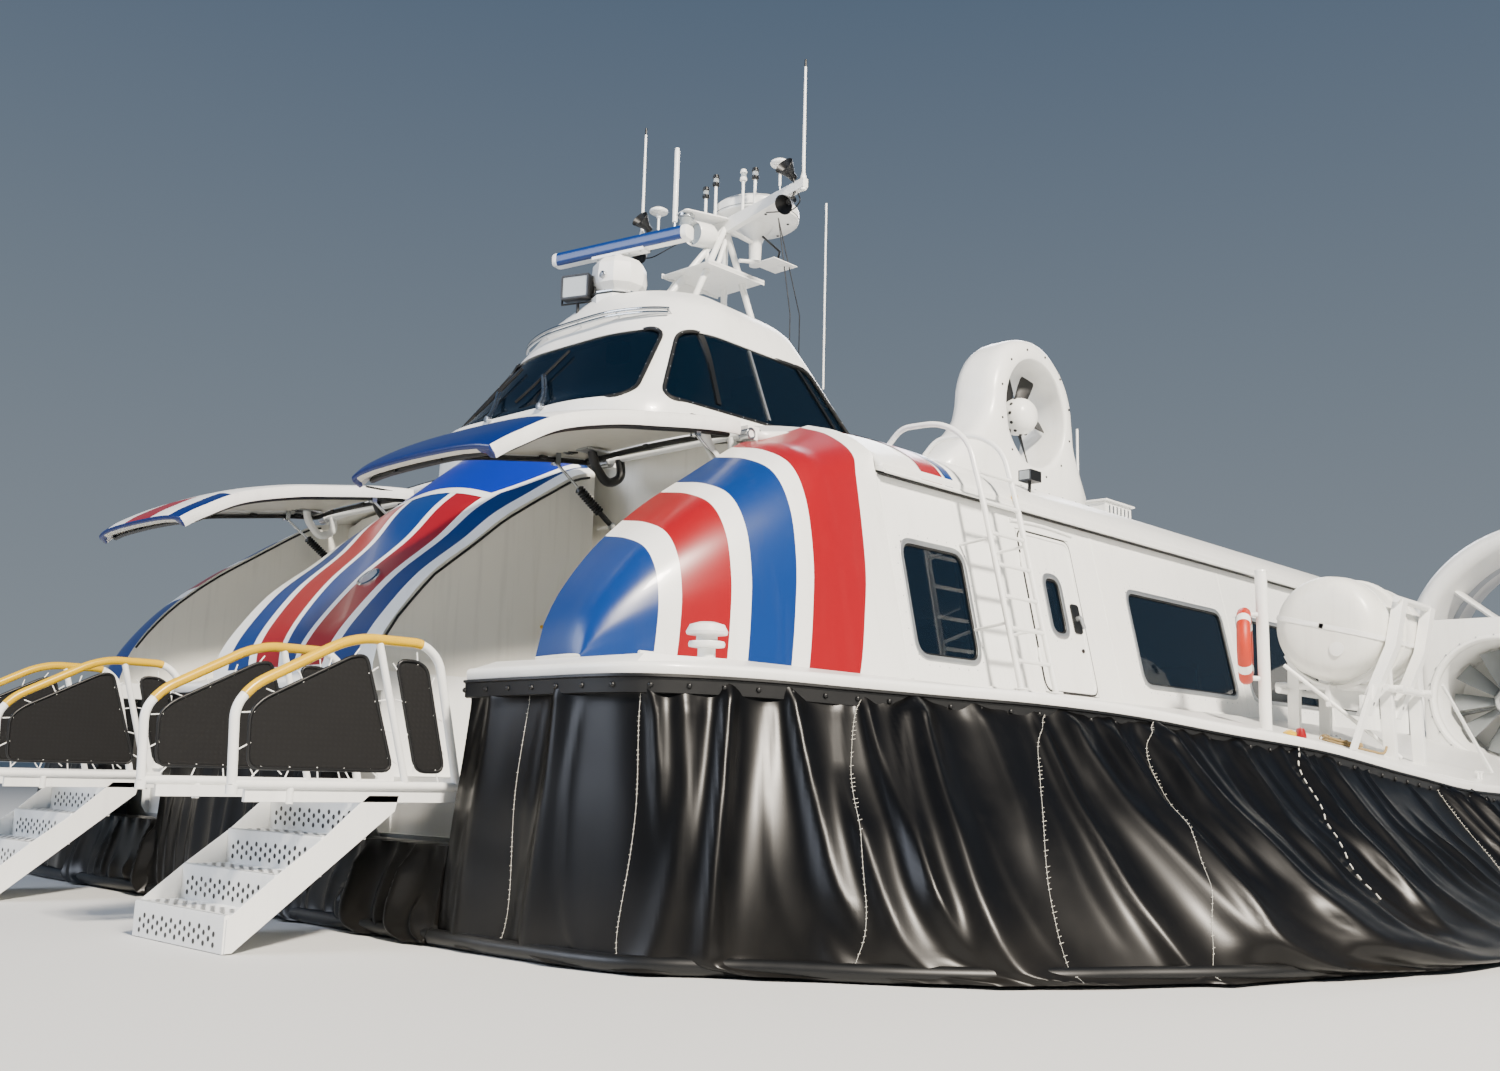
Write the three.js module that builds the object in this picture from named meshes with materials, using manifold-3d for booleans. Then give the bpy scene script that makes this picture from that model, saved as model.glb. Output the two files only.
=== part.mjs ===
// Twin-duct passenger hovercraft, parked off its cushion. Millimetres, +X forward, +Y port, +Z up.
// The origin lies on the ground under the middle of the craft.
import * as THREE from 'three';
import { mergeVertices } from 'three/addons/utils/BufferGeometryUtils.js';
import Module from 'manifold-3d';

const wasm = await Module();
wasm.setup();

// Driving dimensions
const GAP = 0.3; // left between pieces that touch
const DECK = 1640; // height of the inner deck
const BOW_X = 10150; // front of the raised bow at deck level
const WALL_FOOT = { y: 3850, z: DECK }; // outside of the cabin side at the deck
const WALL_TOP = { y: 3540, z: 3120 }; // outside of the cabin side at the gutter
const WALL = 90; // thickness of cabin walls and roof
const CABIN_FRONT = 7700;
const CABIN_REAR = -2400;
const FLOOR = 1060; // cabin floor
const ROOF_TOP = 3900;
const BAY_OUT = 2900; // outer side of each boarding bay
const BAY_FLOOR = 930;
const BULKHEAD_X = 8000; // front face of the bulkhead behind the boarding bays
const ROOF_FRONT = 8240; // front edge of the cabin roof, over the bay doors
const STERN_X = -11000; // after edge of the deck
const AFT_DECK = { x: -7400, z: 1060 }; // the low deck under the propeller ducts

const WHITE = { color: 0xf2f4f4, roughness: 0.3, metalness: 0 };
const RED = { color: 0xd8222f, roughness: 0.35, metalness: 0 };
const BLUE = { color: 0x1e4f9c, roughness: 0.35, metalness: 0 };
const GREY = { color: 0xc9cbc4, roughness: 0.5, metalness: 0 };
const DARK = { color: 0x16181b, roughness: 0.5, metalness: 0 };
const SKIRT = { color: 0x101114, roughness: 0.45, metalness: 0 };
const STEEL = { color: 0xb8bcc0, roughness: 0.35, metalness: 0.9 };
const GLASS = { color: 0x1c3038, roughness: 0.05, metalness: 0 };

const craft = new THREE.Group();

function add(name, geometry, look) {
  const mesh = new THREE.Mesh(geometry, new THREE.MeshStandardMaterial(look));
  mesh.name = name;
  craft.add(mesh);
  return mesh;
}

// A closed geometry from points and triangles, turned to face out
function closed(points, triangles) {
  let volume = 0;
  for (const [a, b, c] of triangles) {
    const [p, q, r] = [points[a], points[b], points[c]];
    volume += p[0] * (q[1] * r[2] - q[2] * r[1]) + p[1] * (q[2] * r[0] - q[0] * r[2])
      + p[2] * (q[0] * r[1] - q[1] * r[0]);
  }
  const index = triangles.flatMap(([a, b, c]) => (volume > 0 ? [a, b, c] : [a, c, b]));
  const geometry = new THREE.BufferGeometry();
  geometry.setAttribute('position', new THREE.Float32BufferAttribute(points.flat(), 3));
  geometry.setIndex(index);
  return geometry;
}

// Triangles that fill a flat ring of points
function cap(ring) {
  const normal = [0, 0, 0];
  ring.forEach((p, i) => {
    const q = ring[(i + 1) % ring.length];
    normal[0] += (p[1] - q[1]) * (p[2] + q[2]);
    normal[1] += (p[2] - q[2]) * (p[0] + q[0]);
    normal[2] += (p[0] - q[0]) * (p[1] + q[1]);
  });
  const size = normal.map(Math.abs);
  const drop = size.indexOf(Math.max(...size));
  const keep = [0, 1, 2].filter((i) => i !== drop);
  const flat = ring.map((p) => new THREE.Vector2(p[keep[0]], p[keep[1]]));
  const fill = THREE.ShapeUtils.triangulateShape(flat, []);
  const [a, b, c] = fill[0].map((i) => flat[i]);
  const side = (b.x - a.x) * (c.y - a.y) - (b.y - a.y) * (c.x - a.x);
  const turn = THREE.ShapeUtils.area(flat);
  return side * turn > 0 ? fill : fill.map(([i, j, k]) => [i, k, j]);
}

// A solid skinned over rings of equal count, with both ends filled
function loft(rings) {
  const count = rings[0].length;
  const triangles = [];
  for (let r = 0; r + 1 < rings.length; r += 1) {
    for (let i = 0; i < count; i += 1) {
      const j = (i + 1) % count;
      const [a, b, c, d] = [r * count + i, r * count + j, (r + 1) * count + j, (r + 1) * count + i];
      triangles.push([a, b, c], [a, c, d]);
    }
  }
  const last = (rings.length - 1) * count;
  cap(rings[0]).forEach(([a, b, c]) => triangles.push([c, b, a]));
  cap(rings[rings.length - 1]).forEach(([a, b, c]) => triangles.push([last + a, last + b, last + c]));
  return closed(rings.flat(), triangles);
}

function solid(geometry) {
  const bare = geometry.clone();
  bare.deleteAttribute('normal');
  bare.deleteAttribute('uv');
  const merged = mergeVertices(bare, 1e-3);
  return new wasm.Manifold(new wasm.Mesh({
    numProp: 3,
    vertProperties: new Float32Array(merged.attributes.position.array),
    triVerts: new Uint32Array(merged.index.array),
  }));
}

function geometryOf(body) {
  const mesh = body.getMesh();
  const geometry = new THREE.BufferGeometry();
  geometry.setAttribute('position', new THREE.Float32BufferAttribute(mesh.vertProperties, 3));
  geometry.setIndex(Array.from(mesh.triVerts));
  return geometry;
}

const join = (shapes) => geometryOf(shapes.map(solid).reduce((a, b) => a.add(b)));
const cut = (shape, tools) => geometryOf(tools.map(solid).reduce((a, b) => a.subtract(b), solid(shape)));

// A box between two corners
function block(x0, x1, y0, y1, z0, z1) {
  const box = new THREE.BoxGeometry(Math.abs(x1 - x0), Math.abs(y1 - y0), Math.abs(z1 - z0));
  return box.translate((x0 + x1) / 2, (y0 + y1) / 2, (z0 + z1) / 2);
}

// A straight round bar between two points
function bar(from, to, radius, sides = 8) {
  const a = new THREE.Vector3(...from);
  const b = new THREE.Vector3(...to);
  const along = b.clone().sub(a);
  const rod = new THREE.CylinderGeometry(radius, radius, along.length(), sides);
  rod.applyQuaternion(new THREE.Quaternion().setFromUnitVectors(new THREE.Vector3(0, 1, 0), along.normalize()));
  return rod.translate(...a.add(b).multiplyScalar(0.5).toArray());
}

// A round tube through a list of points, mitred at the bends
function tube(points, radius, sides = 6) {
  const path = points.map((p) => new THREE.Vector3(...p));
  const along = path.slice(1).map((p, i) => p.clone().sub(path[i]).normalize());
  const turn = new THREE.Quaternion().setFromUnitVectors(new THREE.Vector3(0, 0, 1), along[0]);
  let ring = [];
  for (let i = 0; i < sides; i += 1) {
    const angle = ((i + 0.5) * 2 * Math.PI) / sides;
    ring.push(new THREE.Vector3(radius * Math.cos(angle), radius * Math.sin(angle), 0).applyQuaternion(turn).add(path[0]));
  }
  const rings = [ring];
  along.forEach((d, i) => {
    const normal = i + 1 < along.length ? d.clone().add(along[i + 1]) : d;
    ring = ring.map((p) => {
      const reach = path[i + 1].clone().sub(p).dot(normal) / d.dot(normal);
      return p.clone().addScaledVector(d, reach);
    });
    rings.push(ring);
  });
  return loft(rings.map((list) => list.map((p) => p.toArray())));
}

// A turned solid about an axis through a centre: axis is 'x', 'y' or 'z', profile is [radius, along] pairs.
// A profile that starts off the axis closes on itself and gives a ring.
function turned(profile, axis, centre, sides = 24) {
  const round = profile[0][0] > 0 ? [...profile, profile[0]] : profile;
  const lathe = new THREE.LatheGeometry(round.map(([r, h]) => new THREE.Vector2(r, h)), sides);
  if (axis === 'x') lathe.rotateZ(-Math.PI / 2);
  if (axis === 'z') lathe.rotateX(Math.PI / 2);
  lathe.deleteAttribute('normal');
  lathe.deleteAttribute('uv');
  const merged = mergeVertices(lathe, 1e-3).translate(...centre);
  const points = [];
  const p = merged.attributes.position;
  for (let i = 0; i < p.count; i += 1) points.push([p.getX(i), p.getY(i), p.getZ(i)]);
  const triangles = [];
  const index = merged.index.array;
  for (let i = 0; i < index.length; i += 3) {
    const [a, b, c] = [index[i], index[i + 1], index[i + 2]];
    if (a !== b && b !== c && a !== c) triangles.push([a, b, c]);
  }
  return closed(points, triangles);
}

const mirrored = (points, side) => points.map(([x, y, z]) => [x, y * side, z]);
const SIDES = [['port', 1], ['starboard', -1]];

// Deck edge and the foot of the skirt, port side, from beside the boarding slot round to the stern
const SLOT_IN = 1150; // the boarding slots in the bow skirt run from here
const SLOT_OUT = 2560;
const RIM = [
  // deck edge x, y, z, then skirt foot x, y
  [10330, SLOT_OUT, 1580, 10480, SLOT_OUT],
  [10310, 3200, 1585, 10460, 3300],
  [10200, 3880, 1590, 10360, 4060],
  [9640, 4200, 1590, 9960, 4540],
  [9100, 4450, 1570, 9540, 5130],
  [8540, 4700, 1550, 9020, 5620],
  [7950, 4970, 1530, 8540, 5900],
  [7200, 5200, 1490, 7850, 6300],
  [6400, 5450, 1410, 6900, 6560],
  [5400, 5670, 1330, 5900, 6660],
  [4100, 5830, 1190, 4300, 6680],
  [2400, 5900, 1080, 2500, 6680],
  [-2000, 5900, 1060, -2000, 6680],
  [-6500, 5880, 1060, -6500, 6640],
  [-9600, 5600, 1060, -9900, 6300],
  [-10700, 5000, 1060, -11150, 5500],
  [STERN_X, 4200, 1060, -11600, 4200],
];
const TUCK = 0.94; // inner side of the skirt, against the hull, as a share of the deck edge
const HULL_SIDE = 0.935; // the hull keeps inside the skirt
const LIP = 70; // depth of the deck lip over the skirt
const BOW_RIM = 10400; // front of the lip between the boarding slots
const HATCH_RISE = 25; // the flat deck hatches stand this high

// A point of the rim drawn in towards the middle; the ends at the slots and the stern keep their y
function drawn(x, y, share) {
  const u = x > 0 ? x - (1 - share) * 5600 : x + (1 - share) * 5600;
  return [u, y <= SLOT_OUT || x <= STERN_X ? y : y * share];
}

// A whole outline of the craft from its port half
const fold = (half) => [...half, ...[...half].reverse().map(([x, y, z]) => [x, -y, z])];

function hull() {
  const edge = [[BOW_RIM, SLOT_IN - 10, 1575], [10390, SLOT_IN, 1575], ...RIM.map(([x, y, z]) => [x, y, z])];
  const level = (share, z) => fold(edge.map(([x, y]) => [...drawn(x, y, share), z]));
  const belly = loft([level(0.9, 320), level(HULL_SIDE, 620), level(HULL_SIDE, 960)]);
  const shelf = fold(edge.map(([x, y, z]) => [...drawn(x, y, HULL_SIDE), z - LIP]));
  const lipFoot = fold(edge.map(([x, y, z]) => [x, y, z - LIP]));
  const inner = fold(edge.map(([x, y]) => [Math.max(Math.min(x, BOW_X), -10600), Math.min(y, 4050), DECK]));
  const deck = loft([level(HULL_SIDE, 940), shelf, lipFoot, fold(edge), inner]);
  const cuts = [
    block(CABIN_REAR + WALL, BULKHEAD_X - WALL, -3660, 3660, FLOOR, 3000),
    block(-12000, AFT_DECK.x, -7000, 7000, AFT_DECK.z, 3000),
  ];
  SIDES.forEach(([, side]) => {
    cuts.push(block(BULKHEAD_X, 11000, side * SLOT_IN, side * SLOT_OUT, BAY_FLOOR, 3000));
    cuts.push(block(9900, 11000, side * SLOT_IN, side * SLOT_OUT, 560, 3000));
    cuts.push(block(7800, 8100, side * 1500, side * 2350, FLOOR, 3000));
    cuts.push(turned([[0, 60], [DUCT.outer + GAP, 60], [DUCT.outer + GAP, -DUCT.length - 60], [0, -DUCT.length - 60]],
      'x', [DUCT.x, side * DUCT.y, DUCT.z], 40));
  });
  const ears = SIDES.flatMap(([, side]) => [1176, 2314].map((y) => cut(
    block(9880, 9985, side * (y - 8), side * (y + 8), 785, 865),
    [bar([9960, side * (y - 20), 825], [9960, side * (y + 20), 825], 15.7, 12)],
  )));
  const hatches = [[-8600, AFT_DECK.z], [-4800, DECK]]
    .map(([x, z]) => block(x - 350, x + 350, -300, 300, z - 10, z + HATCH_RISE));
  return join([cut(join([belly, deck]), cuts), ...ears, ...hatches]);
}
const DUCT = { x: -8000, length: 1900, y: 3950, z: 3000, bore: 1780, outer: 2140 };
const hullShape = hull();
add('hull', hullShape, WHITE);
const hullLifted = hullShape.clone().translate(0, 0, GAP);

// One side of the skirt: a bag that bulges from the deck lip to the ground and tucks in under the hull
function skirtSide(side) {
  const bag = loft(RIM.map(([x, y, z, fx, fy]) => {
    const out = (k, h) => [x + (fx - x) * k, y + (fy - y) * k, h];
    const [u, v] = drawn(x, y, TUCK);
    return mirrored([
      [u, v, z - LIP + 10], out(0, z - LIP + 10), out(0.12, z * 0.84), out(0.55, z * 0.5),
      out(0.9, z * 0.2), out(1, 70), out(1, 0), [...drawn(x, y, 0.9), 0], [u, v, 300],
    ], side);
  }));
  return cut(bag, [hullShape.clone().translate(0, 0, -GAP)]);
}
SIDES.forEach(([name, side]) => add(`skirt_${name}`, skirtSide(side), SKIRT));

// The bow skirt stands full height between the boarding slots and low across them
function bowSkirt() {
  const bag = (y0, y1, profile) => loft([y0, y1].map((y) => profile.map(([x, z]) => [x, y, z])));
  const low = [[10160, 0], [10470, 0], [10475, 60], [10450, 300], [10420, 555], [10110, 555], [10110, 300]];
  const centre = [[10160, 0], [10470, 0], [10480, 60], [10450, 700], [10400, 1504.7], [10075, 1504.7], [10075, 300]];
  const slots = SIDES.map(([, side]) => bag(side * (SLOT_IN - 60), side * (SLOT_OUT - 10), low));
  return cut(join([bag(-SLOT_IN + 20, SLOT_IN - 20, centre), ...slots]), [hullShape.clone().translate(GAP, 0, -GAP)]);
}
add('skirt_bow', bowSkirt(), SKIRT);
const sternBag = [[-10670, 989.7], [STERN_X, 989.7], [-11250, 600], [-11600, 70], [-11600, 0], [-10500, 0], [-10670, 300]];
add('skirt_stern', loft([-4199, 4199].map((y) => sternBag.map(([x, z]) => [x, y, z]))), SKIRT);

// Cabin side: leans in, with windows and a door opening cut
const SILL = 1840;
const HEAD = 2650;
const WINDOWS = [
  // x aft, x forward
  [6800, 7550], [2500, 4330], [350, 2150], [-1800, 0],
];
const TOP_DROP = 22; // the inner top edge of a door leaf is lower, so that it swings out under the lintel
const DOOR = { aft: 5160, fore: 5970, foot: 1680, head: 2980 };
const sideY = (z, inset = 0) => WALL_FOOT.y - inset
  + ((WALL_TOP.y - WALL_FOOT.y) * (z - WALL_FOOT.z)) / (WALL_TOP.z - WALL_FOOT.z);
function slab(x0, x1, z0, z1, inset, thick, side, drop = 0) {
  const at = (x) => mirrored([
    [x, sideY(z0, inset), z0], [x, sideY(z1, inset), z1],
    [x, sideY(z1 - drop, inset + thick), z1 - drop], [x, sideY(z0, inset + thick), z0],
  ], side);
  return loft([at(x0), at(x1)]);
}
// Hinge barrels lie along the leaning fore edge of the door
const HINGE_HEIGHTS = [1950, 2700];
const barrel = (side, z0, z1, radius) => bar(
  [DOOR.fore, side * (sideY(z0) + 8), z0], [DOOR.fore, side * (sideY(z1) + 8), z1], radius, 12,
);
SIDES.forEach(([name, side]) => {
  const wall = slab(CABIN_REAR, CABIN_FRONT, DECK + GAP, WALL_TOP.z, 0, WALL, side);
  const holes = WINDOWS.map(([aft, fore]) => block(aft, fore, side * 3000, side * 4200, SILL, HEAD));
  holes.push(block(DOOR.aft, DOOR.fore, side * 3000, side * 4200, DOOR.foot, DOOR.head));
  const fixed = HINGE_HEIGHTS.map((z) => barrel(side, z, z + 70, 14));
  const swung = HINGE_HEIGHTS.map((z) => barrel(side, z - 70, z - 0.6, 14));
  const swungRoom = HINGE_HEIGHTS.map((z) => barrel(side, z - 75, z - 0.3, 20));
  const fixedRoom = HINGE_HEIGHTS.map((z) => barrel(side, z - 0.3, z + 75, 20));
  add(`cabin_side_${name}`, join([cut(wall, [...holes, ...swungRoom]), ...fixed]), WHITE);
  const leaf = slab(DOOR.aft + 8, DOOR.fore - 8, DOOR.foot + 8, DOOR.head - 8, 0, WALL, side, TOP_DROP);
  const porthole = block(5460, 5680, side * 3000, side * 4200, 2160, 2620);
  add(`cabin_door_${name}`, join([cut(leaf, [porthole, ...fixedRoom]), ...swung]), WHITE);
});

// Cabin roof: a cambered shell with the gutter along its foot, lower towards the bow doors
const ROOF_LINE = [
  // y and z of the outside, y and z of the inside, z of the outside at the front edge
  [3600, 3120, 3440, 3120, 3120],
  [3600, 3200, 3400, 3180, 3170],
  [3480, 3330, 3360, 3240, 3230],
  [3200, 3480, 3120, 3390, 3330],
  [2700, 3640, 2650, 3545, 3440],
  [2000, 3780, 1970, 3685, 3500],
  [1000, 3870, 980, 3775, 3550],
  [0, ROOF_TOP, 0, 3805, 3570],
];
const ROOF_BEND = 7300; // the roof falls from here to its front edge
function roofRing(x, filled) {
  const share = Math.max(0, (x - ROOF_BEND) / (ROOF_FRONT - ROOF_BEND));
  const drop = (row) => (row[1] - row[4]) * share;
  const outer = ROOF_LINE.map((row) => [x, row[0], row[1] - drop(row) + GAP]);
  const inner = ROOF_LINE.map((row) => [x, row[2], row[3] - drop(row) + GAP]);
  const whole = (list) => [...list, ...list.slice(0, -1).reverse().map(([a, y, z]) => [a, -y, z])];
  return filled ? [[x, 3600, 3000], ...whole(outer), [x, -3600, 3000]] : [...whole(outer), ...whole(inner).reverse()];
}
const ROOF_STATIONS = [CABIN_REAR, ROOF_BEND, ROOF_FRONT];
const roofFill = loft(ROOF_STATIONS.map((x) => roofRing(x, true)));
const roofLifted = roofFill.clone().translate(0, 0, GAP);
const roofShell = loft(ROOF_STATIONS.map((x) => roofRing(x, false)));
const shoulders = SIDES.map(([, side]) => block(CABIN_FRONT, 8400, side * (BAY_OUT - 5), side * 4000, 2800, 4000));
function roof() {
  const hatch = block(5250, 7450, -1250, 1250, 3300, 4200);
  const box = cut(block(2700, 3150, 900, 1900, 3750, 4060), [block(0, 9000, -3000, 3000, 3000, 3760)]);
  const blister = turned([[0, 3800], [900, 3800], [860, 3870], [600, 3990], [0, 4060]], 'z', [-800, 0, 0], 24);
  const lugs = SIDES.flatMap(([, side]) => [[1310, 1390], [2810, 2890]]
    .map(([y0, y1]) => block(ROOF_FRONT - 30, HINGE.x + 30, side * y0, side * y1, HINGE.z - 40, HINGE.z + 60)));
  return join([cut(roofShell, [hatch, ...shoulders]), box, blister, ...lugs]);
}
const HINGE = { x: 8300, z: 3380 };
const STRUT = { foot: { x: 8150, z: 2900 }, top: { x: 8740, z: 3310 }, at: [1270, 2780] };
const footPin = (side, y0, y1) => bar([STRUT.foot.x, side * y0, STRUT.foot.z], [STRUT.foot.x, side * y1, STRUT.foot.z], 15, 12);
add('cabin_roof', roof(), WHITE);

// Cross walls under the roof
function crossWall(x0, x1, foot, width) {
  const half = [[width, foot], ...ROOF_LINE.filter((row) => row[2] < width).map((row) => [row[2], row[3] - 5])];
  const ring = [...half, ...half.slice(0, -1).reverse().map(([y, z]) => [-y, z])];
  return loft([x0, x1].map((x) => ring.map(([y, z]) => [x, y, z])));
}
add('cabin_rear_wall', crossWall(CABIN_REAR + WALL + 2, CABIN_REAR + 2 * WALL, FLOOR + GAP, 3430), WHITE);
function bulkhead() {
  const [x0, x1] = [BULKHEAD_X - WALL + 1, BULKHEAD_X - 1];
  const wall = block(x0, x1, -(BAY_OUT - 5), BAY_OUT - 5, DECK + GAP, 3800);
  const above = cut(block(7000, 8200, -4000, 4000, 3100, 4500), [roofFill]);
  const under = cut(wall, [above, roofShell.clone().translate(0, 0, GAP), roofShell.clone().translate(0, 0, -GAP)]);
  const open = cut(under, SIDES.map(([, side]) => block(7000, 9000, side * 1500, side * 2350, 900, 3000)));
  const [x, y] = [BULKHEAD_X + 6, 2346];
  const room = SIDES.flatMap(([, side]) => [1800, 2700].map((z) => bar([x, side * y, z - 5], [x, side * y, z + 80.3], 17, 12)));
  const fixed = SIDES.flatMap(([, side]) => [1800, 2700].map((z) => bar([x, side * y, z + 80.6], [x, side * y, z + 150], 12, 12)));
  const leafRoom = SIDES.map(([, side]) => block(7900, 8100, side * 1500, side * 2342.5, 900, 3000));
  return join([cut(open, room), ...fixed.map((shape) => cut(shape, leafRoom))]);
}
add('cabin_front_wall', bulkhead(), GREY);
SIDES.forEach(([name, side]) => {
  const leaf = block(BULKHEAD_X - 42, BULKHEAD_X - 2, side * 1508, side * 2342, FLOOR + 10, 2990);
  const round = turned([[0, -200], [170, -200], [170, 200], [0, 200]], 'x', [BULKHEAD_X - 50, side * 1925, 2450], 16);
  const [x, y] = [BULKHEAD_X + 6, side * 2346];
  const knuckles = [1800, 2700].map((z) => bar([x, y, z], [x, y, z + 80], 12, 12));
  add(`bay_door_${name}`, join([cut(leaf, [round]), ...knuckles]), WHITE);
});

// The nose: a hump from the foot of the windshield down to the bow
const NOSE = [
  // x, z at the middle, z at the edge
  [8241, 3820, 3330], [8450, 3640, 3270], [8800, 3330, 3050], [9100, 3060, 2850], [9350, 2740, 2640],
  [9700, 2400, 2360], [9950, 2090, 2060], [10080, 1870, 1850], [10120, 1700, 1695],
];
function nose() {
  const half = SLOT_IN - 5;
  const steps = [-1, -0.8, -0.5, -0.2, 0.2, 0.5, 0.8, 1];
  const upper = loft(NOSE.map(([x, middle, edge]) => [
    [x, -half, DECK + GAP],
    ...steps.map((k) => [x, half * k, edge + (middle - edge) * Math.cos((Math.PI / 2) * k)]),
    [x, half, DECK + GAP],
  ]));
  const pins = SIDES.map(([, side]) => footPin(side, half - 40, STRUT.at[0] + 24));
  return join([upper, block(BULKHEAD_X, 8300, -half, half, DECK + GAP, 3240), ...pins]);
}
const noseShape = nose();
add('bow_nose', noseShape, BLUE);

// Cheek: a rounded fairing from the front of the cabin side to the bow
const CHEEK = [
  // x, z at the top
  [CABIN_FRONT + 1, 3560], [8240, 3340], [8450, 3270], [8980, 2930], [9350, 2680], [9700, 2380], [9950, 2080], [10080, 1860],
];
const CHEEK_CURVE = [
  // outward and upward share at the cabin, then at the bow
  [1, 0, 1, 0], [0.91, 0.21, 0.99, 0.25], [0.83, 0.4, 0.96, 0.48], [0.67, 0.77, 0.86, 0.72],
  [0.6, 0.86, 0.66, 0.89], [0.32, 0.95, 0.35, 0.97], [0, 1, 0, 1],
];
function cheek(side) {
  const body = loft(CHEEK.map(([x, top]) => {
    const share = Math.max(0, (x - CABIN_FRONT) / (BOW_X - CABIN_FRONT));
    const width = 950 - 560 * share ** 2.2;
    const blend = Math.min(1, share * 2.5);
    const rise = top - DECK - GAP;
    const points = CHEEK_CURVE.map(([w0, h0, w1, h1]) => [
      x, BAY_OUT + width * (w0 + (w1 - w0) * blend), DECK + GAP + rise * (h0 + (h1 - h0) * blend),
    ]);
    return mirrored([...points, [x, BAY_OUT, DECK + GAP]], side);
  }));
  return join([body, footPin(side, BAY_OUT + 40, STRUT.at[1] - 24)]);
}
SIDES.forEach(([name, side]) => add(`bow_cheek_${name}`, cheek(side), side > 0 ? RED : WHITE));

// Bow doors, shown swung up: the closed panel is turned about its hinge
const OPEN = (27 * Math.PI) / 180;
function swing(x, z) {
  const [dx, dz] = [x - HINGE.x, z - HINGE.z];
  return [
    HINGE.x + dx * Math.cos(OPEN) - dz * Math.sin(OPEN),
    HINGE.z + dx * Math.sin(OPEN) + dz * Math.cos(OPEN),
  ];
}
function bowDoor(side) {
  const top = [[8420, 3440], [8700, 3260], [9050, 3010], [9400, 2750], [9750, 2430], [9960, 2130], [10030, 1990]];
  const bottom = top.map(([x, z]) => [x - 62, z - 72]).reverse();
  const edge = (y) => [...top, ...bottom].map(([x, z]) => {
    const [u, w] = swing(x, z);
    return [u, y * side, w];
  });
  const panel = loft([edge(SLOT_IN + 25), edge(BAY_OUT - 20)]);
  const arms = [1500, 2700].map((y) => {
    const [u, w] = swing(8520, 3300);
    return tube([[HINGE.x, y * side, HINGE.z], [HINGE.x + 20, y * side, HINGE.z + 60], [u, y * side, w]], 28);
  });
  const pin = bar([HINGE.x, 1390.5 * side, HINGE.z], [HINGE.x, 2809.5 * side, HINGE.z], 26, 12);
  const { x, z } = STRUT.top;
  const lugs = STRUT.at.flatMap((y) => [
    bar([x, (y - 34) * side, z], [x, (y + 34) * side, z], 8, 10),
    block(x - 22, x + 22, side * (y + 22), side * (y + 34), z - 20, z + 90),
    block(x - 22, x + 22, side * (y - 22), side * (y - 34), z - 20, z + 90),
  ]);
  return join([panel, ...arms, pin, ...lugs]);
}

// Gas struts under the bow doors: barrel on a pin of the hull side, rod on a pin of the door
function struts(side, name) {
  const { foot, top, at } = STRUT;
  const reach = Math.hypot(top.x - foot.x, top.z - foot.z);
  const lean = Math.atan2(top.z - foot.z, top.x - foot.x);
  const placed = (shape, y) => shape.rotateY(-lean).translate(foot.x, y * side, foot.z);
  const ring = (along) => turned([[15.5, -16], [30, -16], [30, 16], [15.5, 16]], 'y', [along, 0, 0], 12);
  at.forEach((y, i) => {
    const where = i ? 'outer' : 'inner';
    const tube = turned([[0, 22], [24, 22], [24, 440], [12.6, 440], [12.6, 190], [0, 190]], 'x', [0, 0, 0], 12);
    const bore = turned([[0, -40], [15.5, -40], [15.5, 40], [0, 40]], 'y', [0, 0, 0], 12);
    add(`strut_barrel_${name}_${where}`, placed(join([cut(tube, [bore]), ring(0)]), y), DARK);
    const end = turned([[0, -40], [13, -40], [13, 40], [0, 40]], 'y', [reach, 0, 0], 12);
    const eye = turned([[0, -14], [24, -14], [24, 14], [0, 14]], 'y', [reach, 0, 0], 12);
    const rod = turned([[0, 385], [12, 385], [12, reach - 10], [0, reach - 10]], 'x', [0, 0, 0], 12);
    add(`strut_rod_${name}_${where}`, placed(cut(join([rod, eye]), [end]), y), STEEL);
  });
}
SIDES.forEach(([name, side]) => struts(side, name));

SIDES.forEach(([name, side]) => add(`bow_door_${name}`, bowDoor(side), BLUE));

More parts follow.
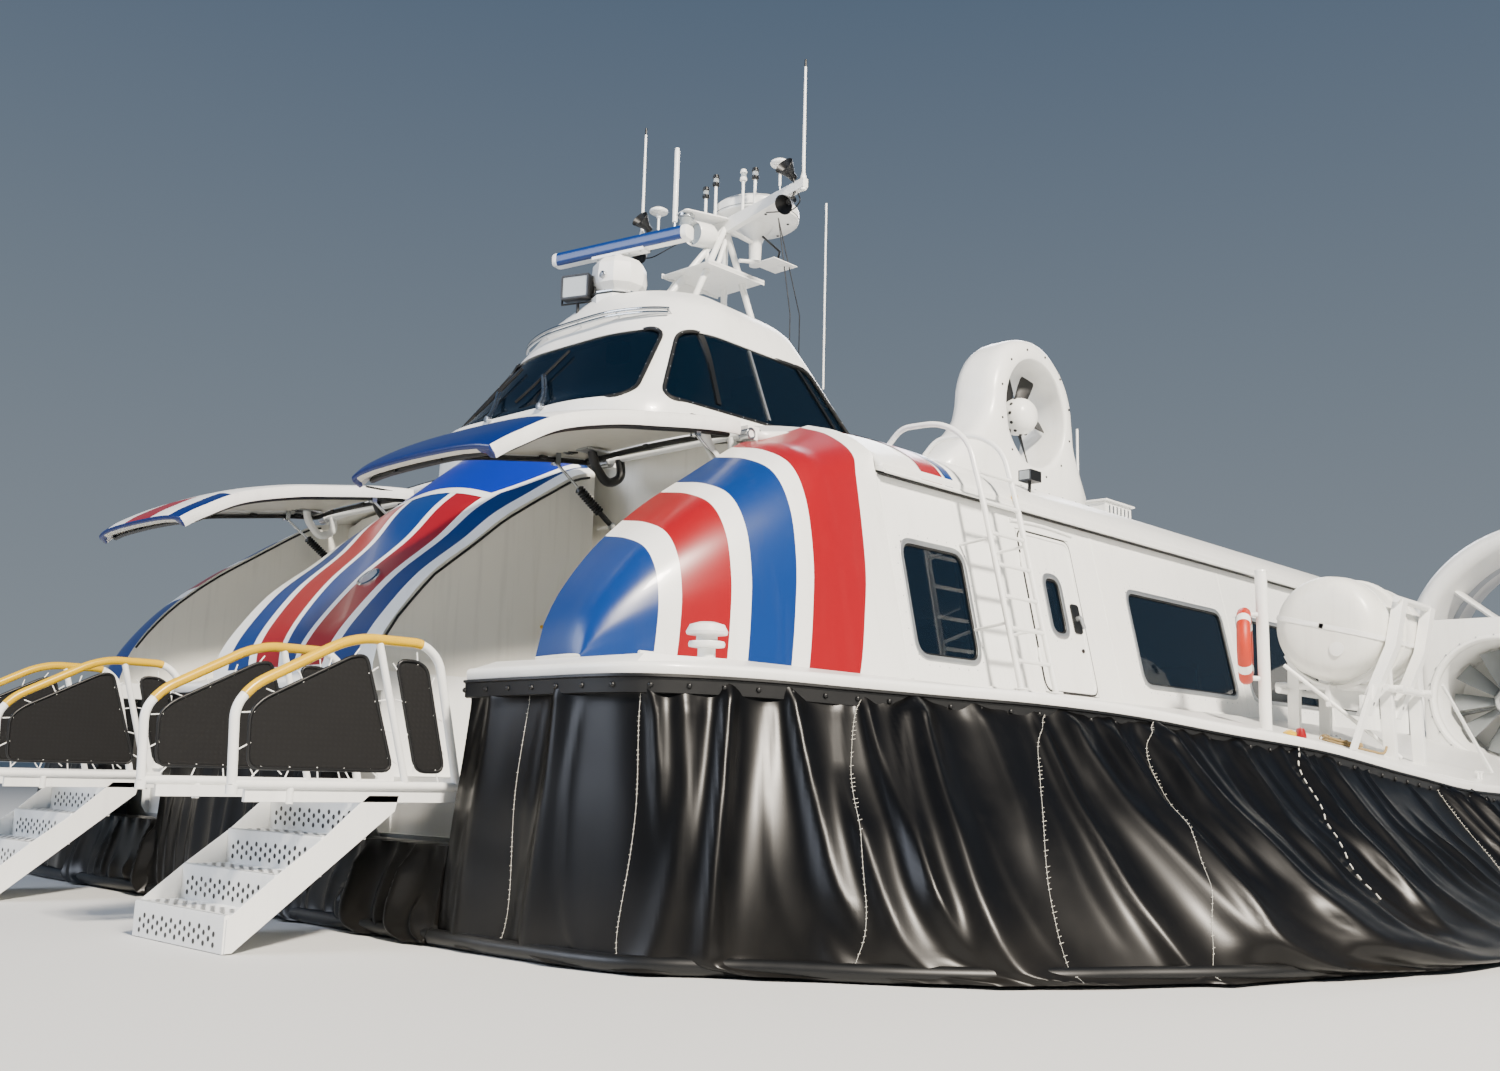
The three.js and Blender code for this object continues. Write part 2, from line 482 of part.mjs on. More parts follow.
// Boarding stairs: perforated steps, landing and laced handrails on one hinged frame
const STAIR = { in: 1190, out: 2300, rise: 200, going: 265, front: 11610, hinge: { x: 9960, z: 800 } };
function stairs(side) {
  const [a, b] = [STAIR.in, STAIR.out];
  const pieces = [];
  for (let step = 0; step < 4; step += 1) {
    const front = STAIR.front - step * STAIR.going;
    const top = (step + 1) * STAIR.rise;
    pieces.push(block(front - 25, front, side * a, side * b, top - STAIR.rise - (step ? 5 : 0), top));
    pieces.push(block(front - STAIR.going - 25, front, side * a, side * b, top - 20, top));
  }
  pieces.push(block(9960, 10600, side * a, side * b, 800, 850));
  [a, b - 30].forEach((y) => pieces.push(block(9960, 11560, side * y, side * (y + 30), 790, 860)));
  [a, b - 40].forEach((y) => pieces.push(bar([9960, side * (y + 5), 825], [9960, side * (y + 35), 825], 38, 12)));
  pieces.push(bar([9960, side * (a - 22), 825], [9960, side * (b + 22), 825], 15, 12));
  [a, b].forEach((y) => {
    const at = ([x, z]) => [x, y * side, z];
    const loop = [[11640, 885], [11660, 1300], [11560, 1420], [11050, 1690], [10900, 1730], [10500, 1730],
      [10380, 1640], [10200, 885]];
    pieces.push(tube(loop.map(at), 27));
    pieces.push(bar(at([11650, 885]), at([10010, 885]), 27, 6));
    pieces.push(bar(at([10800, 1720]), at([10560, 885]), 22, 6));
    pieces.push(bar(at([10100, 885]), at([10100, 830]), 22, 6));
    pieces.push(bar(at([11300, 885]), at([11300, 780]), 22, 6));
  });
  [a, b].forEach((y) => {
    const low = [[11560, 0], [11600, 0], [11600, 180], [11330, 400], [11060, 600], [10800, 830], [10600, 830], [10620, 740]];
    const plate = (v) => low.map(([x, z]) => [x, v * side, z]);
    pieces.push(loft([plate(y), plate(y === a ? y + 12 : y - 12)]));
  });
  return join(pieces);
}
SIDES.forEach(([name, side]) => add(`boarding_stairs_${name}`, stairs(side), WHITE));

// Wheelhouse: a hollow raked shell with its windows cut, standing on the roof
const HOUSE = [
  // x aft, x forward, half width, z
  [4700, 8262, 1520, 3600], [4850, 8250, 1480, 3960], [5080, 8020, 1420, 4200], [5600, 7560, 1220, 4880],
  [5750, 7420, 1080, 5120], [5950, 7320, 800, 5290],
];
function houseRing([aft, fore, half, z], inset) {
  const [a, f, h] = [aft + inset, fore - inset, half - inset];
  return [
    [a, h - 220], [a + 160, h], [f - 620, h], [f - 260, h - 160], [f, h - 700],
    [f, -(h - 700)], [f - 260, -(h - 160)], [f - 620, -h], [a + 160, -h], [a, -(h - 220)],
  ].map(([x, y]) => [x, y, z]);
}
const houseFill = loft(HOUSE.map((s) => houseRing(s, 0)));
const houseLifted = houseFill.clone().translate(0, 0, GAP);
const hollow = (inset) => loft(HOUSE.map((s, i) => houseRing(i + 1 < HOUSE.length ? s : [6000, 7270, 830, 5290 - inset], inset)));
function wheelhouse() {
  const side = loft([-2000, 2000].map((y) => [[7640, 4080], [7420, 4720], [5760, 4720], [5270, 4080]]
    .map(([x, z]) => [x, y, z])));
  const front = loft([-850, 850].map((y) => [[7600, 4800], [9000, 4800], [9000, 4050], [7880, 4050]]
    .map(([x, z]) => [x, y, z])));
  return cut(houseFill, [hollow(70), side, front, roofLifted, noseShape.clone().translate(0, 0, GAP)]);
}
add('wheelhouse', wheelhouse(), WHITE);
const glassBand = cut(hollow(70.3), [hollow(79), block(4000, 9000, -2000, 2000, 3000, 4030),
  block(4000, 9000, -2000, 2000, 4830, 6000), block(4000, 5250, -2000, 2000, 3000, 6000)]);
add('wheelhouse_glass', glassBand, GLASS);

// Seats and console seen through the glass
function seats() {
  const pieces = [block(-2200, 7300, -3300, 3300, FLOOR + GAP, FLOOR + 40)];
  for (let row = 0; row < 8; row += 1) {
    const x = 6500 - row * 1080;
    [[-3250, -1200], [-850, 850], [1200, 3250]].forEach(([y0, y1]) => {
      pieces.push(block(x, x + 480, y0, y1, FLOOR + 30, FLOOR + 440));
      pieces.push(block(x - 120, x + 10, y0, y1, FLOOR + 30, FLOOR + 1180));
    });
  }
  return join(pieces);
}
add('cabin_seats', seats(), DARK);
function bridge() {
  const floor = cut(block(5240, 7460, -1262, 1262, 3700, 3770), [
    roofShell.clone().translate(0, 0, GAP), roofShell.clone().translate(0, 0, -GAP), block(5260, 7440, -1240, 1240, 3740, 3800),
  ]);
  const pieces = [floor];
  pieces.push(block(7100, 7450, -1000, 1000, 3740, 4150));
  [-550, 550].forEach((y) => {
    pieces.push(block(6000, 6500, y - 250, y + 250, 3735, 4150));
    pieces.push(block(5900, 6010, y - 250, y + 250, 3735, 4700));
  });
  return join(pieces);
}
add('wheelhouse_seats', bridge(), DARK);

// Radar: gearbox on the wheelhouse roof and its turning scanner
add('radar_gearbox', cut(turned([[0, 5200], [250, 5200], [250, 5330], [170, 5335], [260, 5480], [250, 5640], [150, 5720],
  [0, 5720]], 'z', [7085, 0, 0], 20), [houseLifted]), WHITE);
const SCANNER = 5740;
function scanner() {
  const beam = block(-70, 70, -790, 790, SCANNER + 40, SCANNER + 180);
  const neck = turned([[0, SCANNER - 19.4], [70, SCANNER - 19.4], [70, SCANNER + 60], [0, SCANNER + 60]], 'z', [0, 0, 0], 16);
  return join([beam, neck]).rotateZ((10.7 * Math.PI) / 180).translate(7085, 0, 0);
}
add('radar_scanner', scanner(), BLUE);

// Mast: an A-frame with a cross arm, whip aerials, lamps on short posts and the dish
function mast() {
  const top = [5700, 0, 6480];
  const pieces = [];
  [[6550, 330, 5200], [5250, 420, 4450]].forEach(([x, y, z]) => {
    pieces.push(bar([x, y, z], top, 32, 6), bar([x, -y, z], top, 32, 6));
  });
  pieces.push(bar(top, [5810, 1170, 6600], 34, 6), bar(top, [5810, -1170, 6600], 34, 6));
  pieces.push(new THREE.SphereGeometry(60, 8, 6).translate(...top));
  [1140, -1140].forEach((y) => pieces.push(bar([5810, y, 6580], [5810, y, 7880], 16, 6)));
  [-760, -420, 280, 620].forEach((y) => {
    const x = top[0] + (110 * Math.abs(y)) / 1170;
    pieces.push(bar([x, y, 6480], [x, y, 6720], 16, 6));
    pieces.push(bar([x, y, 6700], [x, y, 6790], 38, 8));
  });
  pieces.push(bar([5700, 0, 6470], [5250, 0, 6470], 26, 6), bar([5250, 0, 6440], [5250, 0, 6640], 45, 8));
  pieces.push(turned([[0, 6620], [380, 6640], [450, 6700], [450, 6780], [380, 6830], [0, 6860]], 'z', [5250, 0, 0], 24));
  pieces.push(block(5450, 6250, -330, 330, 5880, 5905), bar([5650, 0, 6460], [5850, 0, 5890], 26, 6));
  return cut(join(pieces), [houseLifted]);
}
add('mast', mast(), WHITE);
// Bow thrusters: ducted fans blowing athwartships in flared fairings on the roof
const THRUSTER = { x: 4250, y: 2480, z: 4400, bore: 510, depth: 250 };
SIDES.forEach(([name, side]) => {
  const { x, y, z, bore, depth } = THRUSTER;
  const plate = (v, grow) => {
    const outline = [];
    for (let i = 0; i <= 12; i += 1) {
      const turn = (Math.PI * i) / 12;
      outline.push([x + Math.cos(turn) * (710 + grow), v * side, z + 20 + Math.sin(turn) * (700 + grow)]);
    }
    outline.push([x - 900 - grow, v * side, 3950], [x - 1050 - grow, v * side, 3700]);
    outline.push([x + 1400 + grow, v * side, 3700], [x + 950 + grow, v * side, 4050]);
    return outline;
  };
  const body = loft([plate(y - depth, -60), plate(y - depth * 0.6, 0), plate(y + depth * 0.6, 0), plate(y + depth, -60)]);
  const hole = turned([[0, -400], [bore, -400], [bore, 400], [0, 400]], 'y', [x, side * y, z], 28);
  const under = cut(body, [hole, roofLifted]);
  const struts = [40, 160, 280].map((deg) => {
    const turn = (deg * Math.PI) / 180;
    return bar([x, side * (y - 150), z], [x + Math.cos(turn) * (bore + 30), side * (y - 150), z + Math.sin(turn) * (bore + 30)], 22, 8);
  });
  const motor = turned([[0, -90], [120, -90], [120, 90], [0, 90]], 'y', [x, side * (y - 150), z], 16);
  add(`thruster_${name}`, join([under, ...struts, motor]), WHITE);
  const blades = [0, 60, 120, 180, 240, 300].map((deg) => {
    const blade = block(130, bore - 20, -8, 8, -75, 75).rotateX(0.6).rotateY((deg * Math.PI) / 180);
    return blade.translate(x, side * y, z);
  });
  const hub = turned([[0, -59.4], [40, -59.4], [40, -50], [150, -50], [165, 60], [140, 150], [60, 205], [0, 215]].map(([r, h]) => [r, h * side]),
    'y', [x, side * y, z], 20);
  add(`thruster_fan_${name}`, join([hub, ...blades]), DARK);
});

// Ladder on the port side, with hoops over the roof edge
function ladder() {
  const pieces = [];
  [6330, 6800].forEach((x) => {
    pieces.push(tube([[x, 4150, DECK - 60], [x, 3820, 3080], [x, 3700, 3520], [x, 3450, 3680], [x, 3080, 3690], [x, 2960, 3575]], 22));
  });
  for (let i = 0; i < 7; i += 1) {
    const z = 1850 + i * 235;
    const y = 4150 - ((z - 1630) * 330) / 1450;
    pieces.push(bar([6320, y, z], [6810, y, z], 15, 6));
  }
  return cut(join(pieces), [hullLifted]);
}
add('side_ladder', ladder(), WHITE);

// Liferaft canister in its cradle on each side deck
SIDES.forEach(([name, side]) => {
  const centre = [2700, side * 4950, 2370];
  const shell = turned([[0, -700], [280, -690], [410, -600], [450, -450], [450, -30], [475, -25], [475, 25], [450, 30],
    [450, 450], [410, 600], [280, 690], [0, 700]], 'x', centre, 24);
  add(`liferaft_${name}`, shell, WHITE);
  const bed = turned([[0, -690], [450.4, -690], [450.4, 690], [0, 690]], 'x', centre, 24);
  const pieces = [];
  [2350, 3050].forEach((x) => {
    pieces.push(bar([x, side * 4550, 1300], [x, side * 4570, 2160], 35, 6));
    pieces.push(bar([x, side * 5350, 1130], [x, side * 5330, 2160], 35, 6));
    pieces.push(bar([x, side * 4400, 1900], [x, side * 5480, 1850], 35, 6));
  });
  [4500, 5400].forEach((y) => pieces.push(bar([2150, side * y, 1850], [3250, side * y, 1850], 30, 6)));
  add(`raft_cradle_${name}`, cut(join(pieces), [hullLifted, bed]), WHITE);
});

// Engine modules, lift fans, propeller ducts and rudders at the stern
const FAN_Z = 2040;
const RUDDER_X = -10230; // rudder posts
SIDES.forEach(([name, side]) => {
  const { x, length, y, z, bore, outer } = DUCT;
  const section = (u, y0, y1, z1, round) => [
    [u, side * y0, 1300], [u, side * y1, 1300], [u, side * y1, z1 - round], [u, side * (y1 - round), z1],
    [u, side * (y0 + round), z1], [u, side * y0, z1 - round],
  ];
  const module = loft([
    section(-1650, 4150, 5650, 2950, 200), section(-5200, 3400, 5600, 2950, 300), section(-7300, 3100, 4800, 2900, 400),
  ]);
  const mouth = turned([[0, -300], [700, -300], [640, 0], [640, 700], [0, 700]].map(([r, h]) => [r, -h]), 'x',
    [-1900, side * 4920, FAN_Z], 28);
  const core = turned([[0, -60], [180, -60], [180, 80], [0, 80]], 'x', [-2550, side * 4920, FAN_Z], 16);
  const room = block(-7000, -3300, side * 3560, side * 4700, 1000, 2750);
  add(`engine_module_${name}`, join([cut(module, [mouth, room, hullLifted]), core]), WHITE);
  add(`engine_${name}`, block(-6200, -4200, side * 3640, side * 4500, DECK + GAP, 2500), STEEL);
  const vanes = [];
  for (let i = 0; i < 10; i += 1) {
    vanes.push(block(-60, 60, 150, 600, -8, 8).rotateY(0.5).rotateX((i * Math.PI) / 5).translate(-2150, side * 4900, 2060));
  }
  const eye = turned([[0, -90], [190, -90], [170, 60], [80, 150], [0, 170]], 'x', [-2150, side * 4920, FAN_Z], 20);
  const shaft = bar([-2200, side * 4920, FAN_Z], [-2469.4, side * 4920, FAN_Z], 50, 12);
  add(`lift_fan_${name}`, join([eye, shaft, ...vanes]), STEEL);

  const wall = turned([[bore + 130, 0], [outer - 60, 20], [outer, -160], [outer - 40, -600], [outer - 170, -length],
    [bore + 40, -length], [bore, -900], [bore, -500], [bore + 30, -150]].map(([r, h]) => [r, h]), 'x', [x, side * y, z], 40);
  const hub = turned([[0, -60], [230, -60], [250, -500], [200, -820], [0, -830]], 'x', [x, side * y, z], 20);
  const shaftRoom = turned([[0, -1200], [60.8, -1200], [60.8, -650], [0, -650]], 'x', [x, side * y, z], 32);
  const arms = [-700, 700].flatMap((offset) => {
    const reach = Math.sqrt(bore ** 2 - offset ** 2) - 120;
    const post = RUDDER_X;
    return [1, -1].map((up) => cut(
      block(post - 60, x - length + 110, side * (y + offset) - 25, side * (y + offset) + 25,
        z + up * (reach + 6), z + up * (reach + 250)),
      [bar([post, side * (y + offset), z + up * reach], [post, side * (y + offset), z + up * (reach + 60)], 20.8, 24)],
    ));
  });
  const stays = [20, 140, 260].map((deg) => {
    const turn = (deg * Math.PI) / 180;
    return bar([x - 600, side * y, z], [x - 600, side * y + Math.cos(turn) * (bore + 80), z + Math.sin(turn) * (bore + 80)], 45, 8);
  });
  const foot = loft([x - 250, x - 1650].map((u) => [[u, side * (y - 1100), 1050], [u, side * (y + 1100), 1050],
    [u, side * (y + 700), z - bore - 60], [u, side * (y - 700), z - bore - 60]]));
  add(`propeller_duct_${name}`, cut(join([wall, cut(join([hub, ...stays]), [shaftRoom]), foot, ...arms]), [hullLifted]), WHITE);
  const blades = [0, 72, 144, 216, 288].map((deg) => block(-25, 25, 150, bore - 30, -130, 130)
    .rotateX((deg * Math.PI) / 180).translate(x - 1050, side * y, z));
  const spinner = turned([[0, 195], [230, 190], [230, -120], [120, -280], [0, -320]], 'x', [x - 1050, side * y, z], 20);
  const driveEnd = turned([[0, -900], [60, -900], [60, -700], [0, -700]], 'x', [x, side * y, z], 16);
  add(`propeller_${name}`, join([spinner, driveEnd, ...blades]), DARK);
  [-700, 700].forEach((offset, i) => {
    const mid = y + offset;
    const top = z + Math.sqrt(bore ** 2 - offset ** 2) - 120;
    const low = z - Math.sqrt(bore ** 2 - offset ** 2) + 120;
    const foil = (h) => [[-250, 0], [-180, 50], [0, 70], [400, 30], [720, 0], [400, -30], [0, -70], [-180, -50]]
      .map(([u, v]) => [RUDDER_X - u, side * mid + v, h]);
    const pin = bar([RUDDER_X, side * mid, low - 55], [RUDDER_X, side * mid, top + 55], 20, 12);
    add(`rudder_${name}_${i ? 'outer' : 'inner'}`, join([loft([foil(low), foil(top)]), pin]), RED);
  });
});

export default craft;
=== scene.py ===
"""Passenger hovercraft parked on its skirt: the finish of every surface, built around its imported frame.

Lengths are in metres in the frame's own axes, +X forward, +Y port and +Z up.
"""
import random
from math import atan2, copysign, cos, hypot, pi, radians, sin, sqrt

import bmesh
import bpy
import numpy as np
from bpy.props import FloatProperty, FloatVectorProperty, IntProperty
from mathutils import Matrix, Vector


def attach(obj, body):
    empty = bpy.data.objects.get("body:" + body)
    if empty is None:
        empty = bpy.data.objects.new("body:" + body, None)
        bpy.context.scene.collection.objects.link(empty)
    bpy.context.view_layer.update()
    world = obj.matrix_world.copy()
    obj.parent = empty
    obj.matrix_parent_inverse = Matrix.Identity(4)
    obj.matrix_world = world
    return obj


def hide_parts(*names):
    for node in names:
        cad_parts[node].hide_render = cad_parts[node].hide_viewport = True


bl_info = {
    "name": "Passenger hovercraft",
    "version": (1, 0, 0),
    "blender": (4, 5, 0),
    "location": "View3D > Sidebar > Hovercraft",
    "description": "Builds the pieces and finishes of a passenger hovercraft on its frame",
    "category": "Object",
}

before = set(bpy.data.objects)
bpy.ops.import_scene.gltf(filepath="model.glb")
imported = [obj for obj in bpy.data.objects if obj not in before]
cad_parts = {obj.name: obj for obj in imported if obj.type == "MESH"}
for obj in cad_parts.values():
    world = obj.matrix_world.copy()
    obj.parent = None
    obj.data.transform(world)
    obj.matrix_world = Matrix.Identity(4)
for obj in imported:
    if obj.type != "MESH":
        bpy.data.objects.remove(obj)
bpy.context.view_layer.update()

SIDES = (("port", 1), ("starboard", -1))
DECK = 1.64  # height of the deck along the cabin
FINISH = {}


# Colours and sizes that a user may change

def colour_property(name, text, code):
    return FloatVectorProperty(name=name, description=text, subtype="COLOR", size=4, min=0, max=1,
                               default=linear(code))


def length_property(name, text, size):
    return FloatProperty(name=name, description=text, default=size, unit="LENGTH")


def linear(code):
    """An sRGB hex value as linear red, green, blue and alpha."""
    values = [int(code[i:i + 2], 16) / 255 for i in (0, 2, 4)]
    return [v / 12.92 if v <= 0.04045 else ((v + 0.055) / 1.055) ** 2.4 for v in values] + [1.0]


class CraftPaint(bpy.types.PropertyGroup):
    """Colours of the craft"""

    white: colour_property("White", "Topside paint", "F0F1EF")
    red: colour_property("Red", "Broad red bands", "8C0614")
    blue: colour_property("Blue", "Blue bands on the bow", "06306E")
    royal: colour_property("Royal blue", "Panel under the windshield", "0A2490")
    navy: colour_property("Navy", "Blue parts of the bow doors", "08205C")
    skirt: colour_property("Skirt", "Rubber of the skirt", "070708")


class CraftSizes(bpy.types.PropertyGroup):
    """Sizes of the dressed pieces"""

    fold: length_property("Fold", "How far the folds of the skirt stand out", 0.1)
    bolt_step: length_property("Bolt step", "Distance between the bolts of the skirt strip", 0.2)
    rivet_step: length_property("Rivet step", "Distance between the rivets of a window frame", 0.11)
    rail: length_property("Rail", "Radius of the boarding stair rails", 0.027)
    hole_step: length_property("Hole step", "Distance between the holes of the steps", 0.056)
    folds: IntProperty(name="Folds", description="Number of large folds on each side of the skirt",
                       default=46)


# Finishes

def add_node(tree, kind, values=None, links=None, **settings):
    """A node with its settings, socket values and incoming links."""
    made = tree.nodes.new(kind)
    for key, value in settings.items():
        setattr(made, key, value)
    for socket, value in (values or {}).items():
        made.inputs[socket].default_value = value
    for socket, source in (links or {}).items():
        tree.links.new(source, made.inputs[socket])
    return made


def new_finish(key, label):
    """An empty material with its place node."""
    material = bpy.data.materials.new(label)
    material.use_nodes = True
    tree = material.node_tree
    tree.nodes.clear()
    FINISH[key] = material
    return tree, add_node(tree, "ShaderNodeTexCoord").outputs["Object"]


def worn(key, label, colour, rough=0.3, spread=0.06, metal=0.0, mottle=0.06, patch_mm=500, grain_mm=4,
         bump_mm=0.02, runs=0.0, grime="6B6459", dust=0.0, coat=0.0, shine=0.5, stretch=(1, 1, 1)):
    """A finish whose colour, gloss and surface all vary a little, with runs down it and dust low down."""
    tree, place = new_finish(key, label)
    base = linear(colour) if isinstance(colour, str) else list(colour)
    dark = [c * (1 - mottle * 2.2) for c in base[:3]] + [1.0]
    patch = add_node(tree, "ShaderNodeTexNoise", {"Scale": 1000 / patch_mm, "Detail": 4.0},
                     {"Vector": place})
    tone = add_node(tree, "ShaderNodeMix", {6: base, 7: dark}, {0: patch.outputs["Fac"]}, data_type="RGBA")
    shade = tone.outputs[2]
    if runs:
        down = add_node(tree, "ShaderNodeMapping", {"Scale": (9, 9, 0.7)}, {"Vector": place})
        marks = add_node(tree, "ShaderNodeTexNoise", {"Scale": 1.3, "Detail": 6.0, "Roughness": 0.6},
                         {"Vector": down.outputs[0]})
        amount = add_node(tree, "ShaderNodeMapRange", {"From Min": 0.52, "From Max": 0.8, "To Max": runs},
                          {"Value": marks.outputs["Fac"]})
        stained = add_node(tree, "ShaderNodeMix", {7: linear(grime)}, {0: amount.outputs[0], 6: shade},
                           data_type="RGBA")
        shade = stained.outputs[2]
    if dust:
        height = add_node(tree, "ShaderNodeSeparateXYZ", None, {"Vector": place})
        low = add_node(tree, "ShaderNodeMapRange",
                       {"From Min": 0.0, "From Max": 0.5, "To Min": dust, "To Max": 0.0},
                       {"Value": height.outputs["Z"]})
        broken = add_node(tree, "ShaderNodeMath", None, {0: low.outputs[0], 1: patch.outputs["Fac"]},
                          operation="MULTIPLY")
        dusted = add_node(tree, "ShaderNodeMix", {7: linear("8C857A")}, {0: broken.outputs[0], 6: shade},
                          data_type="RGBA")
        shade = dusted.outputs[2]
    fine = add_node(tree, "ShaderNodeMapping", {"Scale": stretch}, {"Vector": place})
    grain = add_node(tree, "ShaderNodeTexNoise", {"Scale": 1000 / grain_mm, "Detail": 3.0},
                     {"Vector": fine.outputs[0]})
    gloss = add_node(tree, "ShaderNodeMapRange", {"To Min": rough - spread, "To Max": rough + spread},
                     {"Value": patch.outputs["Fac"]})
    relief = add_node(tree, "ShaderNodeBump", {"Strength": 0.5, "Distance": bump_mm / 1000},
                      {"Height": grain.outputs["Fac"]})
    shader = add_node(tree, "ShaderNodeBsdfPrincipled",
                      {"Metallic": metal, "Coat Weight": coat, "Specular IOR Level": shine},
                      {"Base Color": shade, "Roughness": gloss.outputs[0], "Normal": relief.outputs[0]})
    add_node(tree, "ShaderNodeOutputMaterial", None, {"Surface": shader.outputs[0]})


def glazed(key, label, code, rough, alpha):
    """Clear or tinted glass with faint waves."""
    tree, place = new_finish(key, label)
    waves = add_node(tree, "ShaderNodeTexNoise", {"Scale": 1.2, "Detail": 1.0}, {"Vector": place})
    relief = add_node(tree, "ShaderNodeBump", {"Strength": 0.1, "Distance": 0.003},
                      {"Height": waves.outputs["Fac"]})
    film = add_node(tree, "ShaderNodeMapRange", {"To Min": rough, "To Max": rough + 0.03},
                    {"Value": waves.outputs["Fac"]})
    shader = add_node(tree, "ShaderNodeBsdfPrincipled",
                      {"Base Color": linear(code), "IOR": 1.5, "Alpha": alpha},
                      {"Normal": relief.outputs[0], "Roughness": film.outputs[0]})
    add_node(tree, "ShaderNodeOutputMaterial", None, {"Surface": shader.outputs[0]})


def woven(key, label, code, other, thread_mm, rough=0.85):
    """Cloth of crossing threads."""
    tree, place = new_finish(key, label)
    sets = [add_node(tree, "ShaderNodeTexWave", {"Scale": 50 / thread_mm, "Distortion": 0.6},
                     {"Vector": place}, bands_direction=axis).outputs["Fac"] for axis in ("X", "Z")]
    threads = add_node(tree, "ShaderNodeMath", None, {0: sets[0], 1: sets[1]},
                       operation="MULTIPLY").outputs[0]
    tone = add_node(tree, "ShaderNodeMix", {6: linear(code), 7: linear(other)}, {0: threads},
                    data_type="RGBA")
    relief = add_node(tree, "ShaderNodeBump", {"Strength": 0.4, "Distance": 0.002}, {"Height": threads})
    shader = add_node(tree, "ShaderNodeBsdfPrincipled", {"Roughness": rough},
                      {"Base Color": tone.outputs[2], "Normal": relief.outputs[0]})
    add_node(tree, "ShaderNodeOutputMaterial", None, {"Surface": shader.outputs[0]})


def make_finishes():
    """Every finish of the craft, each named for the real material."""
    paint = bpy.context.scene.craft_paint
    gloss = dict(rough=0.3, spread=0.06, mottle=0.02, patch_mm=700, grain_mm=9, bump_mm=0.06, coat=0.1)
    # Sprayed marine topcoat: clean, glossy, with faint rain marks down it
    worn("white", "Two-pack topcoat, white", paint.white, runs=0.10, **gloss)
    worn("red", "Two-pack topcoat, red", paint.red, runs=0.05, **gloss)
    worn("blue", "Two-pack topcoat, blue", paint.blue, runs=0.05, **gloss)
    worn("royal", "Two-pack topcoat, royal blue", paint.royal, runs=0.03, **gloss)
    worn("navy", "Two-pack topcoat, navy", paint.navy, runs=0.05, **gloss)
    worn("yellow", "Two-pack topcoat, safety yellow", "D6AA00", rough=0.3, mottle=0.05, patch_mm=120,
         runs=0.08)
    # Moulded liners are duller and creamier than the topsides, and stained below their edges
    worn("liner", "Gelcoat liner, beige", "D2CEC2", rough=0.5, mottle=0.05, grain_mm=2, bump_mm=0.05,
         runs=0.15)
    worn("lining", "Vestibule gelcoat, cream", "EBE9E0", rough=0.45, mottle=0.05, runs=0.18)
    worn("moulded", "Moulded glass fibre, white", "ECECE6", rough=0.34, mottle=0.04, patch_mm=260,
         grain_mm=6, bump_mm=0.06, runs=0.14)
    worn("deck", "Deck paint with grit, pale grey", "D2D4D2", rough=0.7, mottle=0.08, grain_mm=3,
         bump_mm=0.6, runs=0.1)
    # Rubber-coated cloth: black with a soft broad shine, scuffed, and dusty near the ground
    worn("skirt", "Rubber-coated nylon cloth, black", paint.skirt, rough=0.33, spread=0.07, mottle=0.2,
         patch_mm=350, grain_mm=5, bump_mm=0.3, runs=0.05, grime="3A3833", dust=0.05, shine=0.26)
    worn("rubber", "Extruded rubber, black", "0C0D0E", rough=0.42, mottle=0.15, patch_mm=120, grain_mm=2,
         bump_mm=0.1)
    worn("black", "Powder-coated metal, black", "0C0D0F", rough=0.42, mottle=0.15, patch_mm=90, grain_mm=1.5,
         bump_mm=0.08)
    worn("plastic", "Moulded ABS, dark grey", "25272A", rough=0.55, mottle=0.1, grain_mm=1.2, bump_mm=0.1)
    worn("grey", "Painted metal, mid grey", "7F8588", rough=0.45, mottle=0.1, patch_mm=150, runs=0.1)
    worn("orange", "Moulded polythene, orange", "B82A05", rough=0.5, mottle=0.1, patch_mm=90)
    # Bare metals: brushed along their length, polished rails, dull anodised frames
    worn("steel", "Brushed stainless steel", "B9BDC1", rough=0.28, metal=1.0, mottle=0.05, grain_mm=1.5,
         stretch=(1, 1, 14), bump_mm=0.02)
    worn("chrome", "Polished stainless steel", "D5D8DA", rough=0.1, spread=0.03, metal=1.0, mottle=0.02)
    worn("aluminium", "Anodised aluminium", "C3C7CA", rough=0.36, metal=0.85, mottle=0.06, patch_mm=200,
         runs=0.1)
    worn("rope", "Laid polyester rope, three strands, gone beige in the sun", "9C8458", rough=0.85,
         mottle=0.15, patch_mm=15, grain_mm=2, bump_mm=0.6)
    worn("thread", "Waxed whipping twine, off-white", "DAD8CE", rough=0.8, mottle=0.1, patch_mm=20,
         grain_mm=2, bump_mm=0.4)
    worn("floor", "Painted studio floor, pale", "CDCECD", rough=0.75, mottle=0.01, patch_mm=3000)
    # Tinted glass is dark from outside and mirrors the sky; lens glass is clear
    glazed("glass", "Tinted laminated glass", "04101C", 0.02, 0.74)
    glazed("clear", "Clear lens glass", "C9D2D6", 0.03, 0.45)
    # Threads are drawn several times too coarse, or they would not show
    woven("mesh", "Laced mesh cloth, black", "020203", "08080A", 5, rough=0.9)
    woven("seat", "Woven seat cloth, blue", "1B2A52", "31427A", 8)


# Shape tools

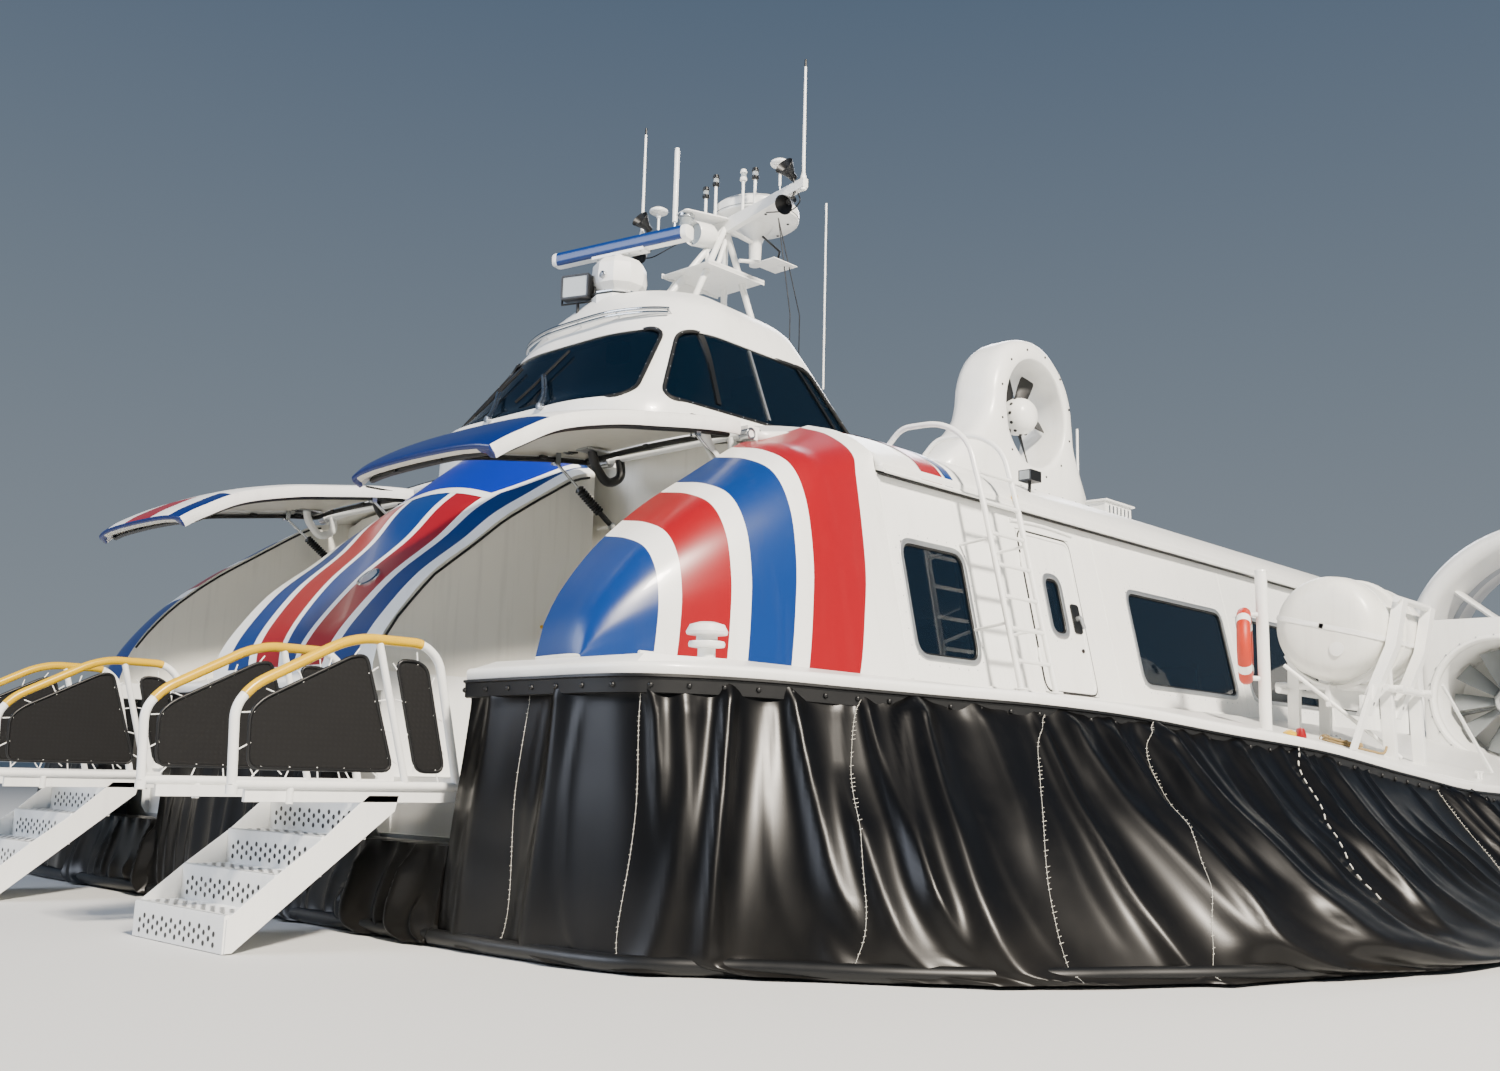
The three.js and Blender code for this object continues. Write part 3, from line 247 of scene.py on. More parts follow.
def spline(rows, count):
    """Rows of numbers spread evenly along a smooth curve through the given rows."""
    data = np.array(rows, float)
    last = len(data) - 1
    padded = np.vstack([2 * data[0] - data[1], data, 2 * data[-1] - data[-2]])
    t = np.linspace(0, last, count)
    i = np.minimum(t.astype(int), last - 1)
    f = (t - i)[:, None]
    p0, p1, p2, p3 = (padded[i + k] for k in range(4))
    return 0.5 * (2 * p1 + (p2 - p0) * f + (2 * p0 - 5 * p1 + 4 * p2 - p3) * f ** 2
                  + (3 * p1 - p0 - 3 * p2 + p3) * f ** 3)


def even(path, count):
    """Points spread by length along a polyline, with every column carried along."""
    data = np.array(path, float)
    run = np.concatenate([[0], np.cumsum(np.linalg.norm(np.diff(data[:, :3], axis=0), axis=1))])
    at = np.linspace(0, run[-1], count)
    return np.stack([np.interp(at, run, data[:, k]) for k in range(data.shape[1])], axis=1)


def read_at(x, places, *columns):
    """The value of each column at x, between the places that its rows stand for."""
    return [float(np.interp(x, places, column)) for column in columns]


def corner(start, tip, end, steps):
    """Points along the curve that replaces a corner."""
    return [start.lerp(tip, k / steps).lerp(tip.lerp(end, k / steps), k / steps) for k in range(steps + 1)]


def rounded(points, radius, steps=5, closed=False):
    """A path with its corners turned into curves."""
    path = [Vector(p) for p in points]
    out = [] if closed else [path[0]]
    inner = range(len(path)) if closed else range(1, len(path) - 1)
    for i in inner:
        a, b, c = path[i - 1], path[i], path[(i + 1) % len(path)]
        reach = min(radius, (b - a).length * 0.48, (c - b).length * 0.48)
        start, end = b + (a - b).normalized() * reach, b + (c - b).normalized() * reach
        out += corner(start, b, end, steps)
    return out if closed else out + [path[-1]]


def circle(count):
    """Angles spread evenly round a full turn."""
    return np.linspace(0, 2 * pi, count + 1)[:-1]


def spots_round(centre, radius, count, axis, first=0.0):
    """Places on a circle about an axis, each with its direction away from the axis."""
    for a in first + circle(count):
        c, s = cos(a), sin(a)
        way = {"x": (0, c, s), "y": (c, 0, s), "z": (c, s, 0)}[axis]
        yield tuple(middle + radius * part for middle, part in zip(centre, way)), way


def placed(spot, turn, axis):
    """A turn about one axis followed by a move to a spot."""
    return Matrix.Translation(spot) @ Matrix.Rotation(turn, 4, axis)


def rectangle(x0, x1, v0, v1):
    return [(x0, v0), (x1, v0), (x1, v1), (x0, v1)]


def mirror(points, side):
    """Points as they stand on one side of the craft."""
    return [(p[0], p[1] * side, p[2]) for p in points]


class Shape:
    """Points, faces and the finish number of each face, gathered for one piece"""

    def __init__(self):
        self.points, self.faces, self.marks = [], [], []

    def add(self, points, faces, mark=0):
        start = len(self.points)
        self.points += [tuple(map(float, p)) for p in points]
        self.faces += [tuple(start + i for i in face) for face in faces]
        self.marks += [mark] * len(faces) if isinstance(mark, int) else list(mark)
        return self

    def join(self, other):
        return self.add(other.points, other.faces, other.marks)

    def grid(self, rows, mark=0, around=False):
        """A sheet through equal rows of points.

        mark may be a function of row and column; None leaves the face out.
        """
        across = len(rows[0])
        cells = [(r, c) for r in range(len(rows) - 1) for c in range(across if around else across - 1)]
        marks = [mark(r, c) if callable(mark) else mark for r, c in cells]
        kept = [(cell, m) for cell, m in zip(cells, marks) if m is not None]
        faces = [(r * across + c, r * across + (c + 1) % across, (r + 1) * across + (c + 1) % across,
                  (r + 1) * across + c) for (r, c), _ in kept]
        return self.add([p for row in rows for p in row], faces, [m for _, m in kept])

    def loft(self, rings, mark=0):
        """A solid through rings, with both ends filled."""
        count = len(rings[0])
        first = len(self.points)
        self.grid(rings, mark, around=True)
        last = first + count * (len(rings) - 1)
        self.faces += [tuple(range(first, first + count))[::-1], tuple(range(last, last + count))]
        self.marks += [mark if isinstance(mark, int) else 0] * 2
        return self

    def tube(self, path, radius, sides=10, mark=0, closed=False):
        """A round tube along a path."""
        path = [Vector(p) for p in path]
        path = [p for i, p in enumerate(path) if i == 0 or (p - path[i - 1]).length > 1e-5]
        steps = [(b - a).normalized() for a, b in zip(path, path[1:])]
        if closed:
            steps.append((path[0] - path[-1]).normalized())
            along = [(steps[i - 1] + steps[i]).normalized() for i in range(len(path))]
        else:
            along = [steps[0]] + [(a + b).normalized() for a, b in zip(steps, steps[1:])] + [steps[-1]]
        side = along[0].orthogonal().normalized()
        rings = []
        for p, d in zip(path, along):
            side = (side - d * side.dot(d)).normalized()
            other = d.cross(side)
            rings.append([p + (side * cos(a) + other * sin(a)) * radius for a in circle(sides)])
        return self.grid(rings + [rings[0]], mark, around=True) if closed else self.loft(rings, mark)

    def turned(self, profile, axis, centre, sides=32, mark=0):
        """A turned solid: profile has (radius, along) pairs. One that starts off the axis gives a ring."""
        ring = profile[0][0] > 1e-6
        place = {"x": lambda u, v, h: (h, u, v), "y": lambda u, v, h: (v, h, u),
                 "z": lambda u, v, h: (u, v, h)}[axis]
        turns = circle(sides)
        rings = [[np.add(place(r * cos(a), r * sin(a), h), centre) for a in turns]
                 for r, h in ((max(r, 1e-5), h) for r, h in list(profile) + ([profile[0]] if ring else []))]
        return self.grid(rings, mark, around=True) if ring else self.loft(rings, mark)

    def box(self, x0, x1, y0, y1, z0, z1, mark=0):
        corners = [(x, y, z) for x in (x0, x1) for y in (y0, y1) for z in (z0, z1)]
        return self.add(corners,
                        [(0, 1, 3, 2), (4, 6, 7, 5), (0, 4, 5, 1), (2, 3, 7, 6), (0, 2, 6, 4), (1, 5, 7, 3)],
                        mark)

    def block(self, x, y, z, half_x, half_y, half_z, mark=0):
        return self.box(x - half_x, x + half_x, y - half_y, y + half_y, z - half_z, z + half_z, mark)

    def dome(self, place, out, radius, height, mark=0, sides=8):
        """A low round head that stands on a surface."""
        base, out = Vector(place), Vector(out).normalized()
        side = out.orthogonal().normalized()
        other = out.cross(side)
        rings = []
        for share, rise in ((1, 0), (1, 0.35), (0.8, 0.75), (0.4, 1)):
            rings.append([base + out * height * rise + (side * cos(a) + other * sin(a)) * radius * share
                          for a in circle(sides)])
        return self.loft(rings, mark)

    def spread(self, count, rings, spot, axis, mark=0):
        """Copies of one blade, spread evenly round an axis through a spot."""
        for k in range(count):
            start = len(self.points)
            self.loft(rings, mark)
            self.move(placed(spot, k * 2 * pi / count, axis), start)

    def move(self, matrix, start=0):
        """Moves the points from number start on."""
        self.points[start:] = [tuple(matrix @ Vector(p)) for p in self.points[start:]]
        return self

    def piece(self, name, finishes, slot, body="hull", replaces=(), angle=38, weld=True):
        """The finished piece, riding on its body."""
        mesh = bpy.data.meshes.new(name)
        mesh.from_pydata(self.points, [], self.faces)
        for key in [finishes] if isinstance(finishes, str) else finishes:
            mesh.materials.append(FINISH[key])
        mesh.polygons.foreach_set("material_index", self.marks)
        work = bmesh.new()
        work.from_mesh(mesh)
        if weld:
            bmesh.ops.remove_doubles(work, verts=work.verts, dist=2e-5)
            bmesh.ops.dissolve_degenerate(work, edges=work.edges, dist=1e-6)
        bmesh.ops.recalc_face_normals(work, faces=work.faces)
        work.to_mesh(mesh)
        work.free()
        mesh.shade_smooth()
        mesh.set_sharp_from_angle(angle=radians(angle))
        made = bpy.data.objects.new(name, mesh)
        bpy.context.scene.collection.objects.link(made)
        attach(made, body)
        if replaces:
            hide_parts(*([replaces] if isinstance(replaces, str) else replaces))
        return made


def soften(made, width=0.006, segments=2, angle=35):
    """Rounds the sharp edges of a piece."""
    change = made.modifiers.new("Rounded edges", "BEVEL")
    change.width, change.segments = width, segments
    change.limit_method, change.angle_limit = "ANGLE", radians(angle)
    change.harden_normals = True
    return made


def thicken(made, depth, offset=-1.0):
    change = made.modifiers.new("Thickness", "SOLIDIFY")
    change.thickness, change.offset = depth, offset
    return change


def dress(node, finish, width=0.0, angle=35):
    """Gives a frame node its finish and smooth shading, with softened edges when a width is given and crisp
    edges otherwise.
    """
    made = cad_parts[node]
    made.data.materials.clear()
    made.data.materials.append(FINISH[finish])
    join = made.modifiers.new("Joined points", "WELD")
    join.merge_threshold = 0.0001
    made.data.shade_smooth()
    if width:
        soften(made, width, 2, angle)
    else:
        split = made.modifiers.new("Crisp edges", "EDGE_SPLIT")
        split.split_angle = radians(angle)
    return made


# Skirt: deck edge x, y, z, then the foot of the skirt x, y, port side from the boarding slot to the stern
RIM = [
    (10.33, 2.56, 1.58, 10.48, 2.56), (10.31, 3.2, 1.585, 10.46, 3.3), (10.2, 3.88, 1.59, 10.36, 4.06),
    (9.64, 4.2, 1.59, 9.96, 4.54), (9.1, 4.45, 1.57, 9.54, 5.13), (8.54, 4.7, 1.55, 9.02, 5.62),
    (7.95, 4.97, 1.53, 8.54, 5.9), (7.2, 5.2, 1.49, 7.85, 6.3), (6.4, 5.45, 1.41, 6.9, 6.56),
    (5.4, 5.67, 1.33, 5.9, 6.66), (4.1, 5.83, 1.19, 4.3, 6.68), (2.4, 5.9, 1.08, 2.5, 6.68),
    (-2.0, 5.9, 1.06, -2.0, 6.68), (-6.5, 5.88, 1.06, -6.5, 6.64), (-9.6, 5.6, 1.06, -9.9, 6.3),
    (-10.7, 5.0, 1.06, -11.15, 5.5), (-11.0, 4.2, 1.06, -11.6, 4.2),
]
SLOT_IN, SLOT_OUT = 1.15, 2.56  # inner and outer side of each boarding slot
# Side skirt from its top to its foot: share of the way out, and share of the height
SECTION = [(0, 0.955), (0.1, 0.86), (0.34, 0.66), (0.62, 0.45), (0.87, 0.22), (0.99, 0.06), (1.0, 0.012)]
HEM = 0.047  # radius of the tube along the foot


def rim_line(count):
    """The deck edge and skirt foot, evenly spaced from bow to stern, as x, y, z, foot x, foot y."""
    return even(spline(RIM, 400), count)


def outward(line):
    """Level directions that point out from a line that runs from bow to stern on the port side."""
    along = np.gradient(line[:, :2], axis=0)
    out = np.stack([along[:, 1], -along[:, 0]], axis=1)
    return out / np.linalg.norm(out, axis=1, keepdims=True)


# Large folds of the side skirt: places along the rim at each share of the way down, half width, height,
# and the shares of the way down between which the fold stands
DOWN = (0, 0.2, 0.4, 0.6, 0.75, 0.87, 0.93, 1)
FOLDS = [
    ((0.25, 0.24, 0.22, 0.2, 0.2, 0.2, 0.22, 0.3), 0.1, 0.05, 0, 1.2),
    ((0.8, 0.8, 0.78, 0.74, 0.72, 0.7, 0.76, 0.9), 0.09, 0.07, 0, 1.2),
    ((1.36, 1.44, 1.47, 1.5, 1.5, 1.5, 1.5, 1.5), 0.05, 0.05, 0, 0.55),
    ((1.6, 1.6, 1.62, 1.57, 1.51, 1.45, 1.43, 1.4), 0.12, 0.06, 0.05, 1.2),
    ((1.86, 1.83, 1.8, 1.76, 1.74, 1.72, 1.82, 2.0), 0.08, 0.1, 0, 1.2),
    ((2.2, 2.24, 2.29, 2.34, 2.45, 2.55, 2.62, 2.8), 0.07, 0.08, 0, 0.85),
    ((2.3, 2.3, 2.3, 2.31, 2.32, 2.36, 2.44, 2.7), 0.07, 0.06, 0.7, 1.2),
    ((2.45, 2.45, 2.47, 2.54, 2.6, 2.7, 2.84, 2.98), 0.08, 0.07, 0.35, 1.2),
    ((2.68, 2.68, 2.7, 2.74, 2.85, 2.95, 3.0, 3.1), 0.05, 0.06, 0, 0.85),
    ((2.97, 2.85, 2.79, 2.75, 2.79, 2.8, 2.8, 2.8), 0.09, 0.07, 0, 0.8),
    ((3.01, 2.98, 2.95, 2.95, 3.0, 3.08, 3.23, 3.7), 0.1, 0.12, 0, 1.2),
    ((3.38, 3.45, 3.44, 3.4, 3.4, 3.4, 3.4, 3.4), 0.15, 0.05, 0, 0.6),
    ((3.82, 3.82, 3.84, 3.94, 4.08, 4.17, 4.2, 4.3), 0.06, 0.06, 0.05, 1.2),
    ((4.03, 4.05, 4.16, 4.42, 4.63, 5.0, 5.3, 5.8), 0.13, 0.11, 0, 1.2),
    ((4.3, 4.34, 4.43, 4.57, 4.68, 4.95, 5.2, 5.8), 0.06, 0.06, 0, 1.2),
    ((4.68, 4.7, 4.81, 5.0, 5.3, 5.8, 6.2, 7.0), 0.1, 0.08, 0, 1.2),
    ((4.79, 4.86, 4.91, 5.04, 5.27, 6.0, 6.5, 7.3), 0.08, 0.09, 0, 1.2),
    ((5.04, 5.04, 5.04, 5.16, 5.5, 6.0, 6.4, 7.2), 0.06, 0.05, 0, 1.2),
    ((5.54, 5.45, 5.38, 5.42, 5.7, 6.3, 6.9, 7.8), 0.08, 0.08, 0, 1.2),
    ((6.18, 6.1, 6.02, 6.11, 6.3, 7.0, 7.6, 8.5), 0.08, 0.08, 0, 1.2),
    ((6.52, 6.48, 6.46, 6.55, 6.9, 7.5, 8.2, 9.0), 0.07, 0.07, 0, 1.2),
]


TRAIL, FRONT = 0.62, 1.55  # how fast a fold falls off behind and in front
CREST, FALL = 0.1, 0.68  # roundness of its crest and how it falls off
LIMIT, EASE = 0.28, 0.04  # most that the cloth stands out, and how softly it gets there


def crease(run, down, places, width, height, first=0.0, last=1.2):
    """One fold of cloth: a ridge through places along the run, steep in front and drawn out behind."""
    share = down[0]
    crest = np.interp(share, DOWN, places)
    for _ in range(4):
        crest[1:-1] = (crest[:-2] + 2 * crest[1:-1] + crest[2:]) / 4
    slope = np.gradient(crest, 1.45 * (share[1] - share[0]))
    across = (run - crest) / (width * (0.6 + 0.7 * share) * np.sqrt(1 + np.minimum(slope ** 2, 30)))
    reach = np.where(across > 0, TRAIL, FRONT) * across
    ridge = np.exp(CREST ** FALL - (reach ** 2 + CREST) ** FALL)
    start, end = np.clip((share - first) / 0.16 + 0.15, 0, 1), np.clip((last - share) / 0.2, 0, 1)
    return height * ridge * start * end


def fine_folds(run, down, seed, start, end, count, depth, sweep):
    """Many slimmer folds spread at random over a stretch of cloth; sweep is how far a foot trails."""
    draw = random.Random(seed)
    relief = np.zeros(np.broadcast(run, down).shape)
    share = np.array(DOWN)
    for i in range(count):
        at = start + (end - start) * (i + draw.uniform(0.1, 0.9)) / count
        trail = sweep(at) * draw.uniform(0.85, 1.15) * share ** draw.uniform(4, 5.5)
        trail -= 0.12 * np.sin(pi * share)
        large = draw.random() < 0.25
        height = depth * (draw.uniform(0.8, 1.1) if large else draw.uniform(0.2, 0.5))
        width = draw.uniform(0.06, 0.09) if large else draw.uniform(0.028, 0.05)
        first = 0 if large else draw.choice((0, 0, 0.1, 0.3))
        last = 1.2 if large else draw.uniform(0.7, 1.25)
        relief += crease(run, down, at + trail, width, height, first, last)
    return relief


def pucker(run, down, step):
    """Small gathers under the bolts that hold the top edge."""
    return 0.012 * np.cos(2 * pi * run / step) * np.exp(-down / 0.06)


def side_skirt(name, side, columns=1000, rows=50):
    sizes = bpy.context.scene.craft_sizes
    line = rim_line(columns)
    out = outward(line)
    run = np.linspace(0, 1, columns)[:, None] * np.linalg.norm(np.diff(line[:, :3], axis=0), axis=1).sum()
    section = spline(SECTION, rows)
    down = np.linspace(0, 1, rows)[None, :]
    draw = random.Random(5)
    relief = fine_folds(run, down, 7 + side, 7.0, run[-1, 0], sizes.folds, sizes.fold,
                        lambda at: min(3.0, 1.6 + 0.2 * at))
    relief += fine_folds(run, down, 17 + side, 4.4, 7.2, 22, sizes.fold * 0.5, lambda at: 0.6 + 0.35 * at)
    relief += fine_folds(run, down, 27 + side, 0.1, 4.4, 10, sizes.fold * 0.22, lambda at: 0.15 * at)
    for places, width, tall, first, last in FOLDS:
        shift = 0 if side > 0 else draw.uniform(-0.15, 0.15)
        relief += crease(run, down, np.array(places) + shift, width, tall, first, last)
    relief -= 0.03 * np.clip(down / 0.15, 0, 1) * np.clip((1 - down) / 0.1, 0, 1)
    relief -= EASE * np.log1p(np.exp((relief - LIMIT) / EASE))
    relief += pucker(run, down, sizes.bolt_step)
    share, height = section[:, 0][None, :], section[:, 1][None, :]
    x = line[:, 0:1] + (line[:, 3:4] - line[:, 0:1]) * share + out[:, 0:1] * relief
    y = line[:, 1:2] + (line[:, 4:5] - line[:, 1:2]) * share + out[:, 1:2] * relief
    z = np.maximum(line[:, 2:3] * height + 0.35 * relief * down * (1 - down), 0.012) * np.ones_like(x)
    rings = []
    for i in range(columns):
        inner_x = line[i, 0] - (0.25 if line[i, 0] > 9.7 else 0) + (0.25 if line[i, 0] < -10.5 else 0)
        inner_y = line[i, 1] * (0.96 if line[i, 1] > SLOT_OUT + 0.1 else 1)
        outer = [(x[i, k], y[i, k] * side, z[i, k]) for k in range(rows)]
        rings.append([(inner_x, inner_y * side, line[i, 2] - 0.08)] + outer
                     + [(inner_x, inner_y * side, 0.02)])
    Shape().loft(rings).piece(f"skirt_cloth_{name}", "skirt", "skirt_rubber", replaces=f"skirt_{name}",
                              angle=80)
    skirt_seams(name, side, x, y, z, out, run[:, 0])
    hem = Shape()
    foot = [(px + ox * 0.01, (py + oy * 0.01) * side, HEM + 0.002)
            for (px, py), (ox, oy) in zip(line[::4, 3:5], outward(line[::4]))]
    hem.tube(foot, HEM)
    hem.piece(f"skirt_hem_{name}", "rubber", "black_rubber")


# Seams of the side skirt: place along the rim at the top, and drift of the seam toward the bow at its foot
SEAMS = ((0.55, 0.05), (1.38, 0.07), (2.69, 0.28), (3.97, 0.62), (4.79, 0.5), (8.3, 0.3), (10.6, -0.3),
         (13.0, -0.4), (15.5, -0.4), (18.0, -0.4))
TIES = (6.2, 0.55)  # the same two values for the row of heavier ties


def skirt_seams(name, side, x, y, z, out, run):
    """Pale seams with cross stitches that wander down the cloth, and one row of heavier ties."""
    thread = Shape()
    draw = random.Random(31)
    rows = x.shape[1]

    def line(start, drift, count):
        places = []
        for k in range(1, rows - 2):
            down = k / (rows - 1)
            at = start - drift * sin(pi / 2 * down) + 0.05 * down * sin(9 * down + 3 * start)
            i = int(np.clip(np.searchsorted(run, at), 1, len(run) - 2))
            share = (at - run[i - 1]) / (run[i] - run[i - 1])
            lift = np.array((out[i, 0], out[i, 1], 0)) * 0.003
            here = np.array((x[i, k], y[i, k], z[i, k]))
            before = np.array((x[i - 1, k], y[i - 1, k], z[i - 1, k]))
            place = before + (here - before) * share + lift
            places.append(Vector((place[0], place[1] * side, place[2])))
        return even(places, count)

    for start, drift in SEAMS:
        spots = [Vector(p) for p in line(start, drift, 60)]
        thread.tube(spots, 0.0012, sides=4)
        for a, b in zip(spots, spots[1:]):
            if draw.random() < 0.75:
                along = (b - a).normalized()
                cross = Vector((-0.6, 0.8 * side * 0.3, 0)).normalized() * draw.uniform(0.008, 0.024)
                thread.tube([a - cross * 0.4 + along * 0.004, a + cross - along * 0.004], 0.0014, sides=4)
    spots = [Vector(p) for p in line(*TIES, 48)]
    for a, b in list(zip(spots[::2], spots[1::2]))[:17]:
        thread.tube([a, b], 0.0055, sides=5)
    thread.piece(f"skirt_stitches_{name}", "thread", "rope")


def end_skirt(name, y0, y1, profile, stern=False, columns=90, rows=40, replaces=()):
    """A flat stretch of skirt across the bow or stern: profile has (x, z) pairs from top to foot."""
    sizes = bpy.context.scene.craft_sizes
    run = np.linspace(0, y1 - y0, columns)[:, None]
    down = np.linspace(0, 1, rows)[None, :]
    section = spline(profile, rows)
    count = max(4, int((y1 - y0) / 0.15))
    relief = fine_folds(run, down, int(y0 * 10) + 50, 0, y1 - y0, count, sizes.fold, lambda at: 0.1)
    sign = -1 if stern else 1
    relief += pucker(run, down, sizes.bolt_step)
    rings = []
    for i in range(columns):
        outer = [(section[k, 0] + sign * relief[i, k], y0 + run[i, 0], max(section[k, 1], 0.012))
                 for k in range(rows)]
        back = profile[0][0] - sign * 0.22
        rings.append([(back, y0 + run[i, 0], profile[0][1])] + outer + [(back, y0 + run[i, 0], 0.02)])
    Shape().loft(rings).piece(name, "skirt", "skirt_rubber", replaces=replaces, angle=80)
    hem = Shape().tube([(profile[-1][0] + sign * 0.01, y, HEM + 0.002) for y in (y0 + 0.01, y1 - 0.01)], HEM)
    hem.piece(name + "_hem", "rubber", "black_rubber")


# Skirt across the bow and the stern: (x, z) from top to foot
BOW_CENTRE = [(10.4, 1.5), (10.43, 1.1), (10.45, 0.7), (10.47, 0.35), (10.478, 0.07), (10.47, 0.012)]
BOW_LOW = [(10.42, 0.552), (10.45, 0.3), (10.465, 0.15), (10.472, 0.06), (10.47, 0.012)]
STERN_PROFILE = [(-11.0, 0.985), (-11.2, 0.7), (-11.4, 0.38), (-11.58, 0.08), (-11.59, 0.012)]


def sweep(shape, line, out, profile, side, mark=0):
    """Sweeps (outward, up) pairs along a line of the rim."""
    rings = [[(p[0] + o[0] * u, (p[1] + o[1] * u) * side, p[2] + v) for u, v in profile]
             for p, o in zip(line, out)]
    return shape.loft(rings, mark)


# Outlines of the deck edge and of the clamp strip below it: (outward, up)
EDGE = [(-0.1, 0.004), (0.008, 0.004), (0.026, -0.008), (0.03, -0.03), (0.026, -0.062), (0.0, -0.071),
        (-0.03, -0.05)]
STRIP = [(0.0, -0.066), (0.05, -0.066), (0.052, -0.08), (0.036, -0.086), (0.034, -0.165), (0.02, -0.172),
         (0.0, -0.15)]


def deck_edge():
    """White deck edge with the black bolted strip that clamps the skirt under it."""
    sizes = bpy.context.scene.craft_sizes
    edge, strip, bolts = Shape(), Shape(), Shape()
    line = rim_line(260)
    out = outward(line)
    length = np.linalg.norm(np.diff(line[:, :3], axis=0), axis=1).sum()
    spots = even(line, int(length / sizes.bolt_step))
    spot_out = outward(spots)
    front = np.array([(10.4, y, 1.575) for y in np.linspace(-SLOT_IN + 0.012, SLOT_IN - 0.012, 13)])
    back = np.array([(-11.0, y, 1.06) for y in np.linspace(-4.2, 4.2, 40)])
    ahead, astern = np.tile([1.0, 0.0], (40, 1)), np.tile([-1.0, 0.0], (40, 1))
    for side in (1, -1):
        sweep(edge, line, out, EDGE, side)
        sweep(strip, line, out, STRIP, side)
        for p, o in zip(spots, spot_out):
            bolts.dome((p[0] + o[0] * 0.033, (p[1] + o[1] * 0.033) * side, p[2] - 0.125),
                       (o[0], o[1] * side, 0), 0.017, 0.016, sides=6)
    for place, way in ((front, ahead), (back, astern)):
        sweep(edge, place, way, EDGE, 1)
        sweep(strip, place, way, STRIP, 1)
        for p in place[1:-1]:
            bolts.dome((p[0] + way[0][0] * 0.033, p[1], p[2] - 0.125), (way[0][0], 0, 0), 0.017, 0.016,
                       sides=6)
    edge.piece("deck_edge", "white", "white_paint", angle=50)
    strip.piece("skirt_clamp_strip", "black", "black_rubber")
    bolts.piece("skirt_clamp_bolts", "black", "black_paint", angle=50)


# Cabin side: coordinates along x, up the leaning wall from the deck, and out from its outer face
WALL_IN, WALL_UP = 0.31, 1.48  # how far the wall leans in over its height
LEAN = hypot(WALL_IN, WALL_UP) / WALL_UP
# Windows as (aft, fore); the door and its porthole as (aft, fore, foot, head)
WINDOWS = ((6.8, 7.55), (2.5, 4.33), (0.35, 2.15), (-1.8, 0.0))
SILL, HEAD = 1.84, 2.65
DOOR = (5.16, 5.97, 1.68, 2.98)
PORTHOLE = (5.46, 5.68, 2.16, 2.62)


def wall_matrix(side):
    up = Vector((0, -side * WALL_IN, WALL_UP)).normalized()
    out = Vector((0, side * WALL_UP, WALL_IN)).normalized()
    place = Matrix.Identity(4)
    for i in range(3):
        place[i][0], place[i][1], place[i][2] = (1, 0, 0)[i], up[i], out[i]
    place[1][3], place[2][3] = side * 3.85, DECK
    return place


def rise(z):
    """Distance up the wall from the deck to a height."""
    return (z - DECK) * LEAN


def grown(corners, by):
    """A convex outline with each side moved out by a distance."""
    area = sum(a[0] * b[1] - b[0] * a[1] for a, b in zip(corners, corners[1:] + corners[:1]))
    turn = 1 if area > 0 else -1
    out = []
    for i, b in enumerate(corners):
        a, c = Vector(corners[i - 1]), Vector(corners[(i + 1) % len(corners)])
        b = Vector(b)
        d1, d2 = (b - a).normalized(), (c - b).normalized()
        n1, n2 = Vector((d1.y, -d1.x)) * turn, Vector((d2.y, -d2.x)) * turn
        out.append(tuple(b + (n1 + n2) * (by / (1 + n1.dot(n2)))))
    return out


def outline(corners, radius, by=0.0, steps=6):
    """A rounded closed outline of corners, moved out by a distance."""
    return [(p.x, p.y)
            for p in rounded([Vector((x, y, 0)) for x, y in grown(corners, by)], max(radius + by, 0.01),
                             steps, closed=True)]


def band(shape, outer, inner, low, high, mark=0, bevel=0.003):
    """A flat ring between two outlines, with softened edges."""
    rows = [(outer, low), (outer, high - bevel), (pull(outer, inner, 0.12), high),
            (pull(inner, outer, 0.12), high), (inner, high - bevel), (inner, low), (outer, low)]
    return shape.grid([[(x, y, w) for x, y in row] for row, w in rows], mark, around=True)


def pull(a, b, share):
    return [(p[0] + (q[0] - p[0]) * share, p[1] + (q[1] - p[1]) * share) for p, q in zip(a, b)]


def pane(shape, edge, low, high, mark=0):
    return shape.loft([[(x, y, w) for x, y in edge] for w in (low, high)], mark)


def level(x, y, z, half_x, half_y):
    """A level four-cornered ring about a place."""
    return [(x - half_x, y - half_y, z), (x + half_x, y - half_y, z), (x + half_x, y + half_y, z),
            (x - half_x, y + half_y, z)]


def slab(shape, section, y0, y1, mark=0):
    """A section of (x, z) places, drawn out across the craft."""
    return shape.loft([[(x, y, z) for x, z in section] for y in (y0, y1)], mark)


def glazing(matrix, corners, radius, frame_width=0.03, depth=0.05, proud=0.01, rivets=True):
    """Frame, gasket, rivets and glass of one window, as a frame shape and a glass shape."""
    sizes = bpy.context.scene.craft_sizes
    trim, glass = Shape(), Shape()
    inner, outer = outline(corners, radius, -0.008), outline(corners, radius, frame_width)
    band(trim, outer, inner, -0.004, proud)
    band(trim, outline(corners, radius, 0.002), outline(corners, radius, -0.022), -depth, 0.002, 1)
    if rivets:
        ring = [Vector((x, y, 0)) for x, y in outline(corners, radius, frame_width + 0.035)]
        ring.append(ring[0])
        length = sum((b - a).length for a, b in zip(ring, ring[1:]))
        for p in even(ring, max(8, int(length / sizes.rivet_step)))[:-1]:
            trim.dome(p, (0, 0, 1), 0.006, 0.003, sides=6)
    pane(glass, outline(corners, radius, -0.006), -0.02, -0.012)
    return trim.move(matrix), glass.move(matrix)


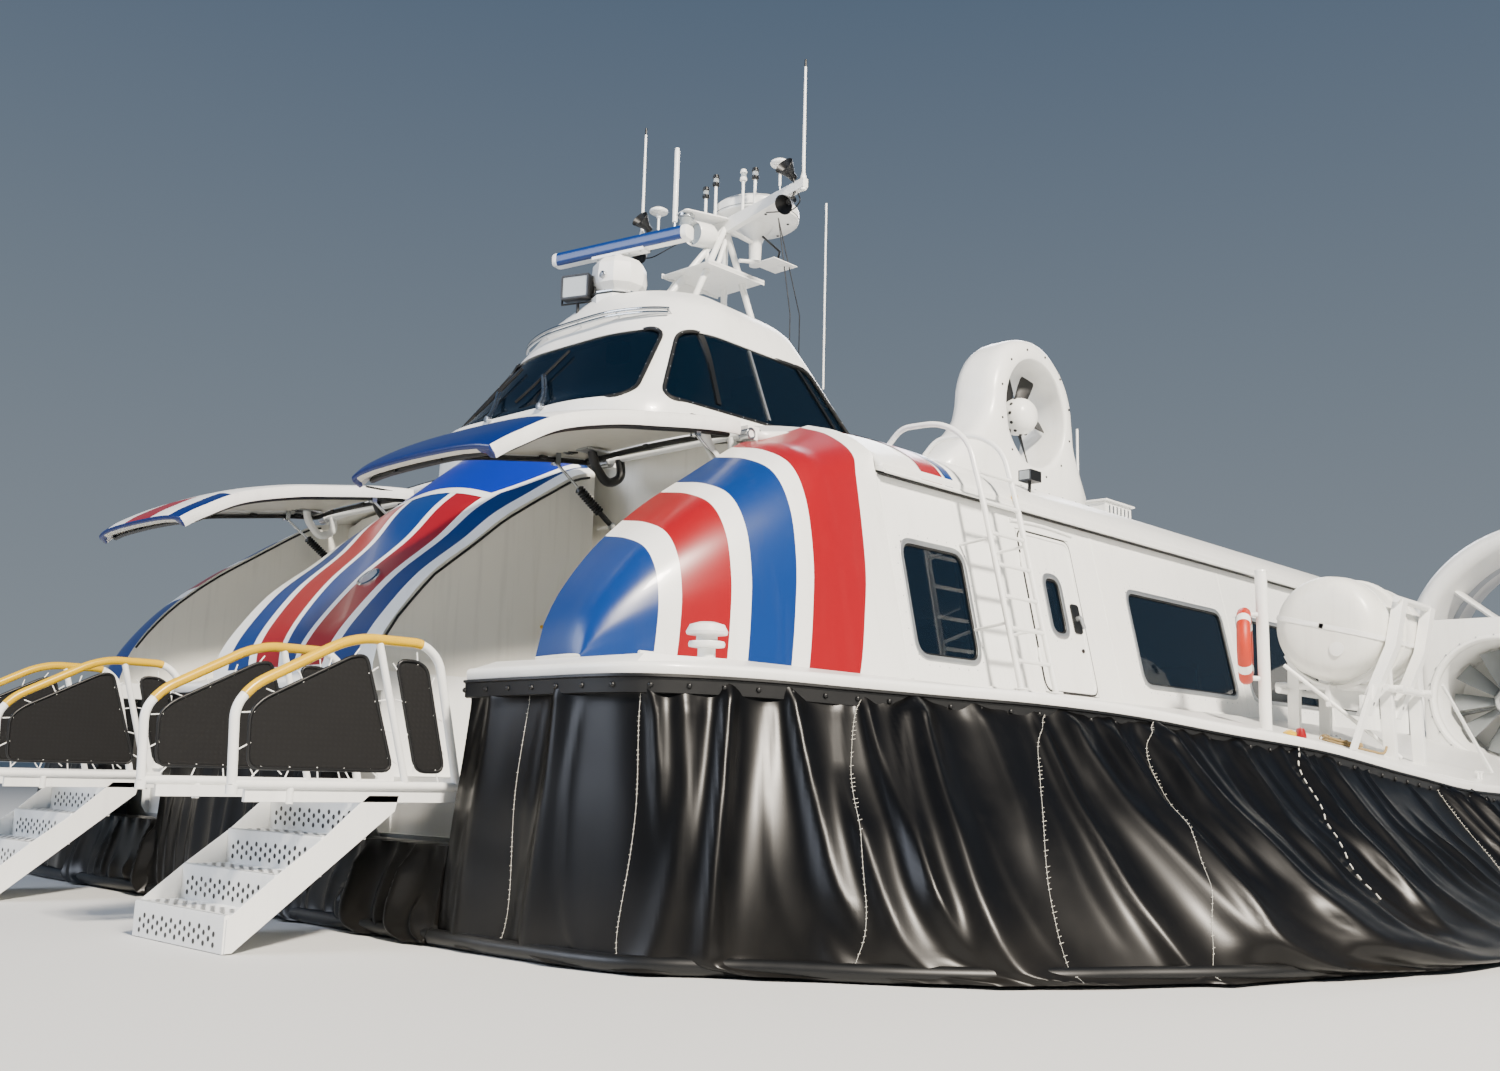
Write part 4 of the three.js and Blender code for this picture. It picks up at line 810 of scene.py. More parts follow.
def cabin():
    for name, side in SIDES:
        dress(f"cabin_side_{name}", "white")
        dress(f"cabin_door_{name}", "white")
        place = wall_matrix(side)
        frames, panes = Shape(), Shape()
        for aft, fore in WINDOWS:
            trim, glass = glazing(place, rectangle(aft, fore, rise(SILL), rise(HEAD)), 0.12)
            frames.join(trim)
            panes.join(glass)
        frames.piece(f"window_frames_{name}", ["aluminium", "rubber"], "aluminium")
        panes.piece(f"window_panes_{name}", "glass", "glass")
        cabin_door(name, place)
        cabin_trim(name, side, place)
    dress("cabin_front_wall", "lining")
    dress("cabin_rear_wall", "white")


def cabin_door(name, place):
    aft, fore, foot, head = DOOR
    x0, x1, z0, z1 = PORTHOLE
    trim, glass = glazing(place, rectangle(x0, x1, rise(z0), rise(z1)), 0.09, 0.035)
    # Lever, its plate, and the raised edge of the leaf
    lever = Shape()
    pane(lever, outline(rectangle(5.23, 5.35, rise(2.19), rise(2.43)), 0.03), 0, 0.012, 1)
    lever.tube([(5.29, rise(2.31), 0.0), (5.29, rise(2.31), 0.05)], 0.02)
    lever.tube([(5.29, rise(2.31), 0.045), (5.27, rise(2.22), 0.05)], 0.016)
    lever.turned([(0, 0), (0.016, 0), (0.016, 0.012), (0, 0.016)], "z", (5.28, rise(2.05), 0), 14, 1)
    lever.move(place)
    trim.join(lever)
    leaf = Shape()
    whole = rectangle(aft + 0.02, fore - 0.02, rise(foot) + 0.02, rise(head) - 0.02)
    band(leaf, outline(whole, 0.09), outline(whole, 0.09, -0.025), -0.002, 0.008)
    band(leaf, outline(whole, 0.09, 0.014), outline(whole, 0.09, 0.001), -0.002, 0.005, 1)
    leaf.move(place)
    body = f"cabin_door_{name}"
    trim.piece(f"door_porthole_{name}", ["aluminium", "rubber"], "aluminium", body=body)
    glass.piece(f"door_glass_{name}", "glass", "glass", body=body)
    leaf.piece(f"door_edge_{name}", ["white", "rubber"], "white_paint", body=body)


def cabin_trim(name, side, place):
    """Gutter, drip rail, panel joints and rivet rows of one cabin side."""
    aft, fore = DOOR[:2]
    trim = Shape()
    drip = [(x, rise(3.03) + 0.02 * sin(pi * k / 8), 0.006) for k, x in
            enumerate(np.linspace(aft - 0.06, fore + 0.06, 9))]
    trim.tube(drip, 0.014)
    for x in (7.66, 4.75, 2.32, 0.18, -2.36):
        trim.loft([[(x - 0.02, v, 0), (x + 0.02, v, 0), (x + 0.018, v, 0.003), (x - 0.018, v, 0.003)]
                   for v in (0.02, rise(3.1))])
        for v in np.arange(0.08, rise(3.08), 0.11):
            trim.dome((x, v, 0.003), (0, 0, 1), 0.006, 0.003, sides=6)
    for z in (1.72, 3.06):
        for x in np.arange(-2.3, 7.6, 0.12):
            if z > 3 or not aft - 0.05 < x < fore + 0.05:
                trim.dome((x, rise(z), 0), (0, 0, 1), 0.006, 0.003, sides=6)
    trim.box(-2.4, 7.69, -0.002, 0.03, -0.01, 0.03)
    trim.move(place)
    trim.piece(f"cabin_trim_{name}", ["white"], "white_paint")
    seam = Shape()
    seam.box(-2.38, 7.7, 0, 0.012, 0, 0.012)
    seam.move(Matrix.Translation((0, side * 3.552 - (0.0 if side > 0 else 0.012), 3.108)))
    seam.piece(f"gutter_seam_{name}", "rubber", "black_rubber")


# Bow: nose between the boarding slots, a cheek outside each slot
# Nose as (x, height in the middle, height at the edge), cheek as (x, height)
NOSE = [(8.241, 3.82, 3.33), (8.45, 3.64, 3.27), (8.8, 3.33, 3.05), (9.1, 3.06, 2.85), (9.35, 2.74, 2.64),
        (9.7, 2.4, 2.36), (9.95, 2.09, 2.06), (10.08, 1.87, 1.85), (10.12, 1.7, 1.695)]
NOSE_HALF = 1.145
PIN_X, PIN_Z = 8.15, 2.9  # pins at the foot of the gas struts
CHEEK = [(7.701, 3.56), (8.24, 3.34), (8.45, 3.27), (8.98, 2.93), (9.35, 2.68), (9.7, 2.38), (9.95, 2.08),
         (10.07, 1.86), (10.105, 1.76), (10.12, 1.66)]
# Section of a cheek: share of its width and of its height at the aft end, then both at the bow
CHEEK_CURVE = [(1, 0, 1, 0), (0.91, 0.21, 0.99, 0.25), (0.83, 0.4, 0.96, 0.48), (0.67, 0.77, 0.86, 0.72),
               (0.6, 0.86, 0.66, 0.89), (0.32, 0.95, 0.35, 0.97), (0, 1, 0, 1)]
BAY_OUT = 2.9  # outboard side of the boarding slot
CHEEK_LINE = spline(CHEEK, 120)
CHEEK_ARC = spline(CHEEK_CURVE, 60)


def between(edges, places):
    """Spreads places between each pair of edges: (finish, share at one end, share at the other)."""
    marks, columns = [], []
    for (mark, a0, a1), (_, b0, b1) in zip(edges, edges[1:]):
        for k in range(places):
            f = k / places
            columns.append((a0 + (b0 - a0) * f, a1 + (b1 - a1) * f))
            marks.append(mark)
    columns.append(edges[-1][1:])
    return columns, marks


def nose():
    """Hump below the windshield, painted in broad lengthwise bands."""
    rows = spline(NOSE, 70)
    # Finish and how far across the band starts, at the windshield and at the bow
    edges = [(0, -1, -1), (2, -0.93, -0.8), (0, -0.78, -0.52), (1, -0.7, -0.42), (0, -0.4, -0.12),
             (2, -0.32, -0.06), (0, 0.32, 0.06), (1, 0.4, 0.12), (0, 0.7, 0.42), (2, 0.78, 0.52),
             (0, 0.93, 0.8), (0, 1, 1)]
    columns, marks = between(edges, 7)
    sheet = []
    for i, (x, middle, edge) in enumerate(rows):
        share = i / (len(rows) - 1)
        row = [(x, -NOSE_HALF, DECK + 0.001)]
        for a, b in columns:
            k = a + (b - a) * share
            row.append((x, k * NOSE_HALF, edge + (middle - edge) * cos(pi / 2 * k)))
        sheet.append(row + [(x, NOSE_HALF, DECK + 0.001)])
    shape = Shape().grid(sheet, lambda r, c: marks[c - 1] if 0 < c <= len(marks) else 3)
    shape.add(sheet[0], [tuple(range(len(sheet[0])))], 3)
    shape.add(sheet[-1], [tuple(range(len(sheet[-1])))[::-1]])
    shape.add([sheet[0][0], sheet[0][-1], sheet[-1][-1], sheet[-1][0]], [(0, 1, 2, 3)], 3)
    for side in (1, -1):
        shape.tube([(PIN_X, side * 1.1, PIN_Z), (PIN_X, side * 1.294, PIN_Z)], 0.015, mark=3)
    shape.piece("bow_nose_skin", ["white", "red", "blue", "lining"], "blue_paint", replaces="bow_nose",
                angle=50)
    nose_panel(rows)


def nose_panel(rows):
    """Royal blue panel with a white border below the windshield."""
    shape = Shape()
    def place(x, k, lift):
        i = np.interp(x, [r[0] for r in rows], range(len(rows)))
        j = min(int(i), len(rows) - 2)
        _, middle, edge = rows[j] + (rows[j + 1] - rows[j]) * (i - j)
        return (x, k * NOSE_HALF, edge + (middle - edge) * cos(pi / 2 * k) + lift)
    for grow, lift, mark in ((0.0, 0.006, 0), (0.05, 0.003, 1)):
        sheet = []
        for x in np.linspace(8.3, 8.93 + grow * 1.2, 12):
            share = (x - 8.3) / 0.63
            half = 0.86 - 0.22 * min(share, 1) ** 2 + grow
            sheet.append([place(x, k * half, lift) for k in np.linspace(-1, 1, 24)])
        shape.grid(sheet, mark)
    shape.piece("nose_panel", ["royal", "white"], "deep_blue_paint")
    lamp = Shape()
    lamp.turned([(0, 0), (0.075, 0.0), (0.07, 0.02), (0.03, 0.03), (0, 0.032)], "z", (0, 0, 0), 20)
    lamp.turned([(0.07, -0.01), (0.092, -0.01), (0.09, 0.014), (0.074, 0.02)], "z", (0, 0, 0), 20, 1)
    lamp.move(placed(place(9.72, 0.32, 0.0), radians(50), "Y")
              @ Matrix.Diagonal((1, 1.35, 1, 1)))
    lamp.piece("nose_lamp", ["clear", "chrome"], "lamp_glass")


def cheek_place(x, c, side):
    """A point of the cheek at x: c runs from the deck, 0, up and over to the boarding slot, 1."""
    top, = read_at(x, *CHEEK_LINE.T)
    share = min(1.0, max(0.0, (x - 7.7) / 2.45))
    width = 0.95 - 0.56 * share ** 2.2
    mix = min(1, share * 2.5)
    w0, h0, w1, h1 = read_at(c, np.linspace(0, 1, len(CHEEK_ARC)), *CHEEK_ARC.T)
    return (x, side * (BAY_OUT + width * (w0 + (w1 - w0) * mix)),
            DECK + (top - DECK) * (h0 + (h1 - h0) * mix))


def cheek(name, side):
    """Rounded fairing outside a boarding slot, with broad bands that sweep up and aft over it."""
    # Finish, and x where the band starts at the deck and at the top
    edges = [(0, 7.701, 7.701), (1, 8.22, 7.78), (0, 8.66, 8.5), (2, 8.8, 8.66), (0, 9.12, 9.02),
             (1, 9.26, 9.16), (0, 9.58, 9.48), (2, 9.72, 9.62), (2, 10.115, 10.12)]
    columns, marks = between(edges, 10)
    steps = 54
    sheet = []
    for low, high in columns:
        row = []
        for k in range(steps + 1):
            c = k / steps
            row.append(cheek_place(low + (high - low) * c ** 0.8, c, side))
        row.append((row[-1][0], side * BAY_OUT, DECK + 0.001))
        sheet.append(row)
    shape = Shape().grid(sheet, lambda r, c: 3 if c == steps else marks[r])
    for row, order in ((sheet[0], 1), (sheet[-1], -1)):
        shape.add(row, [tuple(range(len(row)))[::order]], 3)
    shape.add([sheet[0][0], sheet[0][-1], sheet[-1][-1], sheet[-1][0]], [(0, 1, 2, 3)], 3)
    shape.tube([(PIN_X, side * 2.95, PIN_Z), (PIN_X, side * 2.756, PIN_Z)], 0.015, mark=3)
    shape.piece(f"bow_cheek_skin_{name}", ["white", "red", "blue", "lining"], "red_paint",
                replaces=f"bow_cheek_{name}", angle=50)


# Bow doors, shown swung up on their hinges over the boarding slots
HINGE = (8.3, 3.38)
OPEN = radians(27)
DOOR_TOP = [(8.42, 3.44), (8.7, 3.26), (9.05, 3.01), (9.4, 2.75), (9.75, 2.43), (9.96, 2.13), (10.03, 1.99)]
DOOR_MIDDLE, DOOR_HALF = 2.0275, 0.8525  # across the craft
DOOR_DEPTH = 0.095
STATIONS = 51  # cross sections of a door between its hinge and its tip
# Starboard tip: columns from the inboard edge, and the finish at each
TIP_BANDS = (0, 4, 4.5, 8, 8.5, 13, 13.5, 17, 17.5, 25), (1, 1, 0, 0, 3, 3, 0, 0, 1, 1)
STRUT_FOOT, STRUT_TOP, STRUT_AT = Vector((PIN_X, 0, PIN_Z)), Vector((8.74, 0, 3.31)), (1.27, 2.78)


def swing(x, z):
    """A point of the closed bow door, turned up about its hinge."""
    dx, dz = x - HINGE[0], z - HINGE[1]
    return HINGE[0] + dx * cos(OPEN) - dz * sin(OPEN), HINGE[1] + dx * sin(OPEN) + dz * cos(OPEN)


class DoorForm:
    """Places on the curved bow door: s runs from hinge to tip, t from the inboard to the outboard side"""

    def __init__(self, side):
        self.side = side
        line = even([(*swing(x, z), 0) for x, z in spline(DOOR_TOP, 60)], 61)[:, :2]
        along = np.gradient(line, axis=0)
        along /= np.linalg.norm(along, axis=1, keepdims=True)
        self.line, self.normal = line, np.stack([-along[:, 1], along[:, 0]], axis=1)

    def at(self, s, t, lift=0.0):
        """A place at a height over the outer surface, which falls towards its rounded sides."""
        k = np.clip(s, 0, 1) * 60
        x, z, nx, nz = read_at(k, range(61), *self.line.T, *self.normal.T)
        rounding = max(0.0, (s - 0.86) / 0.14, (0.08 - s) / 0.16)
        half = DOOR_HALF * (1 - 0.11 * rounding ** 2)
        height = lift - 0.03 * abs(t) ** 7 + 0.022 * (1 - t * t)
        return x + nx * height, self.side * (DOOR_MIDDLE + t * half), z + nz * height


def bow_door(name, side):
    """Moulded leaf: white rim, dark blue tip, and a recessed liner with a thick seal round it."""
    form, body = DoorForm(side), f"bow_door_{name}"
    across = np.sin(np.linspace(-1, 1, 25) * pi / 2)
    stations = [0, *np.linspace(0, 1, STATIONS)]
    under = [(1, -0.03), (1.006, -0.055), (0.99, -DOOR_DEPTH), (0.93, -DOOR_DEPTH - 0.004),
             (0.915, -DOOR_DEPTH + 0.02)]
    floor = [(t, -DOOR_DEPTH + 0.03) for t in np.linspace(0.85, -0.85, 9)]
    ring = [(t, 0.0) for t in across] + under + floor + [(-t, lift) for t, lift in reversed(under)]
    top, rim = len(across), len(under)

    def finish(r, c):
        if top + rim <= c < len(ring) - rim:
            return 2
        if r < STATIONS and (stations[r] < 0.79 or c >= top - 1):
            return 0
        return 1 if side > 0 or r >= STATIONS else int(np.interp(c, *TIP_BANDS))

    rows = [[form.at(s, t, lift) for t, lift in ring] for s in stations]
    # Rounded front edge of the tip, and closed rear edge
    for size, ahead in ((0.75, 0.012), (0.3, 0.02), (0, 0.022)):
        rows.append([(x + ahead, y, z)
                     for x, y, z in (form.at(1, t, -0.045 + (lift + 0.045) * size) for t, lift in ring)])
    rows[0] = [form.at(0, t, -0.045) for t, _ in ring]
    leaf = Shape().grid(rows, finish, around=True)
    leaf.piece(f"bow_door_leaf_{name}", ["white", "navy", "liner", "red"], "white_paint", body=body,
               replaces=f"bow_door_{name}", angle=50)
    seal, fittings = Shape(), Shape()
    path = [(s, -0.9) for s in np.linspace(0.03, 0.93, 40)]
    path += [(0.965, t) for t in np.linspace(-0.86, 0.86, 24)]
    path += [(s, 0.9) for s in np.linspace(0.93, 0.03, 40)]
    path += [(0.02, t) for t in np.linspace(0.86, -0.86, 24)]
    seal.tube([form.at(s, t, -DOOR_DEPTH - 0.014) for s, t in path], 0.021, sides=8, closed=True)
    for s, t in path[::9]:
        x, y, z = form.at(s, t * 0.955, -DOOR_DEPTH - 0.008)
        seal.block(x, y, z, 0.028, 0.02, 0.012)
    # Pocket, steel plate and lugs at each strut; steel plate and arm at each hinge
    for y in STRUT_AT:
        x, z = STRUT_TOP.x, STRUT_TOP.z
        for off in (-0.028, 0.028):
            fittings.box(x - 0.022, x + 0.022, side * y + off - 0.005, side * y + off + 0.005, z - 0.02,
                         z + 0.1)
        fittings.tube([(x, side * y - 0.034, z), (x, side * y + 0.034, z)], 0.008)
        fittings.box(x - 0.11, x + 0.11, side * y - 0.075, side * y + 0.075, z + 0.076, z + 0.086)
        # Black slab over the steel plate: painted shade standing in for the pocket's recess
        seal.box(x - 0.135, x + 0.135, side * y - 0.095, side * y + 0.095, z + 0.082, z + 0.1)
    end = swing(8.56, 3.27)
    for y, mark in ((1.5, 1), (2.7, 2)):
        arm = rounded([(HINGE[0], y, HINGE[1]), (8.27, y, 3.24), (8.42, y, 3.16),
                       (end[0] - 0.03, y, end[1] - 0.1), (end[0], y, end[1])], 0.08)
        fittings.tube(mirror(arm, side), 0.036, sides=14, mark=mark)
        fittings.box(end[0] - 0.12, end[0] + 0.1, side * y - 0.07, side * y + 0.07, end[1] - 0.012,
                     end[1] + 0.004)
    fittings.tube([(HINGE[0], side * 1.3905, HINGE[1]), (HINGE[0], side * 2.8095, HINGE[1])], 0.022,
                  sides=14, mark=2)
    fittings.piece(f"bow_door_fittings_{name}", ["steel", "black", "white"], "steel", body=body)
    lamp = form.at(0.93, 0.35 * side, -DOOR_DEPTH + 0.02)
    seal.turned([(0, 0), (0.03, 0), (0.03, -0.03), (0, -0.035)], "z", lamp, 12)
    seal.piece(f"bow_door_seal_{name}", "rubber", "black_rubber", body=body)


def gas_struts(name, side):
    """Barrels with corrugated boots, and their polished rods."""
    reach = (STRUT_TOP - STRUT_FOOT).length
    lean = atan2(STRUT_TOP.z - STRUT_FOOT.z, STRUT_TOP.x - STRUT_FOOT.x)
    barrels, rods = Shape(), Shape()
    for y in STRUT_AT:
        place = placed((STRUT_FOOT.x, y * side, STRUT_FOOT.z), -lean, "Y")
        start, rod_start = len(barrels.points), len(rods.points)
        boot = [(0.028 if k % 2 else 0.04, 0.17 + 0.0125 * k) for k in range(22)]
        barrels.turned([(0, 0.03), (0.022, 0.03), (0.022, 0.165), *boot, (0.0145, 0.44), (0.0145, 0.2),
                        (0, 0.2)], "x", (0, 0, 0), 16)
        barrels.turned(rectangle(0.0155, 0.03, -0.016, 0.016), "y", (0, 0, 0), 16, 1)
        barrels.move(place, start)
        rods.turned(rectangle(0, 0.012, 0.385, reach - 0.014), "x", (0, 0, 0), 14)
        rods.turned(rectangle(0.013, 0.024, -0.014, 0.014), "y", (reach, 0, 0), 16)
        rods.move(place, rod_start)
    barrels.piece(f"strut_barrels_{name}", ["rubber", "steel"], "black_rubber", body=f"strut_barrels_{name}",
                  replaces=[f"strut_barrel_{name}_{where}" for where in ("inner", "outer")])
    rods.piece(f"strut_rods_{name}", "chrome", "chrome", body=f"strut_rods_{name}",
               replaces=[f"strut_rod_{name}_{where}" for where in ("inner", "outer")])


def bay_door(name, side):
    """Inner door with a round window, seen inside the boarding slot."""
    body = f"bay_door_{name}"
    dress(f"bay_door_{name}", "moulded", 0.006)
    to_wall = Matrix(((0, 0, 1, 7.998), (side, 0, 0, 0), (0, 1, 0, 0), (0, 0, 0, 1)))
    trim, glass = glazing(to_wall, [(1.925 + 0.17 * cos(a), 2.45 + 0.17 * sin(a))
                                    for a in circle(24)], 0.01, 0.045, 0.04, 0.012, False)
    seal = Shape()
    edge = rectangle(1.53, 2.32, 1.1, 2.96)
    band(seal, outline(edge, 0.11, 0.004), outline(edge, 0.11, -0.045), 0, 0.014, 1)
    pane(seal, outline(rectangle(1.6, 1.7, 1.92, 2.12), 0.03), 0, 0.012)
    seal.tube([(1.65, 2.02, 0.0), (1.65, 2.02, 0.05), (1.76, 1.99, 0.055)], 0.013)
    seal.move(to_wall)
    trim.join(seal)
    trim.piece(f"bay_door_trim_{name}", ["aluminium", "rubber"], "aluminium", body=body)
    glass.piece(f"bay_door_glass_{name}", "glass", "glass", body=body)


def bays():
    """Grit floor, side ledges, grab handles and the small fittings of both boarding slots."""
    trim = Shape()
    for _, side in SIDES:
        trim.box(8.02, 9.86, side * 1.19, side * 2.52, 0.931, 0.937)
        for x in (8.7, 9.3):
            trim.box(x - 0.006, x + 0.006, side * 1.2, side * 2.5, 0.936, 0.9385, 2)
        trim.tube(rounded([(8.35, side * 1.17, 2.0), (8.35, side * 1.24, 2.0), (8.72, side * 1.24, 2.06),
                           (8.72, side * 1.17, 2.06)], 0.04), 0.014, mark=1)
        trim.tube(rounded([(8.25, side * 2.88, 1.95), (8.25, side * 2.81, 1.95), (8.72, side * 2.81, 1.95),
                           (8.72, side * 2.88, 1.95)], 0.04), 0.014, mark=1)
        trim.box(8.003, 8.05, side * 1.22, side * 1.4, 2.3, 2.55, 3)
        trim.box(8.003, 8.03, side * 2.45, side * 2.6, 1.95, 2.15, 4)
        # Seal round the mouth of the slot, on the nose side and on the cheek side
        inner = [(x, side * 1.154, np.interp(x, [r[0] for r in NOSE], [r[2] for r in NOSE]) - 0.03)
                 for x in np.linspace(8.3, 10.05, 20)]
        outer = [(x, side * 2.897, np.interp(x, CHEEK_LINE[:, 0], CHEEK_LINE[:, 1]) - 0.03)
                 for x in np.linspace(8.3, 10.0, 20)]
        trim.tube(inner, 0.01, sides=8, mark=2)
        trim.tube(outer, 0.01, sides=8, mark=2)
    made = trim.piece("bay_fittings", ["deck", "yellow", "rubber", "moulded", "red"], "grey_paint")
    soften(made, 0.002, 1)


# Cabin roof: outer y, z and z at the front edge
ROOF = [(3.6, 3.12, 3.12), (3.61, 3.16, 3.145), (3.6, 3.205, 3.175), (3.48, 3.33, 3.23), (3.2, 3.48, 3.33),
        (2.7, 3.64, 3.44), (2.0, 3.78, 3.5), (1.0, 3.87, 3.55), (0, 3.9, 3.57)]
ROOF_CURVE = spline(ROOF, 41)
CABIN_REAR, ROOF_BEND, ROOF_FRONT = -2.4, 7.3, 8.24
HATCH = (5.25, 7.45, 1.25)  # opening under the wheelhouse: x aft, x forward, half width


def roof_z(x, y):
    """Height of the outside of the roof."""
    share = max(0.0, (x - ROOF_BEND) / (ROOF_FRONT - ROOF_BEND))
    z0, z1 = read_at(abs(y), *ROOF_CURVE[::-1].T)
    return z0 + (z1 - z0) * share


def roof():
    """Smooth cambered shell, open under the wheelhouse."""
    xs = sorted({CABIN_REAR, HATCH[0], HATCH[1], 7.7, ROOF_FRONT, *np.linspace(CABIN_REAR, ROOF_FRONT, 60)})
    curve = ROOF_CURVE.copy()
    inside = int(np.argmin(np.abs(curve[:, 0] - HATCH[2])))
    curve[inside, 0] = HATCH[2]
    shoulder = int(np.argmin(np.abs(curve[:, 0] - 2.89)))
    across = np.vstack([curve, curve[-2::-1] * (-1, 1, 1)])
    last = len(across) - 1
    rows = []
    for x in xs:
        share = max(0.0, (x - ROOF_BEND) / (ROOF_FRONT - ROOF_BEND))
        rows.append([(x, y, z + (front - z) * share) for y, z, front in across])

    def finish(r, c):
        open_hatch = HATCH[0] <= xs[r] < HATCH[1] and inside <= c < last - inside
        cut_off = xs[r] >= 7.7 and (c < shoulder or c >= last - shoulder)
        return None if open_hatch or cut_off else 0

    made = Shape().grid(rows, finish).piece("cabin_roof_skin", ["white", "lining"], "white_paint",
                                            replaces="cabin_roof", angle=40)
    thicken(made, 0.075).material_offset = 1
    roof_fittings()


def roof_fittings():
    trim = Shape()
    for _, side in SIDES:
        for y0, y1 in ((1.31, 1.39), (2.81, 2.89)):
            trim.box(8.21, 8.33, side * y0, side * y1, 3.34, 3.44)
            trim.turned(rectangle(0.026, 0.045, -0.045, 0.045), "y",
                        (HINGE[0], side * (y0 + y1) / 2, HINGE[1]), 16, 1)
        # Gutter along the foot of the roof
        gutter = [(x, side * 3.612, 3.126) for x in np.linspace(CABIN_REAR, 7.69, 30)]
        trim.tube(gutter, 0.014, sides=8)
    front = [(8.2, y, roof_z(8.2, y) + 0.004) for y in np.linspace(-2.88, 2.88, 40)]
    trim.tube(front, 0.012, sides=6, mark=2)
    trim.loft([[(x, y, roof_z(2.9, 1.4) - 0.03 if k == 0 else 4.05 - 0.02 * (k == 1))
                for x, y in outline([(2.7 + k * 0.02, 0.9 + k * 0.02), (3.15 - k * 0.02, 0.9 + k * 0.02),
                                     (3.15 - k * 0.02, 1.9 - k * 0.02), (2.7 + k * 0.02, 1.9 - k * 0.02)],
                                    0.05)] for k in (0, 1, 2)])
    # Black strips on the side of the raised box are painted shade standing in for its vent slots
    for k in range(6):
        trim.box(2.76 + k * 0.055, 2.785 + k * 0.055, 1.895, 1.91, 3.82, 4.0, 2)
    # Louvred housing behind the port thruster
    trim.box(1.75, 2.3, 1.95, 2.35, 3.68, 3.93)
    trim.box(1.72, 2.33, 1.92, 2.38, 3.93, 3.95)
    for k in range(6):
        trim.box(1.8 + k * 0.08, 1.84 + k * 0.08, 2.345, 2.353, 3.8, 3.9, 3)
    dome = [(0, 3.82), (0.9, 3.84), (0.895, 3.862), (0.86, 3.885), (0.72, 3.935), (0.55, 3.98), (0.35, 4.02),
            (0, 4.04)]
    trim.turned(dome, "z", (-0.8, 0, 0), 48)
    made = trim.piece("roof_fittings", ["white", "steel", "black", "aluminium"], "white_paint")
    soften(made, 0.004, 2)
    stripes = Shape()
    edge = [(y, z + 0.003) for y, z, _ in ROOF_CURVE if 2.6 < y < 3.605]
    for _, side in SIDES:
        for aft, fore, mark in ((6.86, 6.96, 1), (7.0, 7.26, 0)):
            stripes.grid([[(x, side * (y + 0.003), z) for y, z in edge] for x in (aft, fore)], mark)
    stripes.piece("roof_stripes", ["red", "blue"], "red_paint")


# Wheelhouse: x aft, x forward, half width, z
HOUSE = [(4.7, 8.262, 1.52, 3.6), (4.85, 8.25, 1.48, 3.96), (5.08, 8.02, 1.42, 4.2), (5.6, 7.56, 1.22, 4.88),
         (5.75, 7.42, 1.08, 5.12), (5.95, 7.32, 0.8, 5.29)]
HOUSE_LINE = spline(HOUSE, 80)
HOUSE_MIDDLE = 6.62  # x of the top of its roof
# Corners of the windows, as (x, z) at the side and (y, z) in front
SIDE_WINDOW = [(5.2, 4.05), (7.78, 4.01), (7.36, 4.74), (5.76, 4.74)]
FRONT_WINDOW = [(-1.24, 4.0), (1.24, 4.0), (1.02, 4.76), (-1.02, 4.76)]


def house_ring(z, inset=0.0, steps=7):
    """Rounded outline of the wheelhouse at a height, from its aft middle round by port."""
    aft, fore, half = read_at(z, HOUSE_LINE[:, 3], *HOUSE_LINE[:, :3].T)
    a, f, h = aft + inset, fore - inset, half - inset
    corners = [(a, h - 0.1), (f - 0.5, h), (f - 0.16, h - 0.24), (f, h - 0.7)]
    corners += [(x, -y) for x, y in reversed(corners)]
    radii = [0.3, 0.42, 0.3, 0.5, 0.5, 0.3, 0.42, 0.3]
    path = [Vector((x, y, z)) for x, y in corners]
    ring = []
    for i, b in enumerate(path):
        p, n = path[i - 1], path[(i + 1) % len(path)]
        reach = min(radii[i], (b - p).length * 0.48, (n - b).length * 0.48)
        start, end = b + (p - b).normalized() * reach, b + (n - b).normalized() * reach
        ring += corner(start, b, end, steps)
    return ring


def house_side(x, z, inset=0.0):
    """Half width of the wheelhouse at a length and a height."""
    ring = [p for p in house_ring(z, inset) if p.y > 0]
    ring.sort(key=lambda p: p.x)
    return float(np.interp(x, [p.x for p in ring], [p.y for p in ring]))


def house_front(y, z, inset=0.0):
    """How far forward the wheelhouse reaches at a place across it and a height."""
    ring = sorted((p for p in house_ring(z, inset) if p.x > 6.6), key=lambda p: p.y)
    return float(np.interp(y, [p.y for p in ring], [p.x for p in ring]))


def carved(shape, *cutters):
    """The shape's mesh with other closed shapes cut out of it."""
    def solid(form, name):
        mesh = bpy.data.meshes.new(name)
        mesh.from_pydata(form.points, [], form.faces)
        work = bmesh.new()
        work.from_mesh(mesh)
        bmesh.ops.remove_doubles(work, verts=work.verts, dist=1e-5)
        bmesh.ops.recalc_face_normals(work, faces=work.faces)
        work.to_mesh(mesh)
        work.free()
        made = bpy.data.objects.new(name, mesh)
        bpy.context.scene.collection.objects.link(made)
        return made
    base = solid(shape, "base")
    tools = [solid(cutter, "cutter") for cutter in cutters]
    for tool in tools:
        change = base.modifiers.new("Cut", "BOOLEAN")
        change.operation, change.object, change.solver = "DIFFERENCE", tool, "EXACT"
    bpy.context.view_layer.update()
    seen = base.evaluated_get(bpy.context.evaluated_depsgraph_get())
    cut = bpy.data.meshes.new_from_object(seen)
    result = Shape().add([v.co[:] for v in cut.vertices], [tuple(p.vertices) for p in cut.polygons])
    for made in [base] + tools:
        bpy.data.objects.remove(made)
    return result


